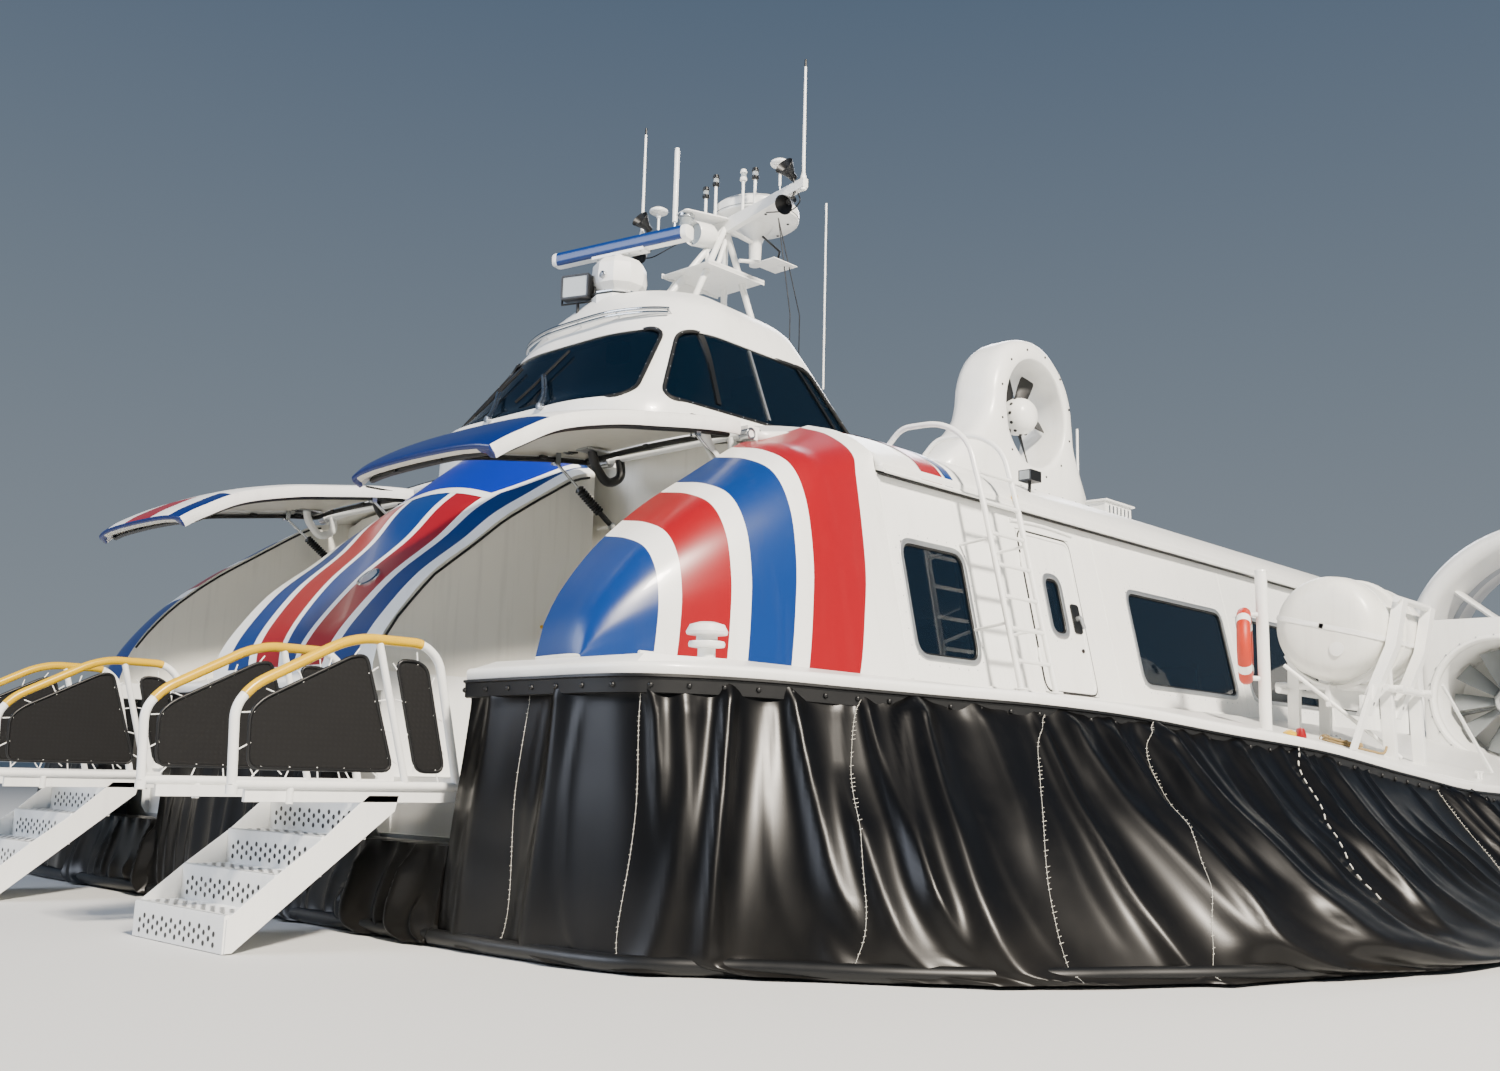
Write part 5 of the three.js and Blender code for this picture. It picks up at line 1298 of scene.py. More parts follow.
def wheelhouse():
    """Smooth raked shell with rounded window openings, gaskets, bolts and tinted glass."""
    heights = [3.6, *np.linspace(3.7, 5.2, 44), 5.245, 5.275, 5.29]
    rings = [house_ring(z) for z in heights]
    top = [Vector((HOUSE_MIDDLE + (p.x - HOUSE_MIDDLE) * 0.55, p.y * 0.55, 5.325)) for p in rings[-1]]
    tip = [Vector((HOUSE_MIDDLE + (p.x - HOUSE_MIDDLE) * 0.2, p.y * 0.2, 5.335)) for p in rings[-1]]
    shell = Shape().loft(rings + [top, tip])
    hollow = Shape().loft([house_ring(z, 0.06) for z in np.linspace(3.5, 5.2, 20)])
    holes = []
    side_edge, front_edge = outline(SIDE_WINDOW, 0.12), outline(FRONT_WINDOW, 0.12)
    holes.append(slab(Shape(), side_edge, -2, 2))
    holes.append(Shape().loft([[(x, y, z) for y, z in front_edge] for x in (7.3, 9)]))
    under = Shape().loft([[(x, y, z) for y, z in ((-2, 3.3), (2, 3.3), *((y, roof_z(x, y) - 0.01) for y in
                          np.linspace(1.7, -1.7, 21)))] for x in (4.5, 7.3, 8.24)])
    made = carved(shell, hollow, *holes, under)
    made.piece("wheelhouse_shell", "white", "white_paint", replaces="wheelhouse", angle=32)
    gasket, glass, bars = Shape(), Shape(), Shape()
    edges = []
    for side in (1, -1):
        edges.append([((x, side * (house_side(x, z) + 0.001), z), (0, side, 0.3))
                      for x, z in outline(SIDE_WINDOW, 0.12, 0.004)])
    edges.append([((house_front(y, z) + 0.001, y, z), (1, 0, 0.6))
                  for y, z in outline(FRONT_WINDOW, 0.12, 0.004)])
    for edge in edges:
        ring = even([p for p, _ in edge] + [edge[0][0]], 150)[:-1]
        gasket.tube(ring, 0.019, sides=8, closed=True)
        out = Vector(edge[0][1]).normalized()
        for p in ring[::4]:
            bars.dome(Vector(p) + out * 0.017, out, 0.0055, 0.006, sides=6)
    rows = [[(x, house_side(x, z, 0.015), z)
             for x in np.linspace(5.12 + (z - 4.0) * 0.75, 7.83 - (z - 4.0) * 0.56, 44)]
            for z in np.linspace(3.99, 4.78, 16)]
    for side in (1, -1):
        glass.grid([mirror(row, side) for row in rows])
    glass.grid([[(house_front(k * (1.28 - (z - 4) * 0.28), z, 0.015), k * (1.28 - (z - 4) * 0.28), z)
                 for k in np.linspace(-1, 1, 40)] for z in np.linspace(3.96, 4.8, 14)])
    pane_made = glass.piece("wheelhouse_panes", "glass", "glass", replaces="wheelhouse_glass")
    thicken(pane_made, 0.008)
    # Upright bars of the side windows: x at the foot and head, half width, finish
    for foot, head, half, mark in ((7.16, 7.2, 0.026, 1), (6.5, 6.6, 0.014, 2), (5.42, 5.9, 0.02, 1)):
        for side in (1, -1):
            rows = [[(foot + (head - foot) * k + dx,
                      side * (house_side(foot + (head - foot) * k + dx, 4.08 + 0.64 * k) + lift),
                      4.08 + 0.64 * k)
                     for dx, lift in ((-half, -0.02), (-half, 0.004), (half, 0.004), (half, -0.02))]
                    for k in np.linspace(0, 1, 12)]
            bars.loft(rows, mark)
    gasket.piece("wheelhouse_gaskets", "rubber", "black_rubber")
    bars.piece("wheelhouse_window_bars", ["steel", "rubber", "aluminium"], "aluminium")
    house_fittings()


def house_fittings():
    """Wipers, the handrail over the windshield, the floodlight and the small lamps."""
    kit = Shape()

    def on_glass(y, z, lift=0.03):
        return (house_front(y, z) + lift, y, z)

    for pivot, end, blade in (((0.42, 3.99), (-0.02, 4.42), ((0.12, 4.66), (-0.16, 4.16))),
                              ((-0.3, 3.99), (-0.62, 4.36), ((-0.5, 4.6), (-0.76, 4.14)))):
        arm = [on_glass(pivot[0] + (end[0] - pivot[0]) * k, pivot[1] + (end[1] - pivot[1]) * k, 0.045)
               for k in (0, 0.3, 0.6, 1)]
        kit.tube(arm, 0.014, sides=8)
        kit.tube([(x - 0.01, y + 0.03, z) for x, y, z in arm], 0.008, sides=6)
        kit.tube([on_glass(blade[0][0] + (blade[1][0] - blade[0][0]) * k,
                           blade[0][1] + (blade[1][1] - blade[0][1]) * k, 0.03)
                  for k in np.linspace(0, 1, 8)], 0.014, sides=6, mark=1)
        kit.turned([(0, 0), (0.03, 0), (0.03, 0.05), (0, 0.055)], "x", on_glass(*pivot, 0.0), 14)
    for z, lift in ((4.93, 0.05), (4.97, 0.075)):
        rail = [(house_front(y, z) + lift, y, z + 0.03 * (1 - y ** 2)) for y in np.linspace(-0.98, 0.98, 30)]
        kit.tube(rail, 0.014, mark=2)
    for y in (-0.97, -0.5, 0, 0.5, 0.97):
        z = 4.95 + 0.03 * (1 - y ** 2)
        kit.tube([(house_front(y, z) - 0.03, y, z - 0.05), (house_front(y, z) + 0.08, y, z + 0.02)], 0.008,
                 sides=8, mark=2)
    # Floodlight beside the radar: case, reflector and lens
    lamp = Shape()
    lamp.loft([[(d, y, z) for y, z in outline(rectangle(-0.15, 0.15, -0.12, 0.12), 0.03, by)] for d, by in
               ((-0.17, -0.05), (-0.1, 0), (-0.01, 0), (0.0, -0.005), (0.0, -0.022), (-0.02, -0.03))], 1)
    lamp.loft([[(d, y, z) for y, z in outline(rectangle(-0.13, 0.13, -0.1, 0.1), 0.02)]
               for d in (-0.012, -0.006)], 3)
    lamp.tube([(-0.08, 0.17, 0), (-0.08, 0.17, -0.14), (-0.08, -0.17, -0.14), (-0.08, -0.17, 0)], 0.012,
              mark=1)
    lamp.tube([(-0.08, 0, -0.14), (-0.08, 0, -0.24)], 0.016, mark=1)
    lamp.move(placed((7.44, -0.22, 5.42), radians(20), "Z"))
    kit.join(lamp)
    # Lamp with black bands aft on the roof, and a short whip
    kit.turned([(0, 0), (0.03, 0), (0.03, 0.05), (0.034, 0.055), (0.034, 0.075), (0.027, 0.08),
                (0.027, 0.11), (0.034, 0.115), (0.034, 0.14), (0, 0.15)], "z", (5.6, 0.56, 5.12), 16, 1)
    kit.tube([(5.3, 1.0, 4.7), (5.3, 1.0, 6.6)], 0.01, mark=4)
    kit.tube([(6.3, -0.86, 5.2), (6.3, -0.86, 6.3)], 0.012, mark=4)
    kit.piece("wheelhouse_fittings", ["steel", "black", "chrome", "clear", "white"], "steel")


RADAR_X = 7.085  # where the scanner turns


def radar():
    """Gearbox on its pedestal and the scanner that turns on it."""
    box = Shape()
    facets = [(0, 5.2), (0.27, 5.2), (0.27, 5.31), (0.2, 5.345), (0.17, 5.36), (0.25, 5.44), (0.262, 5.5),
              (0.25, 5.63), (0.2, 5.69), (0.15, 5.712), (0, 5.715)]
    box.turned(facets, "z", (RADAR_X, 0, 0), 10)
    box.turned(rectangle(0, 0.272, 5.33, 5.345), "z", (RADAR_X, 0, 0), 10, 1)
    for spot, _ in spots_round((RADAR_X, 0, 5.345), 0.235, 6, "z", 0.3):
        box.dome(spot, (0, 0, 1), 0.014, 0.014, 1, 6)
    box.turned([(0, 0), (0.035, 0), (0.035, 0.02), (0.02, 0.03), (0, 0.03)], "x", (7.325, 0.05, 5.5), 16, 1)
    made = box.piece("radar_gearbox_case", ["white", "steel"], "white_paint", replaces="radar_gearbox",
                     angle=20)
    soften(made, 0.012, 3, 20)
    beam = Shape()
    turn = placed((RADAR_X, 0, 0), radians(10.7), "Z")
    section = [(0.07, 5.815), (0.07, 5.885), (0.052, 5.915), (-0.05, 5.92), (-0.07, 5.9), (-0.07, 5.8),
               (-0.05, 5.78), (0.052, 5.785)]
    smooth = rounded([Vector((x, 0, z)) for x, z in section], 0.02, 3, closed=True)
    caps = [(-0.79, 0.72), (-0.785, 0.93), (-0.76, 1.0), (-0.735, 1.0), (-0.73, 1.0), (0.73, 1.0),
            (0.735, 1.0), (0.76, 1.0), (0.785, 0.93), (0.79, 0.72)]
    rings = [[(p.x * k, y, 5.85 + (p.z - 5.85) * k) for p in smooth] for y, k in caps]
    count = len(smooth)
    beam.loft(rings, lambda r, c: 1
              if 4 <= r < 5 and sum(p.x for p in (smooth[c], smooth[(c + 1) % count])) > 0.06 else 0)
    beam.turned([(0, 5.7206), (0.07, 5.7206), (0.07, 5.75), (0.05, 5.77), (0.05, 5.8), (0, 5.8)], "z",
                (0, 0, 0), 24)
    beam.box(-0.06, 0.055, -0.3, 0.3, 5.762, 5.79)
    for y in (-0.25, -0.12, 0.12, 0.25):
        beam.dome((0.02, y, 5.762), (0, 0, -1), 0.01, 0.008, 2, 6)
    beam.move(turn)
    beam.piece("radar_beam", ["white", "blue", "steel"], "blue_paint", body="radar_scanner",
               replaces="radar_scanner", angle=40)


def mushroom(shape, x, y, z, post, size=0.1):
    """Small dome aerial on a post."""
    shape.tube([(x, y, z), (x, y, z + post * 0.45)], 0.011, mark=1)
    shape.tube([(x, y, z + post * 0.4), (x, y, z + post)], 0.014)
    low = z + post - 0.02
    shape.turned([(0, 0), (0.022, 0), (0.03, 0.035), (size * 0.9, 0.052), (size, 0.066),
                  (size * 0.97, 0.085), (size * 0.6, 0.108), (0, 0.115)], "z", (x, y, low), 28)


ARM_X, ARM_Z = 5.7, 6.48  # middle of the cross arm
WHIP = (5.81, 1.14)  # foot of each whip aerial
DISH_X = 5.25


def mast():
    """A-frame with a box-section cross arm, aerials, lamps, searchlight, dish and small platforms."""
    kit = Shape()
    mast_arms(kit)
    mast_lamps(kit)
    mast_dish(kit)
    made = kit.piece("mast_kit", ["white", "steel", "black", "clear", "grey"], "white_paint",
                     replaces="mast", angle=35)
    soften(made, 0.002, 1)


def mast_arms(kit):
    """Legs, cross arm, whip aerials and loudhailers."""
    head = Vector((ARM_X, 0, ARM_Z))
    for x, y, z in ((6.55, 0.33, 5.2), (5.25, 0.42, 4.45)):
        for side in (1, -1):
            kit.tube([(x, y * side, z), head], 0.032, sides=16)
            kit.turned([(0, 0), (0.075, 0), (0.075, 0.012), (0.04, 0.02), (0, 0.02)], "z",
                       (x, y * side, z + 0.03), 20)
    for side in (1, -1):
        rings = []
        for k, tall in ((0, 0.075), (0.5, 0.058), (1, 0.045)):
            y = 1.17 * k * side
            x, z = ARM_X + 0.11 * k, ARM_Z + 0.12 * k
            rings.append([(x - 0.035, y, z - tall), (x + 0.035, y, z - tall), (x + 0.035, y, z + tall),
                          (x - 0.035, y, z + tall)])
        kit.loft(rings)
        # Tip: base of the whip, loudhailers and their wire
        kit.turned([(0, 6.53), (0.03, 6.53), (0.03, 6.66), (0.02, 6.7), (0, 6.7)], "z",
                   (WHIP[0], WHIP[1] * side, 0), 16)
        kit.turned([(0, 6.68), (0.018, 6.68), (0.016, 7.0), (0.012, 7.8), (0, 7.8)], "z",
                   (WHIP[0], WHIP[1] * side, 0), 12)
        kit.turned([(0, 7.8), (0.013, 7.8), (0.012, 7.875), (0, 7.88)], "z", (WHIP[0], WHIP[1] * side, 0),
                   12, 2)
        for z, tilt in ((6.72, 30), (6.42, -35)):
            horn = Shape().turned([(0, -0.09), (0.035, -0.085), (0.04, -0.03), (0.1, 0.09), (0.095, 0.095),
                                   (0.03, 0.0), (0, 0)], "x", (0, 0, 0), 20, 2)
            horn.move(placed((5.88, side * 1.02, z), radians(-tilt), "Y"))
            kit.join(horn)
            kit.tube([(5.81, side * 1.05, 6.58), (5.85, side * 1.02, z)], 0.012, mark=2)
        wire = rounded([(5.84, side * 1.1, 6.5), (5.86, side * 1.16, 6.4), (5.8, side * 1.0, 6.36),
                        (5.74, side * 0.6, 6.47)], 0.08)
        kit.tube(wire, 0.007, sides=6, mark=2)


def mast_lamps(kit):
    """Lamps and small aerials on the arm, the plate ahead of it, and the searchlight."""
    # Lamps on posts: place along the arm, height, whether white-topped
    for y, top, plain in ((-0.27, 6.86, 0), (-0.14, 6.96, 0), (0.26, 6.9, 1), (0.44, 6.86, 0)):
        x, foot = ARM_X + 0.094 * abs(y), 6.5 + 0.1 * abs(y)
        kit.tube([(x, y, foot), (x, y, top)], 0.016)
        body = 0 if plain else 2
        kit.turned([(0, 0), (0.03, 0), (0.036, 0.01), (0.036, 0.035), (0.028, 0.04), (0, 0.04)], "z",
                   (x, y, top), 20, body)
        kit.turned(rectangle(0, 0.028, 0.04, 0.085), "z", (x, y, top), 20, 3)
        kit.turned([(0, 0.085), (0.036, 0.085), (0.036, 0.1), (0.03, 0.105), (0.03, 0.12), (0.018, 0.125),
                    (0, 0.125)], "z", (x, y, top), 20, body)
    mushroom(kit, 5.77, 0.8, 6.56, 0.3)
    mushroom(kit, 5.78, -0.92, 6.56, 0.26)
    kit.tube([(5.76, -0.69, 6.5), (5.76, -0.69, 6.72)], 0.014, mark=1)
    kit.turned([(0, 6.7), (0.027, 6.7), (0.027, 7.5), (0.02, 7.53), (0, 7.53)], "z", (5.76, -0.69, 0), 16)
    # Plate ahead of the head with a clear lamp under it, and the searchlight below
    plate = outline([(5.72, -0.16), (6.16, -0.26), (6.2, -0.06), (5.74, 0.1)], 0.04)
    pane(kit, plate, 6.53, 6.545)
    kit.turned([(0, 0), (0.085, 0), (0.085, -0.03), (0.07, -0.04), (0, -0.04)], "z", (6.1, -0.16, 6.53), 24,
               1)
    kit.turned([(0, -0.04), (0.066, -0.04), (0.06, -0.12), (0.045, -0.14), (0, -0.145)], "z",
               (6.1, -0.16, 6.53), 24, 3)
    drum = Shape().turned([(0.118, 0.12), (0.125, 0.11), (0.125, -0.1), (0.1, -0.14), (0, -0.15),
                           (0, -0.135), (0.09, -0.12), (0.112, -0.08)], "x", (0, 0, 0))
    drum.turned([(0, 0.05), (0.11, 0.05), (0.11, 0.056), (0, 0.06)], "x", (0, 0, 0), 32, 3)
    drum.move(placed((5.98, -0.06, 6.33), radians(8), "Y"))
    kit.join(drum)
    kit.tube([(5.9, -0.06, 6.2), (5.85, -0.06, 5.9)], 0.024)


def mast_dish(kit):
    """Shelf below the arm, and the dish on its tapered pedestal."""
    kit.box(5.45, 6.25, -0.33, 0.33, 5.88, 5.888)
    for y in (-0.33, 0.322):
        kit.box(5.45, 6.25, y, y + 0.008, 5.86, 5.91)
    kit.loft([[(6.1, y, 5.88), (5.6, y, 5.88), (6.28, y, 5.62)] for y in (-0.3, -0.29)])
    kit.tube([(5.65, 0, 6.46), (5.85, 0, 5.89)], 0.026)
    kit.box(5.15, 5.5, 0.2, 0.5, 6.1, 6.11)
    kit.tube([(5.5, 0.3, 6.1), (5.75, 0.26, 6.05)], 0.02)
    kit.turned([(0, 6.62), (0.2, 6.622), (0.4, 6.645), (0.445, 6.68), (0.452, 6.74), (0.445, 6.79),
                (0.4, 6.83), (0.2, 6.856), (0, 6.86)], "z", (DISH_X, 0, 0), 64)
    kit.turned(rectangle(0.447, 0.4535, 6.7, 6.706), "z", (DISH_X, 0, 0), 64, 4)
    kit.turned([(0, 6.2), (0.06, 6.2), (0.07, 6.45), (0.1, 6.52), (0.17, 6.6), (0.19, 6.628), (0, 6.628)],
               "z", (DISH_X, 0, 0), 12)
    kit.tube([(5.7, 0, 6.47), (5.25, 0, 6.44)], 0.026)
    for spot, _ in spots_round((DISH_X, 0, 6.64), 0.34, 6, "z"):
        kit.dome(spot, (0, 0, -1), 0.016, 0.012, 2)
    for y, x in ((0.5, 5.1), (0.46, 5.2)):
        kit.tube([(5.3, 0.36, 6.62), (x, y, 5.6), (x, y, 4.6)], 0.006, sides=6, mark=2)
    kit.tube([(5.25, 0.1, 6.5), (5.2, 0.3, 6.3), (5.3, 0.35, 6.12)], 0.012, mark=2)


# Bow thrusters: ducted fans in flared fairings on the roof
FAN = (4.25, 2.48, 4.4)  # middle of the port fan
BORE = 0.51
RIM_HALF = 0.25  # half the depth of the ring
# Blade sections of the fans and propellers: radius, half chord, pitch and half thickness
THRUSTER_BLADE = [(0.12, 0.03, 0.9, 0.02), (0.17, 0.036, 0.85, 0.016), (0.22, 0.06, 0.75, 0.01),
                  (0.35, 0.072, 0.6, 0.008), (0.46, 0.075, 0.5, 0.006), (0.488, 0.066, 0.48, 0.003)]
LIFT_BLADE = [(0.15, 0.07, 0.95, 0.008), (0.3, 0.095, 0.8, 0.008), (0.45, 0.11, 0.62, 0.008),
              (0.6, 0.12, 0.5, 0.008)]
PROPELLER_BLADE = [(0.18, 0.06, 1.2, 0.04), (0.28, 0.075, 1.1, 0.034), (0.5, 0.12, 0.85, 0.024),
                   (0.9, 0.145, 0.6, 0.018), (1.4, 0.135, 0.44, 0.012), (1.66, 0.105, 0.38, 0.008),
                   (1.745, 0.06, 0.36, 0.004)]


def thruster(name, side):
    """Fairing with rounded lips, with its stays and motor."""
    x, y, z = FAN
    steps = 96
    arc = [(x + 0.71 * cos(a), z + 0.02 + 0.7 * sin(a)) for a in np.linspace(0, pi, 33)]
    base = [(x - 0.78, 4.14), (x - 0.9, 3.95), (x - 1.05, 3.7), (x - 1.1, 3.62), (x + 1.5, 3.62),
            (x + 1.4, 3.7), (x + 0.95, 4.05), (x + 0.76, 4.24)]
    edge = [(p.x, p.y) for p in rounded([Vector((u, w, 0)) for u, w in arc + base], 0.2, 4, closed=True)]
    turns = np.array([atan2(w - z, u - x) for u, w in edge])
    order = np.argsort(turns)
    reach = np.array([hypot(u - x, w - z) for u, w in edge])[order]
    angles = np.linspace(-pi, pi, steps + 1)[:-1]
    radii = np.interp(angles, turns[order], reach, period=2 * pi)
    # From the bore out over the rounded lip, round the edge and back: share of the way out, and place across
    half = [(0, 0.18), (0, 0.22), (0.02, 0.246), (0.06, 0.25), (0.55, 0.245), (0.86, 0.2), (0.97, 0.14),
            (1, 0.08), (1, 0)]
    profile = [(k, -v) for k, v in half] + half[-2::-1]
    rows = []
    for a, far in zip(angles, radii):
        rows.append([(x + cos(a) * (BORE + (far - BORE) * k), side * (y + v),
                      z + sin(a) * (BORE + (far - BORE) * k)) for k, v in profile])
    columns = [list(row) for row in zip(*rows)]
    body = Shape().grid(columns + [columns[0]], around=True)
    kit = Shape()
    for deg in (40, 160, 280):
        a = radians(deg)
        kit.tube([(x, side * (y - 0.15), z), (x + cos(a) * 0.53, side * (y - 0.15), z + sin(a) * 0.53)],
                 0.022, mark=2)
    kit.turned([(0, -0.09), (0.1, -0.09), (0.12, -0.07), (0.12, 0.07), (0.1, 0.09), (0, 0.09)], "y",
               (x, side * (y - 0.15), z), 28, 1)
    for spot, _ in spots_round((x, side * (y + RIM_HALF - 0.002), z), 0.6, 12, "y", pi / 12):
        kit.dome(spot, (0, side, 0), 0.012, 0.008, 1)
    # Bolts along the foot flange of the fairing on the roof
    for k in range(9):
        u = x - 0.9 + k * 0.24
        kit.dome((u, side * (y + 0.262), roof_z(u, y + 0.26) + 0.025), (0, side, 0.6), 0.012, 0.01, 1, 6)
    body.piece(f"thruster_fairing_{name}", "white", "white_paint", replaces=f"thruster_{name}", angle=60)
    kit.piece(f"thruster_stays_{name}", ["white", "black", "black"], "black_paint")
    thruster_fan(name, side)


def thruster_fan(name, side):
    """Hub with its ring of bolts, and six blades."""
    x, y, z = FAN
    fan = Shape()
    hub = [(0, -0.059), (0.15, -0.055), (0.168, -0.02), (0.18, 0.05), (0.172, 0.1), (0.152, 0.15),
           (0.115, 0.19), (0.065, 0.209), (0, 0.215)]
    fan.turned([(r, h * side) for r, h in hub], "y", (x, side * y, z), 40)
    for spot, way in spots_round((x, side * (y + 0.07), z), 0.177, 12, "y"):
        fan.dome(spot, way, 0.016, 0.012, 1)
    rings = []
    for r, chord, pitch, thick in THRUSTER_BLADE:
        ring = []
        for a in circle(12):
            u, v = chord * cos(a), thick * sin(a)
            ring.append((r, u * sin(pitch) + v * cos(pitch), u * cos(pitch) - v * sin(pitch)))
        rings.append(ring)
    fan.spread(6, rings, (x, side * y, z), "Y", 1)
    fan.piece(f"thruster_blades_{name}", ["white", "black"], "blade_black", body=f"thruster_fan_{name}",
              replaces=f"thruster_fan_{name}", angle=45)


def ladder():
    """White tubes with rungs and two hoops over the edge of the roof."""
    kit = Shape()
    for x in (6.33, 6.8):
        path = [(x, 4.145, 1.642), (x, 3.82, 3.08), (x, 3.7, 3.52), (x, 3.45, 3.68), (x, 3.08, 3.69),
                (x, 2.96, 3.575)]
        kit.tube(rounded(path, 0.16, 6), 0.022, sides=14)
        kit.turned([(0, 0), (0.05, 0), (0.05, 0.01), (0.024, 0.016), (0, 0.016)], "z", (x, 4.145, 1.641), 20)
        kit.tube([(x, 3.9, 2.75), (x, 3.63, 2.72)], 0.012)
        kit.tube([(x, 4.04, 2.12), (x, 3.75, 2.08)], 0.012)
    for i in range(7):
        z = 1.85 + i * 0.235
        y = 4.15 - (z - 1.63) * 0.33 / 1.45
        kit.tube([(6.33, y, z), (6.8, y, z)], 0.015, sides=12)
        for x in (6.352, 6.778):
            kit.turned(rectangle(0, 0.021, -0.004, 0.004), "x", (x, y, z), 14)
    kit.piece("ladder_tubes", "white", "white_paint", replaces="side_ladder", angle=50)


RAFT = (2.7, 4.95, 2.37)  # middle of the port canister
SADDLE = 0.478  # inner radius of the cradle's saddle


def liferaft(name, side):
    raft_shell(name, side)
    raft_cradle(name, side)
    raft_post(name, side)


def raft_shell(name, side):
    """Ribbed canister with a tilted joint and straps."""
    x, y, z = RAFT
    shell = Shape()
    profile = [(0, -0.7), (0.2, -0.695), (0.3, -0.685), (0.37, -0.66), (0.415, -0.615), (0.44, -0.54),
               (0.449, -0.45), (0.45, -0.06), (0.452, -0.035), (0.47, -0.028), (0.473, 0), (0.47, 0.028),
               (0.452, 0.035), (0.45, 0.06), (0.449, 0.45), (0.44, 0.54), (0.415, 0.615), (0.37, 0.66),
               (0.3, 0.685), (0.2, 0.695), (0, 0.7)]
    shell.turned(profile, "x", (0, 0, 0), 72)
    lid = radians(-14) * side
    # Joint between the halves: a raised lip along each side and over the ends
    turn = Matrix.Rotation(lid, 4, "X")
    for way in (1, -1):
        rings = [[(1.006 * h, way * (max(r, 0.01) + out), up)
                  for out, up in ((-0.03, -0.022), (0.009, -0.02), (0.009, 0.02), (-0.03, 0.022))]
                 for r, h in profile]
        start = len(shell.points)
        shell.loft(rings, 1)
        shell.move(turn, start)
    for h in (-0.36, 0.36):
        shell.turned(rectangle(0.449, 0.4535, h - 0.03, h + 0.03), "x", (0, 0, 0), 72, 1)
        for side_sign in (1, -1):
            a = lid + (0 if side_sign > 0 else pi)
            py, pz = 0.458 * cos(a), 0.458 * sin(a)
            shell.block(h, py, pz, 0.025, 0.012, 0.05, 2)
    shell.turned(rectangle(0, 0.06, 0, 0.006), "x", (0.695, 0.12, -0.2), 20, 1)
    shell.move(Matrix.Translation((x, side * y, z)))
    shell.piece(f"liferaft_shell_{name}", ["moulded", "white", "black"], "gloss_white_plastic",
                replaces=f"liferaft_{name}", angle=35)


def raft_cradle(name, side):
    """Welded frame under the canister, with its feet, saddles and stays."""
    _, y, z = RAFT
    cradle = Shape()
    for u in (2.35, 3.05):
        for foot, head, low in ((4.55, 4.57, 1.47), (5.35, 5.33, 1.2)):
            cradle.loft([level(u, side * v, w, 0.03, side * 0.05) for v, w in ((foot, low), (head, 2.12))])
            cradle.box(u - 0.09, u + 0.09, side * (foot - 0.1), side * (foot + 0.1), low - 0.01, low + 0.012)
            for du in (-0.06, 0.06):
                for dv in (-0.07, 0.07):
                    cradle.dome((u + du, side * (foot + dv), low + 0.012), (0, 0, 1), 0.013, 0.012, 2, 6)
        # Curved saddle under the canister, and slanted arms that hold its outboard side
        saddle = [(y + SADDLE * cos(a), z + SADDLE * sin(a))
                  for a in np.linspace(radians(-155), radians(-25), 20)]
        cradle.loft([[(u + e, side * (v + (v - y) / SADDLE * g), w + (w - z) / SADDLE * g) for e, g in
                      ((-0.035, 0), (0.035, 0), (0.035, 0.03), (-0.035, 0.03))] for v, w in saddle])
        cradle.loft([level(u + lean, side * v, w, 0.06, side * 0.045)
                     for lean, v, w in ((0.3, 5.25, 1.62), (0.1, 5.44, 2.2), (-0.08, 5.46, 2.6))])
        cradle.dome((u + 0.27, side * 5.31, 1.72), (0, side, 0), 0.03, 0.02, 2)
        cradle.box(u + 0.05, u + 0.42, side * 5.26, side * 5.29, 1.5, 1.78)
        cradle.tube([(u, side * 4.4, 1.9), (u, side * 5.48, 1.85)], 0.03, sides=12)
    for v in (4.5, 5.4):
        cradle.tube([(2.15, side * v, 1.85), (3.25, side * v, 1.85)], 0.028, sides=12)
    cradle.tube([(2.3, side * 5.47, 2.6), (3.1, side * 5.47, 2.6)], 0.03, sides=12)
    cradle.tube([(3.4, side * 4.62, 2.05), (2.95, side * 5.4, 1.28)], 0.018)
    cradle.tube([(2.0, side * 5.46, 1.95), (1.2, side * 5.6, 1.2)], 0.016)
    cradle.box(2.16, 3.24, side * 4.9, side * 4.94, 1.7, 1.88)
    cradle.loft([[(x + e, side * v, w) for e, v in ((-0.05, 5.3), (0.05, 5.3), (0.05, 5.33), (-0.05, 5.33))]
                 for x, w in ((3.8, 1.32), (3.25, 1.9))])
    made = cradle.piece(f"raft_cradle_frame_{name}", ["white", "grey", "steel"], "white_paint",
                        replaces=f"raft_cradle_{name}", angle=45)
    soften(made, 0.003, 1)


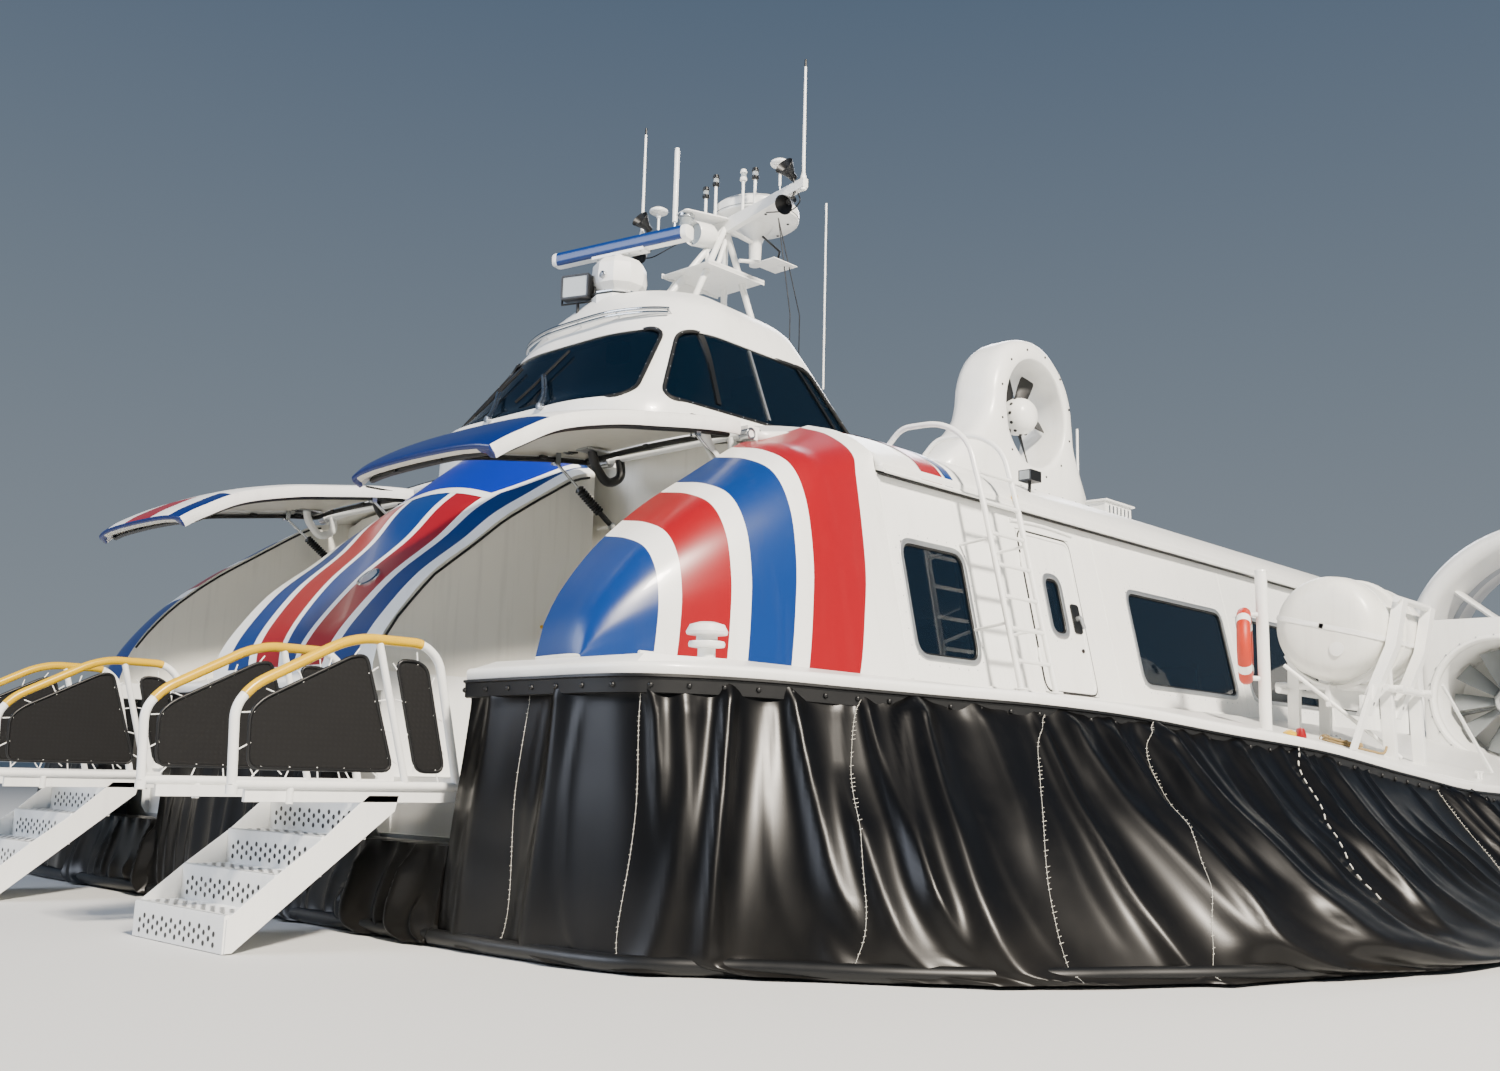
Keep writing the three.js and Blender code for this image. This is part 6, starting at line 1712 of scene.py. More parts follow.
def raft_post(name, side):
    """Post ahead of the canister with a lifebuoy, and the small deck gear beside it."""
    kit = Shape()
    px, py, foot = 4.14, side * 4.76, 1.41
    kit.tube([(px, py, foot), (px, py, 2.76)], 0.048, sides=20)
    kit.turned([(0, 0), (0.09, 0), (0.09, 0.014), (0.05, 0.02), (0, 0.02)], "z", (px, py, foot), 24)
    kit.turned([(0, 0), (0.051, 0), (0.046, 0.015), (0, 0.02)], "z", (px, py, 2.755), 20)
    cx, cy, cz = px + 0.12, py - side * 0.1, 2.14

    def on_ring(turn, radius=0.26):
        return cx + 0.93 * radius * cos(turn), cy + side * 0.37 * radius * cos(turn), cz + radius * sin(turn)

    kit.tube([on_ring(a) for a in circle(40)], 0.055, sides=14, mark=1, closed=True)
    for k in range(4):
        middle = pi / 4 + k * pi / 2
        kit.tube([on_ring(middle + t) for t in np.linspace(-0.13, 0.13, 5)], 0.0565, sides=14)
    kit.tube([on_ring(pi / 2), (px, py, cz + 0.26)], 0.02)
    kit.tube([on_ring(-pi / 2), (px, py, cz - 0.26)], 0.02)
    kit.turned([(0, 0), (0.04, 0), (0.045, 0.04), (0.03, 0.1), (0, 0.11)], "z", (4.2, side * 5.06, 1.375),
               20, 3)
    kit.turned([(0, 0), (0.05, 0), (0.05, 0.06), (0.02, 0.08), (0, 0.08)], "z", (4.34, side * 5.03, 1.38),
               20, 2)
    kit.piece(f"raft_post_{name}", ["white", "orange", "yellow", "red"], "orange_plastic")


ROPE = 0.022  # diameter of the mooring rope
TURN = 0.127  # radius of its coil
COIL = (3.41, 5.08)  # middle of its coil


def deck_rope():
    """Mooring rope of three strands, made fast to the raft cradle and wound into a coil on the port deck."""
    def rest(x, y, lift=0.0):
        return Vector((x, y, 1.363 + 0.05 * (x - 3.36) - 0.255 * (y - 5.1) + ROPE * 0.56 + lift))
    lead = [Vector((3.09, 5.33, 1.37)), rest(3.13, 5.325, 0.015), rest(3.18, 5.31), rest(3.24, 5.285),
            rest(3.32, 5.25)]
    turns = []
    for a in np.linspace(-0.1, 8 * pi - 0.6, 130):
        # Two turns inward on the deck, then two outward on top of them
        wide = TURN - 0.0235 + 0.0235 * abs(a - 4 * pi) / (2 * pi)
        lift = ROPE * 1.07 * min(1, max(0, (a - 4 * pi) / 0.8 + 0.5))
        turns.append(rest(COIL[0] + wide * sin(a), COIL[1] + wide * cos(a), lift))
    path = [Vector(p) for p in even(spline(lead + turns, 900), 460)]
    long = sum((b - a).length for a, b in zip(path, path[1:]))
    rings = []
    for i, p in enumerate(path):
        along = (path[min(i + 1, len(path) - 1)] - path[max(i - 1, 0)]).normalized()
        side = along.cross(Vector((0, 0, 1))).normalized()
        up = side.cross(along)
        lay = i * 0.55
        rings.append([p + (side * cos(a) + up * sin(a)) * ROPE / 2 * (0.92 + 0.08 * cos(3 * a + lay))
                      for a in circle(18)])
    made = Shape().loft(rings).piece("deck_rope", "rope", "rope", angle=80)
    knot = Shape()
    knot.dome(path[-1] - Vector((0, 0, 0.012)), (0, 0, 1), 0.022, 0.036, 0, 16)
    for turn in (0.9, 2.6, 4.3):
        out = Vector((sin(turn), cos(turn), 0))
        hold = rest(COIL[0] + TURN * out.x, COIL[1] + TURN * out.y, ROPE * 0.5)
        knot.tube([hold + out * 0.042 * cos(a) + Vector((0, 0, 0.03 * sin(a)))
                   for a in circle(24)], 0.004, sides=8, closed=True)
    tie = knot.piece("deck_rope_knot", "rope", "rope")
    tuple(path[0])
    [tuple(p) for p in path]


# Boarding stairs, hinged at the landing: inboard and outboard sides
STAIR_IN, STAIR_OUT = 1.19, 2.3
RAIL_LOW = 0.885  # height of the lower tube of the handrails
STAIR_FRONT, STAIR_GOING, STAIR_RISE = 11.61, 0.265, 0.2


def punched(shape, place, along, across, step, radius, mark):
    """Rows of round holes, drawn as dark discs just off a plate: the discs are painted shade standing in for
    the see-through holes.
    """
    for i in range(int(along / step)):
        for j in range(int(across / step)):
            u, v = (i + 0.5) * step, (j + 0.5 + 0.5 * (i % 2) - 0.25) * step
            if v + radius < across:
                ring = [place(u + radius * cos(a), v + radius * sin(a)) for a in circle(8)]
                shape.add(ring, [tuple(range(8))], mark)


def stairs(name, side):
    """Four perforated steps and a landing between laced handrails."""
    sizes = bpy.context.scene.craft_sizes
    a, b = STAIR_IN, STAIR_OUT
    plates, holes = Shape(), Shape()
    for step in range(4):
        front = STAIR_FRONT - step * STAIR_GOING
        top = (step + 1) * STAIR_RISE
        low = top - STAIR_RISE - (0.005 if step else 0)
        section = [(front - 0.025, low), (front, low), (front, top - 0.012), (front - 0.004, top - 0.003),
                   (front - 0.012, top), (front - STAIR_GOING - 0.02, top),
                   (front - STAIR_GOING - 0.02, top - 0.02), (front - 0.025, top - 0.02)]
        slab(plates, section, side * (a + 0.0125), side * (b - 0.0125))
        punched(holes, lambda u, v, f=front, t=top: (f + 0.0015, side * (a + 0.07 + u), t - 0.175 + v),
                b - a - 0.14, 0.15, sizes.hole_step, 0.0155, 0)
        punched(holes, lambda u, v, f=front, t=top: (f - 0.025 - v, side * (a + 0.07 + u), t + 0.0015),
                b - a - 0.14, 0.22, sizes.hole_step, 0.0155, 0)
        plates.box(front - 0.03, front - 0.006, side * (a + 0.02), side * (b - 0.02), top, top + 0.003, 1)
    plates.box(9.965, 10.6, side * (a + 0.031), side * (b - 0.031), 0.8, 0.85)
    punched(holes, lambda u, v: (10.02 + v, side * (a + 0.07 + u), 0.8515), b - a - 0.14, 0.54,
            sizes.hole_step, 0.0155, 0)
    for y in (a, b - 0.03):
        plates.box(9.96, 11.56, side * y, side * (y + 0.03), 0.79, 0.86)
    low = [(11.56, 0.004), (11.6, 0.004), (11.6, 0.18), (11.33, 0.4), (11.06, 0.6), (10.8, 0.83),
           (10.6, 0.83), (10.62, 0.74)]
    for y in (a, b - 0.012):
        slab(plates, low, side * y, side * (y + 0.012))
    for y in (a, b - 0.04):
        plates.tube([(9.96, side * (y + 0.005), 0.825), (9.96, side * (y + 0.035), 0.825)], 0.038, sides=20)
    plates.tube([(9.96, side * (a - 0.022), 0.825), (9.96, side * (b + 0.022), 0.825)], 0.015, sides=14,
                mark=2)
    body = f"boarding_stairs_{name}"
    made = plates.piece(f"stair_plates_{name}", ["white", "deck", "steel"], "aluminium", body=body,
                        replaces=f"boarding_stairs_{name}", angle=35)
    soften(made, 0.002, 1)
    # The black discs on the steps and landing are painted shade in place of the see-through holes
    holes.piece(f"stair_hole_shade_{name}", "black", "black_paint", body=body)
    for where, y in (("inner", a), ("outer", b)):
        stair_rail(f"{name}_{where}", y * side, body, sizes.rail)


def stair_rail(name, y, body, radius):
    """White tube loop with a yellow handhold, a black inner frame and a mesh panel laced to it."""
    loop = [(11.64, RAIL_LOW), (11.66, 1.3), (11.56, 1.42), (11.05, 1.69), (10.9, 1.73), (10.5, 1.73),
            (10.38, 1.64), (10.2, RAIL_LOW)]
    rail, net = Shape(), Shape()
    smooth = rounded([(x, y, z) for x, z in loop], 0.16, 7)
    rail.tube(smooth, radius, sides=16)
    rail.tube([(11.648, y, RAIL_LOW), (10.01, y, RAIL_LOW)], radius, sides=14)
    grip = [p for p in smooth if 1.36 < p[2] and p[0] > 10.5]
    rail.tube(grip, radius + 0.003, sides=16, mark=1)
    rail.tube([(10.8, y, 1.71), (10.56, y, RAIL_LOW)], 0.022, sides=12)
    rail.tube([(10.1, y, RAIL_LOW), (10.1, y, 0.83)], 0.022, sides=12)
    rail.tube([(11.3, y, RAIL_LOW), (11.3, y, 0.78)], 0.022, sides=12)
    rail.turned([(0, 0), (0.032, 0), (0.032, 0.05), (0, 0.055)], "z", (11.64, y, 0.83), 16)
    lines = (((11.56, 0.97), (11.57, 1.27), (11.5, 1.345), (10.97, 1.62), (10.88, 1.63), (10.66, 0.97)),
             ((10.68, 1.62), (10.53, 1.62), (10.46, 1.58), (10.3, 0.97), (10.5, 0.97)))
    for line in lines:
        flat = rounded([(x, y, z) for x, z in line], 0.07, 4, closed=True)
        rail.tube(flat, 0.011, sides=8, mark=2, closed=True)
        middle = Vector(np.mean([p[:] for p in flat], axis=0))
        net.add([middle.lerp(p, 0.985) + Vector((0, 0.001, 0)) for p in flat], [tuple(range(len(flat)))])
        net.add([middle.lerp(p, 0.985) - Vector((0, 0.001, 0)) for p in flat],
                [tuple(range(len(flat)))[::-1]])
        for p in even(flat + [flat[0]],
                      max(10, int(sum((q - r).length for q, r in zip(flat, flat[1:])) / 0.11)))[:-1]:
            outward_way = (Vector(p) - middle).normalized()
            start = Vector(p) - outward_way * 0.014
            rail.tube([start, start + outward_way * 0.075], 0.0045, sides=5)
    rail.piece(f"stair_rail_{name}", ["white", "yellow", "black"], "white_paint", body=body, angle=50)
    net.piece(f"stair_net_{name}", "mesh", "mesh_fabric", body=body, weld=False)


def vents_and_posts():
    """Mushroom vents and cleats on the bow deck, and the low details of the side decks."""
    kit = Shape()
    for _, side in SIDES:
        y = side * 3.94
        kit.turned([(0, 1.585), (0.09, 1.585), (0.09, 1.6), (0.05, 1.61), (0.05, 1.7), (0.1, 1.705),
                    (0.105, 1.72), (0.1, 1.735), (0.06, 1.74), (0.06, 1.77), (0.115, 1.775), (0.12, 1.79),
                    (0.1, 1.83), (0.05, 1.845), (0, 1.85)], "z", (9.73, y, 0.0))
        for x, v in ((9.95, 3.72), (2.0, 5.72), (-3.0, 5.72)):
            low = 1.6 if x > 5 else 1.13
            kit.tube([(x - 0.09, side * v, low + 0.06), (x + 0.09, side * v, low + 0.06)], 0.012)
            for dx in (-0.04, 0.04):
                kit.tube([(x + dx, side * v, low - 0.03), (x + dx, side * v, low + 0.06)], 0.012)
    # Floodlights and small lamps of the cabin side
    for _, side in SIDES:
        kit.box(5.48, 5.64, side * 3.4, side * 3.52, 3.43, 3.52, 1)
        kit.box(5.64, 5.646, side * 3.415, side * 3.505, 3.44, 3.51, 2)
        kit.tube([(5.56, side * 3.45, 3.3), (5.56, side * 3.46, 3.45)], 0.014, mark=1)
        kit.turned([(0, 0), (0.03, 0), (0.028, 0.03), (0, 0.04)], "y", (6.05, side * 3.61, 3.2), 16, 3)
        kit.tube([(2.6, side * 2.2, 3.7), (2.6, side * 2.2, 4.66)], 0.014)
    kit.piece("deck_and_side_fittings", ["white", "black", "clear", "yellow"], "white_paint")


# Stern: engine modules, lift fans, propeller ducts and rudders
DUCT_X, DUCT_Y, DUCT_Z, DUCT_BORE = -8.0, 3.95, 3.0, 1.78
RUDDER_X = -10.23
# Sections of an engine module: x, inboard and outboard side, top, and radius of its upper corners
MODULE = [(-7.3, 3.1, 4.8, 2.9, 0.4), (-5.2, 3.4, 5.6, 2.95, 0.3), (-1.65, 4.15, 5.65, 2.95, 0.2)]
MODULE_X, MODULE_IN, MODULE_OUT, MODULE_TOP, MODULE_TURN = zip(*MODULE)
LIFT = (-2.15, 4.92, 2.04)  # middle of the port lift fan


def module_ring(x, side, steps=7):
    """Rounded section of an engine module at a length."""
    y0, y1, top, turn = read_at(x, MODULE_X, MODULE_IN, MODULE_OUT, MODULE_TOP, MODULE_TURN)
    path = [Vector((x, y0, 1.3)), Vector((x, y1, 1.3)), Vector((x, y1, top)), Vector((x, y0, top))]
    ring = [path[0], path[1]]
    for tip, before, after in ((path[2], path[1], path[3]), (path[3], path[2], path[0])):
        start = tip + (before - tip).normalized() * turn
        end = tip + (after - tip).normalized() * turn
        ring += corner(start, tip, end, steps)
    return [(p.x, p.y * side, p.z) for p in ring]


def engine_module(name, side):
    """Smooth cowling with the lift fan's mouth, louvres, access panels and their bolts."""
    stations = [-1.65, -1.66, *np.linspace(-1.9, -7.0, 24), -7.25, -7.3]
    rings = [module_ring(x, side) for x in stations]
    middle = [Vector(np.mean(ring, axis=0)) for ring in (rings[0], rings[-1])]
    rings[0] = [tuple(Vector(p).lerp(middle[0], 0.02)) for p in rings[0]]
    rings[-1] = [tuple(Vector(p).lerp(middle[1], 0.03)) for p in rings[-1]]
    x, y, z = -1.9, side * LIFT[1], LIFT[2]
    mouth = Shape().turned([(0, 0.3), (0.7, 0.3), (0.7, 0.24), (0.665, 0.12), (0.645, 0.0), (0.64, -0.7),
                            (0, -0.7)], "x", (x, y, z), 64)
    shell = carved(Shape().loft(rings), mouth)
    shell.piece(f"module_cowling_{name}", "white", "white_paint", replaces=f"engine_module_{name}", angle=32)
    trim = Shape()
    lip = [(0.652, 0.16), (0.66, 0.235), (0.68, 0.262), (0.705, 0.262), (0.725, 0.245), (0.735, 0.235),
           (0.66, 0.14)]
    trim.turned(lip, "x", (x, y, z), 72)
    trim.turned([(0, -0.69), (0.1, -0.69), (0.18, -0.66), (0.18, -0.57), (0, -0.569)], "x", (x, y, z), 28, 1)
    for k in range(8):
        a = k * pi / 4 + 0.2
        trim.loft([[(x - 0.62 + dx, y + cos(a) * r - sin(a) * w, z + sin(a) * r + cos(a) * w)
                    for dx, w in ((0, -0.012), (0.16, -0.012), (0.16, 0.012), (0, 0.012))]
                   for r in (0.17, 0.645)], 1)
    for spot, _ in spots_round((x + 0.258, y, z), 0.715, 24, "x"):
        trim.dome(spot, (1, 0, 0), 0.012, 0.01, 3, 6)
    # Louvre banks and access panels along the outboard side and the top
    for start in (-4.7, -3.6):
        out = side * (float(np.interp(start, MODULE_X, MODULE_OUT)) + 0.006)
        # Black plate behind the blades: painted shade in the louvre openings
        trim.box(start, start + 0.8, out - 0.012, out, 1.86, 2.6, 2)
        for k in range(9):
            low = 1.88 + k * 0.078
            trim.add([(start, out, low), (start + 0.8, out, low),
                      (start + 0.8, out + side * 0.035, low + 0.015),
                      (start, out + side * 0.035, low + 0.015), (start, out, low + 0.04),
                      (start + 0.8, out, low + 0.04)],
                     [(0, 1, 2, 3), (3, 2, 5, 4), (0, 3, 4), (1, 5, 2), (0, 4, 5, 1)])
        for x0, x1, z0, z1 in ((-0.03, 0.83, 1.83, 1.86), (-0.03, 0.83, 2.6, 2.63), (-0.03, 0, 1.83, 2.63),
                               (0.8, 0.83, 1.83, 2.63)):
            trim.box(start + x0, start + x1, out - side * 0.01, out + side * 0.02, z0, z1)
    for start, end in ((-2.9, -2.1), (-4.9, -4.0), (-6.6, -5.6)):
        edge = outline(rectangle(start, end, side * 4.4 - 0.35, side * 4.4 + 0.35), 0.08)
        pane(trim, edge, 2.93, 2.957)
        for u, v in edge[::3]:
            trim.dome((u, v, 2.957), (0, 0, 1), 0.009, 0.006, 3, 6)
    for k in range(5):
        trim.tube([(-6.9, side * (3.5 + k * 0.22), 2.91), (-6.3, side * (3.5 + k * 0.22), 2.95)], 0.012,
                  mark=2)
    trim.tube([(-5.9, side * 4.1, 2.8), (-5.9, side * 4.1, 3.12), (-6.05, side * 4.1, 3.3)], 0.09, sides=24,
              mark=1)
    made = trim.piece(f"module_trim_{name}", ["white", "grey", "black", "steel"], "grey_paint", angle=35)
    soften(made, 0.002, 1)
    lift_fan(name, (LIFT[0], y, z))
    dress(f"engine_{name}", "grey", 0.03)


def lift_fan(name, centre):
    """Hub, shaft and vanes of a lift fan."""
    fan = Shape()
    fx, y, z = centre
    fan.turned([(0, -0.09), (0.19, -0.09), (0.19, -0.02), (0.17, 0.06), (0.13, 0.12), (0.08, 0.15),
                (0, 0.17)], "x", (fx, y, z), 40, 1)
    fan.tube([(fx - 0.05, y, z), (-2.469, y, z)], 0.05, sides=20, mark=1)
    fan.spread(10, [[(chord * cos(a) * sin(pitch) - thick * sin(a) * cos(pitch), r,
                      chord * cos(a) * cos(pitch) + thick * sin(a) * sin(pitch)) for a in circle(12)]
                    for r, chord, pitch, thick in LIFT_BLADE], (fx, y, z), "X")
    fan.piece(f"lift_fan_vanes_{name}", ["grey", "steel"], "steel", body=f"lift_fan_{name}",
              replaces=f"lift_fan_{name}", angle=45)


def duct(name, side):
    """Smooth propeller duct with a rounded lip, stays, hub, foot and rudder arms."""
    x, y, z = DUCT_X, side * DUCT_Y, DUCT_Z
    ring = Shape()
    wall = [(1.91, 0.0), (1.97, 0.028), (2.03, 0.02), (2.09, -0.04), (2.125, -0.12), (2.138, -0.2),
            (2.135, -0.35), (2.1, -0.6), (2.04, -1.1), (1.985, -1.6), (1.97, -1.88), (1.95, -1.9),
            (1.84, -1.9), (1.82, -1.88), (1.80, -1.4), (1.78, -0.9), (1.78, -0.5), (1.79, -0.3),
            (1.81, -0.15), (1.85, -0.05)]
    ring.turned(wall, "x", (x, y, z), 128)
    ring.turned([(2.139, -0.42), (2.142, -0.42), (2.137, -0.445), (2.134, -0.445)], "x", (x, y, z), 128, 1)
    ring.turned(rectangle(1.7795, 1.776, -0.95, -1.2), "x", (x, y, z), 128, 2)
    kit = Shape()
    kit.turned([(0, -0.03), (0.12, -0.04), (0.2, -0.09), (0.232, -0.16), (0.25, -0.5), (0.2, -0.82),
                (0.0625, -0.83), (0.0625, -0.66), (0, -0.66)], "x", (x, y, z), 48)
    for deg in (20, 140, 260):
        a = radians(deg)
        c, s = side * cos(a), sin(a)
        rings = []
        for r in (0.2, 0.5, 1.2, 1.79):
            chord = 0.2 if 0.3 < r < 1.7 else 0.25
            rings.append([(x - 0.6 + chord * cos(t), y + c * r - s * 0.045 * sin(t),
                           z + s * r + c * 0.045 * sin(t)) for t in circle(16)])
        kit.loft(rings)
    foot = []
    for u in (-0.24, -0.28, -1.62, -1.66):
        grow = 0.03 if u in (-0.24, -1.66) else 0.0
        low, high, top = 1.1 - grow, 0.7 - grow, z - DUCT_BORE - 0.06
        foot.append([(x + u, y + a * low, 1.05) for a in (-1, 1)]
                    + [(x + u, y + a * high, top - grow) for a in (1, -1)])
    kit.loft(foot)
    for v in (-0.7, 0.7):
        reach = sqrt(DUCT_BORE ** 2 - v ** 2) - 0.12
        for up in (1, -1):
            yy = y + side * v
            bracket = [(RUDDER_X - 0.06, 0.006), (RUDDER_X - 0.06, 0.08), (RUDDER_X + 0.06, 0.16),
                       (-9.79, 0.25), (-9.79, 0.006)]
            for near, far in ((-0.025, -0.006), (0.006, 0.025)):
                slab(kit, [(u, z + up * (reach + h)) for u, h in bracket], yy + near, yy + far)
            kit.turned(rectangle(0.0208, 0.05, 0.006, 0.05), "z",
                       (RUDDER_X, yy, z + up * reach + (0 if up > 0 else -0.056)), 24, 1)
    for spot, way in spots_round((x - 0.45, y, z), 2.132, 28, "x"):
        kit.dome(spot, way, 0.014, 0.01, 1, 6)
    ring.piece(f"duct_ring_{name}", ["white", "grey", "aluminium"], "white_paint",
               replaces=f"propeller_duct_{name}", angle=45)
    made = kit.piece(f"duct_kit_{name}", ["white", "steel"], "white_paint", angle=35)
    soften(made, 0.004, 2)


def propeller(name, side):
    """Five twisted blades on a spinner."""
    x, y, z = DUCT_X - 1.05, side * DUCT_Y, DUCT_Z
    spin = Shape()
    spin.turned([(0, 0.195), (0.21, 0.193), (0.23, 0.17), (0.23, -0.12), (0.2, -0.2), (0.12, -0.275),
                 (0.06, -0.31), (0, -0.32)], "x", (x, y, z), 48, 1)
    spin.turned(rectangle(0, 0.06, -0.9, -0.7), "x", (DUCT_X, y, z), 32, 2)
    rings = []
    for r, chord, pitch, thick in PROPELLER_BLADE:
        ring = []
        for a in circle(18):
            u, v = chord * cos(a), thick * sin(a)
            ring.append((u * sin(pitch) - v * cos(pitch), side * (u * cos(pitch) + v * sin(pitch)), r))
        rings.append(ring)
    # Yellow band near the tip of each blade
    spin.spread(5, rings, (x, y, z), "X", lambda r, c: 3 if r == 4 else 0)
    spin.piece(f"propeller_blades_{name}", ["black", "white", "steel", "yellow"], "blade_black",
               body=f"propeller_{name}", replaces=f"propeller_{name}", angle=45)


def rudders(name, side):
    """Tapered leaves with rivet rows along their ribs, on a steel stock."""
    for where, v in (("inner", -0.7), ("outer", 0.7)):
        y = side * (DUCT_Y + v)
        reach = sqrt(DUCT_BORE ** 2 - v ** 2) - 0.12
        foil = [(-0.25, 0), (-0.235, 0.022), (-0.18, 0.05), (-0.1, 0.064), (0, 0.07), (0.2, 0.055),
                (0.4, 0.03), (0.6, 0.012), (0.72, 0.002)]
        section = foil + [(u, -v2) for u, v2 in reversed(foil[1:-1])]
        leaf = Shape()
        leaf.loft([[(RUDDER_X - u, y + w, h) for u, w in section]
                   for h in np.linspace(DUCT_Z - reach, DUCT_Z + reach, 9)])
        for h in np.linspace(DUCT_Z - reach + 0.2, DUCT_Z + reach - 0.2, 6):
            for sign in (1, -1):
                for u in (-0.15, 0.0, 0.2, 0.42):
                    half = float(np.interp(u, [p[0] for p in foil], [p[1] for p in foil]))
                    leaf.dome((RUDDER_X - u, y + sign * (half - 0.001), h), (0, sign, 0), 0.008, 0.004, 0, 6)
        leaf.tube([(RUDDER_X, y, DUCT_Z - reach - 0.055), (RUDDER_X, y, DUCT_Z + reach + 0.055)], 0.02,
                  sides=20, mark=1)
        leaf.piece(f"rudder_leaf_{name}_{where}", ["red" if where == "outer" else "white", "steel"],
                   "red_paint", body=f"rudder_{name}_{where}", replaces=f"rudder_{name}_{where}", angle=45)


# Seats
def cushion(shape, x0, x1, y0, y1, z0, z1, crown, mark=0, steps=8):
    """A stuffed form: a soft box with crowned faces."""
    rings = []
    cx, cy, hx, hy = (x0 + x1) / 2, (y0 + y1) / 2, (x1 - x0) / 2, (y1 - y0) / 2
    for k in range(steps + 1):
        a = -pi / 2 + pi * k / steps
        lift, pull_in = sin(a), cos(a) ** 0.25 if 0 < k < steps else 0.0
        z = (z0 + z1) / 2 + (z1 - z0) / 2 * copysign(abs(lift) ** 0.7, lift)
        grow = 0.6 if k in (0, steps) else 0.86 + 0.14 * pull_in
        bulge = crown if k == steps else 0
        ring = []
        for t in circle(20):
            c, s = cos(t), sin(t)
            ring.append((cx + hx * grow * copysign(abs(c) ** 0.45, c),
                         cy + hy * grow * copysign(abs(s) ** 0.45, s), z + bulge))
        rings.append(ring)
    shape.loft(rings, mark)


SEAT_ROWS, SEAT_FRONT, SEAT_STEP = 8, 6.5, 1.08


def cabin_seats():
    """Rows of passenger seats with stuffed cushions and backs on pale shells."""
    soft, frames = Shape(), Shape()
    frames.box(-2.2, 7.3, -3.3, 3.3, 1.0603, 1.1, 2)
    for row in range(SEAT_ROWS):
        x = SEAT_FRONT - row * SEAT_STEP
        for y0, y1, count in ((-3.25, -1.2, 4), (-0.85, 0.85, 3), (1.2, 3.25, 4)):
            width = (y1 - y0) / count
            frames.box(x + 0.04, x + 0.44, y0 + 0.03, y1 - 0.03, 1.3, 1.36, 1)
            for y in (y0 + 0.2, y1 - 0.2):
                frames.box(x + 0.12, x + 0.32, y - 0.02, y + 0.02, 1.09, 1.31, 1)
            for k in range(count):
                a = y0 + k * width
                cushion(soft, x, x + 0.48, a + 0.02, a + width - 0.02, 1.36, 1.5, 0.0)
                cushion(soft, x - 0.1, x + 0.01, a + 0.03, a + width - 0.03, 1.44, 2.18, 0.0)
                frames.loft([[(x - 0.12, a + 0.02 + w, z), (x - 0.085, a + 0.02 + w, z)] +
                             [(x - 0.085, a + width - 0.02 - w, z), (x - 0.12, a + width - 0.02 - w, z)]
                             for z, w in ((1.3, 0.01), (2.0, 0.0), (2.2, 0.02), (2.24, 0.07))])
            for k in range(count + 1):
                a = y0 + k * width
                frames.box(x, x + 0.34, a - 0.02, a + 0.02, 1.56, 1.6, 1)
                frames.box(x - 0.09, x - 0.03, a - 0.015, a + 0.015, 1.36, 1.6, 1)
    made = soft.piece("cabin_seat_cushions", "seat", "seat_fabric", replaces="cabin_seats", angle=60)
    frames.piece("cabin_seat_shells", ["moulded", "plastic", "grey"], "gloss_white_plastic")


def bridge():
    """Floor, console with screens, and the two seats of the wheelhouse."""
    kit, soft = Shape(), Shape()
    kit.box(5.255, 7.445, -1.245, 1.245, 3.75, 3.77)
    slope = [(7.1, 3.77), (7.45, 3.77), (7.45, 4.15), (7.3, 4.17), (7.12, 4.1)]
    slab(kit, slope, -1.0, 1.0)
    for y in (-0.72, -0.25, 0.25, 0.72):
        screen = Shape()
        screen.loft([[(d, u, v) for u, v in outline(rectangle(-0.19, 0.19, -0.13, 0.13), 0.02, by)]
                     for d, by in ((-0.03, -0.01), (-0.004, 0), (0, -0.004))])
        screen.loft([[(d, u, v) for u, v in outline(rectangle(-0.17, 0.17, -0.11, 0.11), 0.01)]
                     for d in (-0.002, -0.005)], 1)
        screen.move(placed((7.2, y, 4.29), radians(-20), "Y"))
        kit.join(screen)
    hub = (7.02, 0.5, 4.16)
    kit.tube([spot for spot, _ in spots_round(hub, 0.16, 28, "x")], 0.014, sides=8, closed=True)
    for a in (0.5, 2.6, 4.7):
        kit.tube([hub, (hub[0], hub[1] + 0.16 * cos(a), hub[2] + 0.16 * sin(a))], 0.01, mark=2)
    kit.tube([hub, (7.12, 0.5, 4.12)], 0.03)
    kit.box(7.0, 7.12, -0.1, 0.1, 4.74, 4.92)
    kit.tube([(7.35, 0.95, 4.45), (7.4, 0.95, 4.62)], 0.012, mark=2)
    for y in (-0.55, 0.55):
        kit.turned([(0, 3.77), (0.2, 3.77), (0.2, 3.79), (0.05, 3.82), (0.05, 4.02), (0.16, 4.05),
                    (0, 4.06)], "z", (6.25, y, 0), 24, 2)
        cushion(soft, 6.0, 6.5, y - 0.25, y + 0.25, 4.03, 4.17, 0.0)
        cushion(soft, 5.9, 6.02, y - 0.24, y + 0.24, 4.12, 4.56, 0.0)
        cushion(soft, 5.89, 5.99, y - 0.14, y + 0.14, 4.55, 4.74, 0.0)
        for v in (-0.27, 0.27):
            kit.box(6.0, 6.32, y + v - 0.03, y + v + 0.03, 4.3, 4.35)
            kit.box(5.99, 6.04, y + v - 0.015, y + v + 0.015, 4.1, 4.32)
    made = kit.piece("bridge_console", ["plastic", "black", "steel"], "dark_plastic",
                     replaces="wheelhouse_seats", angle=35)
    soften(made, 0.004, 1)
    soft.piece("bridge_seat_cushions", "plastic", "dark_plastic", angle=60)


CAMERA_SPOT = (15.3, 9.5, 1.0)
CAMERA_RIGHT, CAMERA_UP = Vector((-0.6823, 0.7306, 0.0256)), Vector((0.1407, 0.0968, 0.9853))
FLOOR_RADIUS, FLOOR_Z = 260, -0.004


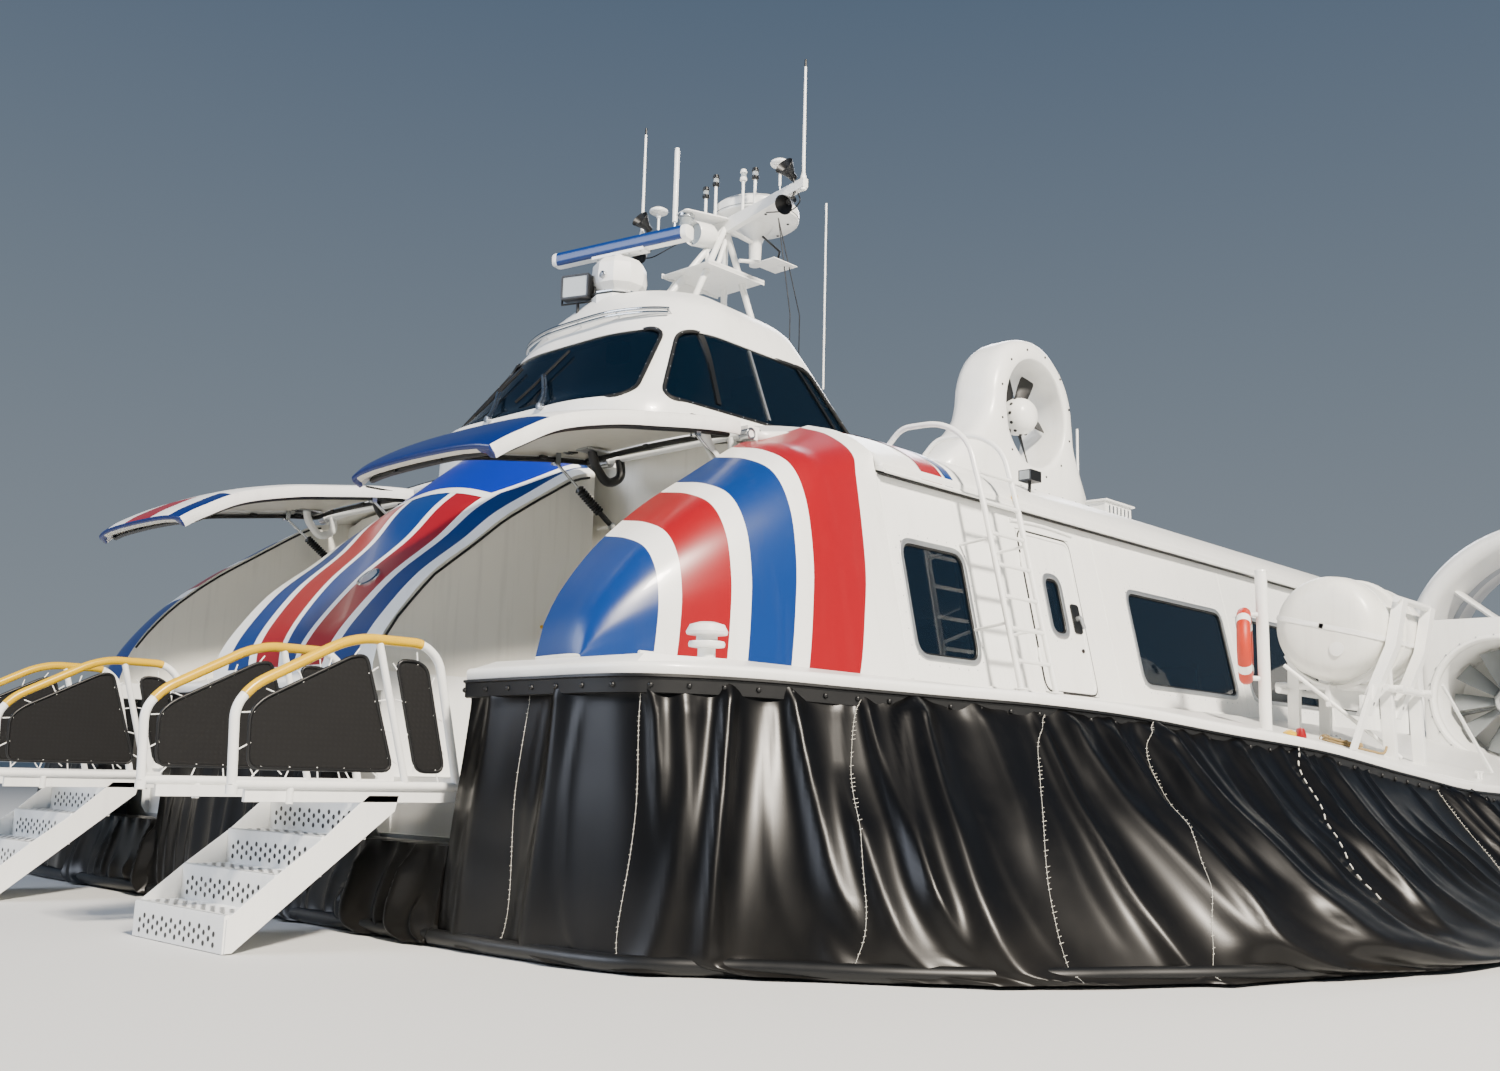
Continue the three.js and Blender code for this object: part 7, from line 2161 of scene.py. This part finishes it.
def stage():
    """Pale floor, soft light and the camera."""
    scene = bpy.context.scene
    camera = bpy.data.objects.new("camera", bpy.data.cameras.new("camera"))
    camera.data.lens, camera.data.sensor_width = 33.6, 36
    camera.data.clip_end = 500
    back = CAMERA_RIGHT.cross(CAMERA_UP).normalized()
    place = Matrix((CAMERA_RIGHT, CAMERA_UP, back)).transposed().to_4x4()
    place.translation = CAMERA_SPOT
    camera.matrix_world = place
    scene.collection.objects.link(camera)
    scene.camera = camera
    ring = [(FLOOR_RADIUS * cos(a), FLOOR_RADIUS * sin(a), FLOOR_Z) for a in circle(64)]
    mesh = bpy.data.meshes.new("floor")
    mesh.from_pydata(ring, [], [tuple(range(64))])
    mesh.materials.append(FINISH["floor"])
    ground = bpy.data.objects.new("floor", mesh)
    scene.collection.objects.link(ground)
    world = bpy.data.worlds.new("studio")
    scene.world = world
    world.use_nodes = True
    tree = world.node_tree
    tree.nodes.clear()
    place = add_node(tree, "ShaderNodeTexCoord")
    height = add_node(tree, "ShaderNodeSeparateXYZ", None, {"Vector": place.outputs["Generated"]})
    ramp = add_node(tree, "ShaderNodeMapRange", {"From Min": 0.0, "From Max": 0.7},
                    {"Value": height.outputs["Z"]})
    shade = add_node(tree, "ShaderNodeMix", {6: linear("C4D0DA"), 7: linear("55789F")}, {0: ramp.outputs[0]},
                     data_type="RGBA")
    light = add_node(tree, "ShaderNodeBackground", {"Strength": 0.46}, {"Color": shade.outputs[2]})
    add_node(tree, "ShaderNodeOutputWorld", None, {"Surface": light.outputs[0]})
    # Name, place, aim, size, power and colour of each soft light
    for name, spot, aim, size, power, tint in (
            ("key", (15, 27, 24), (3, 2, 2), 3.5, 36000, "FFF4E4"),
            ("fill", (28, -8, 12), (4, 0, 2), 12, 4200, "E6EEFF"),
            ("back", (-24, -14, 22), (-4, 0, 2), 12, 5000, "F2F5FF")):
        lamp = bpy.data.lights.new(name, "AREA")
        lamp.size, lamp.energy, lamp.color = size, power, linear(tint)[:3]
        made = bpy.data.objects.new(name, lamp)
        made.location = spot
        made.rotation_euler = (Vector(aim) - Vector(spot)).to_track_quat("-Z", "Y").to_euler()
        scene.collection.objects.link(made)


class CRAFT_OT_finishes(bpy.types.Operator):
    """Makes the finish of every surface"""
    bl_idname = "craft.finishes"
    bl_label = "Finishes"

    def execute(self, context):
        make_finishes()
        return {"FINISHED"}


class CRAFT_OT_stage(bpy.types.Operator):
    """Sets the floor, the lights and the camera"""
    bl_idname = "craft.stage"
    bl_label = "Stage"

    def execute(self, context):
        stage()
        return {"FINISHED"}


class CRAFT_OT_rope(bpy.types.Operator):
    """Lays the coiled mooring rope on the deck"""
    bl_idname = "craft.rope"
    bl_label = "Rope"

    def execute(self, context):
        deck_rope()
        return {"FINISHED"}


class CRAFT_OT_skirt(bpy.types.Operator):
    """Hangs the folded skirt from its clamp strip"""
    bl_idname = "craft.skirt"
    bl_label = "Skirt"

    def execute(self, context):
        for name, side in SIDES:
            side_skirt(name, side)
        end_skirt("skirt_cloth_bow", -1.13, 1.13, BOW_CENTRE, replaces="skirt_bow")
        end_skirt("skirt_cloth_slot_port", 1.1, 2.55, BOW_LOW, rows=24)
        end_skirt("skirt_cloth_slot_starboard", -2.55, -1.1, BOW_LOW, rows=24)
        end_skirt("skirt_cloth_stern", -4.2, 4.2, STERN_PROFILE, stern=True, columns=260,
                  replaces="skirt_stern")
        deck_edge()
        dress("hull", "white")
        return {"FINISHED"}


class CRAFT_OT_cabin(bpy.types.Operator):
    """Finishes the cabin sides with windows, doors and trim"""
    bl_idname = "craft.cabin"
    bl_label = "Cabin"

    def execute(self, context):
        cabin()
        return {"FINISHED"}


class CRAFT_OT_bow(bpy.types.Operator):
    """Skins the nose and the cheeks"""
    bl_idname = "craft.bow"
    bl_label = "Bow"

    def execute(self, context):
        nose()
        bays()
        for name, side in SIDES:
            cheek(name, side)
            bow_door(name, side)
            gas_struts(name, side)
            bay_door(name, side)
        return {"FINISHED"}


class CRAFT_OT_roof(bpy.types.Operator):
    """Builds the roof, the thrusters and the ladder"""
    bl_idname = "craft.roof"
    bl_label = "Roof"

    def execute(self, context):
        roof()
        for name, side in SIDES:
            thruster(name, side)
        ladder()
        return {"FINISHED"}


class CRAFT_OT_wheelhouse(bpy.types.Operator):
    """Builds the wheelhouse, the radar and the mast"""
    bl_idname = "craft.wheelhouse"
    bl_label = "Wheelhouse"

    def execute(self, context):
        wheelhouse()
        radar()
        mast()
        bridge()
        return {"FINISHED"}


class CRAFT_OT_deck(bpy.types.Operator):
    """Builds the liferafts, the stairs and the fittings of the deck"""
    bl_idname = "craft.deck"
    bl_label = "Deck"

    def execute(self, context):
        for name, side in SIDES:
            liferaft(name, side)
            stairs(name, side)
        vents_and_posts()
        return {"FINISHED"}


class CRAFT_OT_stern(bpy.types.Operator):
    """Builds the engine modules, the ducts, the propellers and the rudders"""
    bl_idname = "craft.stern"
    bl_label = "Stern"

    def execute(self, context):
        for name, side in SIDES:
            engine_module(name, side)
            duct(name, side)
            propeller(name, side)
            rudders(name, side)
        return {"FINISHED"}


class CRAFT_OT_seats(bpy.types.Operator):
    """Builds the seats of the cabin"""
    bl_idname = "craft.seats"
    bl_label = "Seats"

    def execute(self, context):
        cabin_seats()
        return {"FINISHED"}


STEPS = (CRAFT_OT_finishes, CRAFT_OT_stage, CRAFT_OT_rope, CRAFT_OT_skirt, CRAFT_OT_cabin, CRAFT_OT_bow,
         CRAFT_OT_roof, CRAFT_OT_wheelhouse, CRAFT_OT_deck, CRAFT_OT_stern, CRAFT_OT_seats)


class CRAFT_PT_panel(bpy.types.Panel):
    """The colours, the sizes and a button for each step"""
    bl_idname = "CRAFT_PT_panel"
    bl_label = "Hovercraft"
    bl_space_type = "VIEW_3D"
    bl_region_type = "UI"
    bl_category = "Hovercraft"

    def draw(self, context):
        for group in (context.scene.craft_paint, context.scene.craft_sizes):
            for key in group.__annotations__:
                self.layout.prop(group, key)
        for step in STEPS:
            self.layout.operator(step.bl_idname)


CLASSES = (CraftPaint, CraftSizes, *STEPS, CRAFT_PT_panel)


def register():
    for made in CLASSES:
        bpy.utils.register_class(made)
    bpy.types.Scene.craft_paint = bpy.props.PointerProperty(type=CraftPaint)
    bpy.types.Scene.craft_sizes = bpy.props.PointerProperty(type=CraftSizes)


def unregister():
    del bpy.types.Scene.craft_sizes
    del bpy.types.Scene.craft_paint
    for made in reversed(CLASSES):
        bpy.utils.unregister_class(made)


def main():
    register()
    bpy.ops.craft.finishes()
    bpy.ops.craft.stage()
    bpy.ops.craft.rope()
    bpy.ops.craft.skirt()
    bpy.ops.craft.cabin()
    bpy.ops.craft.bow()
    bpy.ops.craft.roof()
    bpy.ops.craft.wheelhouse()
    bpy.ops.craft.deck()
    bpy.ops.craft.stern()
    bpy.ops.craft.seats()


if __name__ == "__main__":
    main()
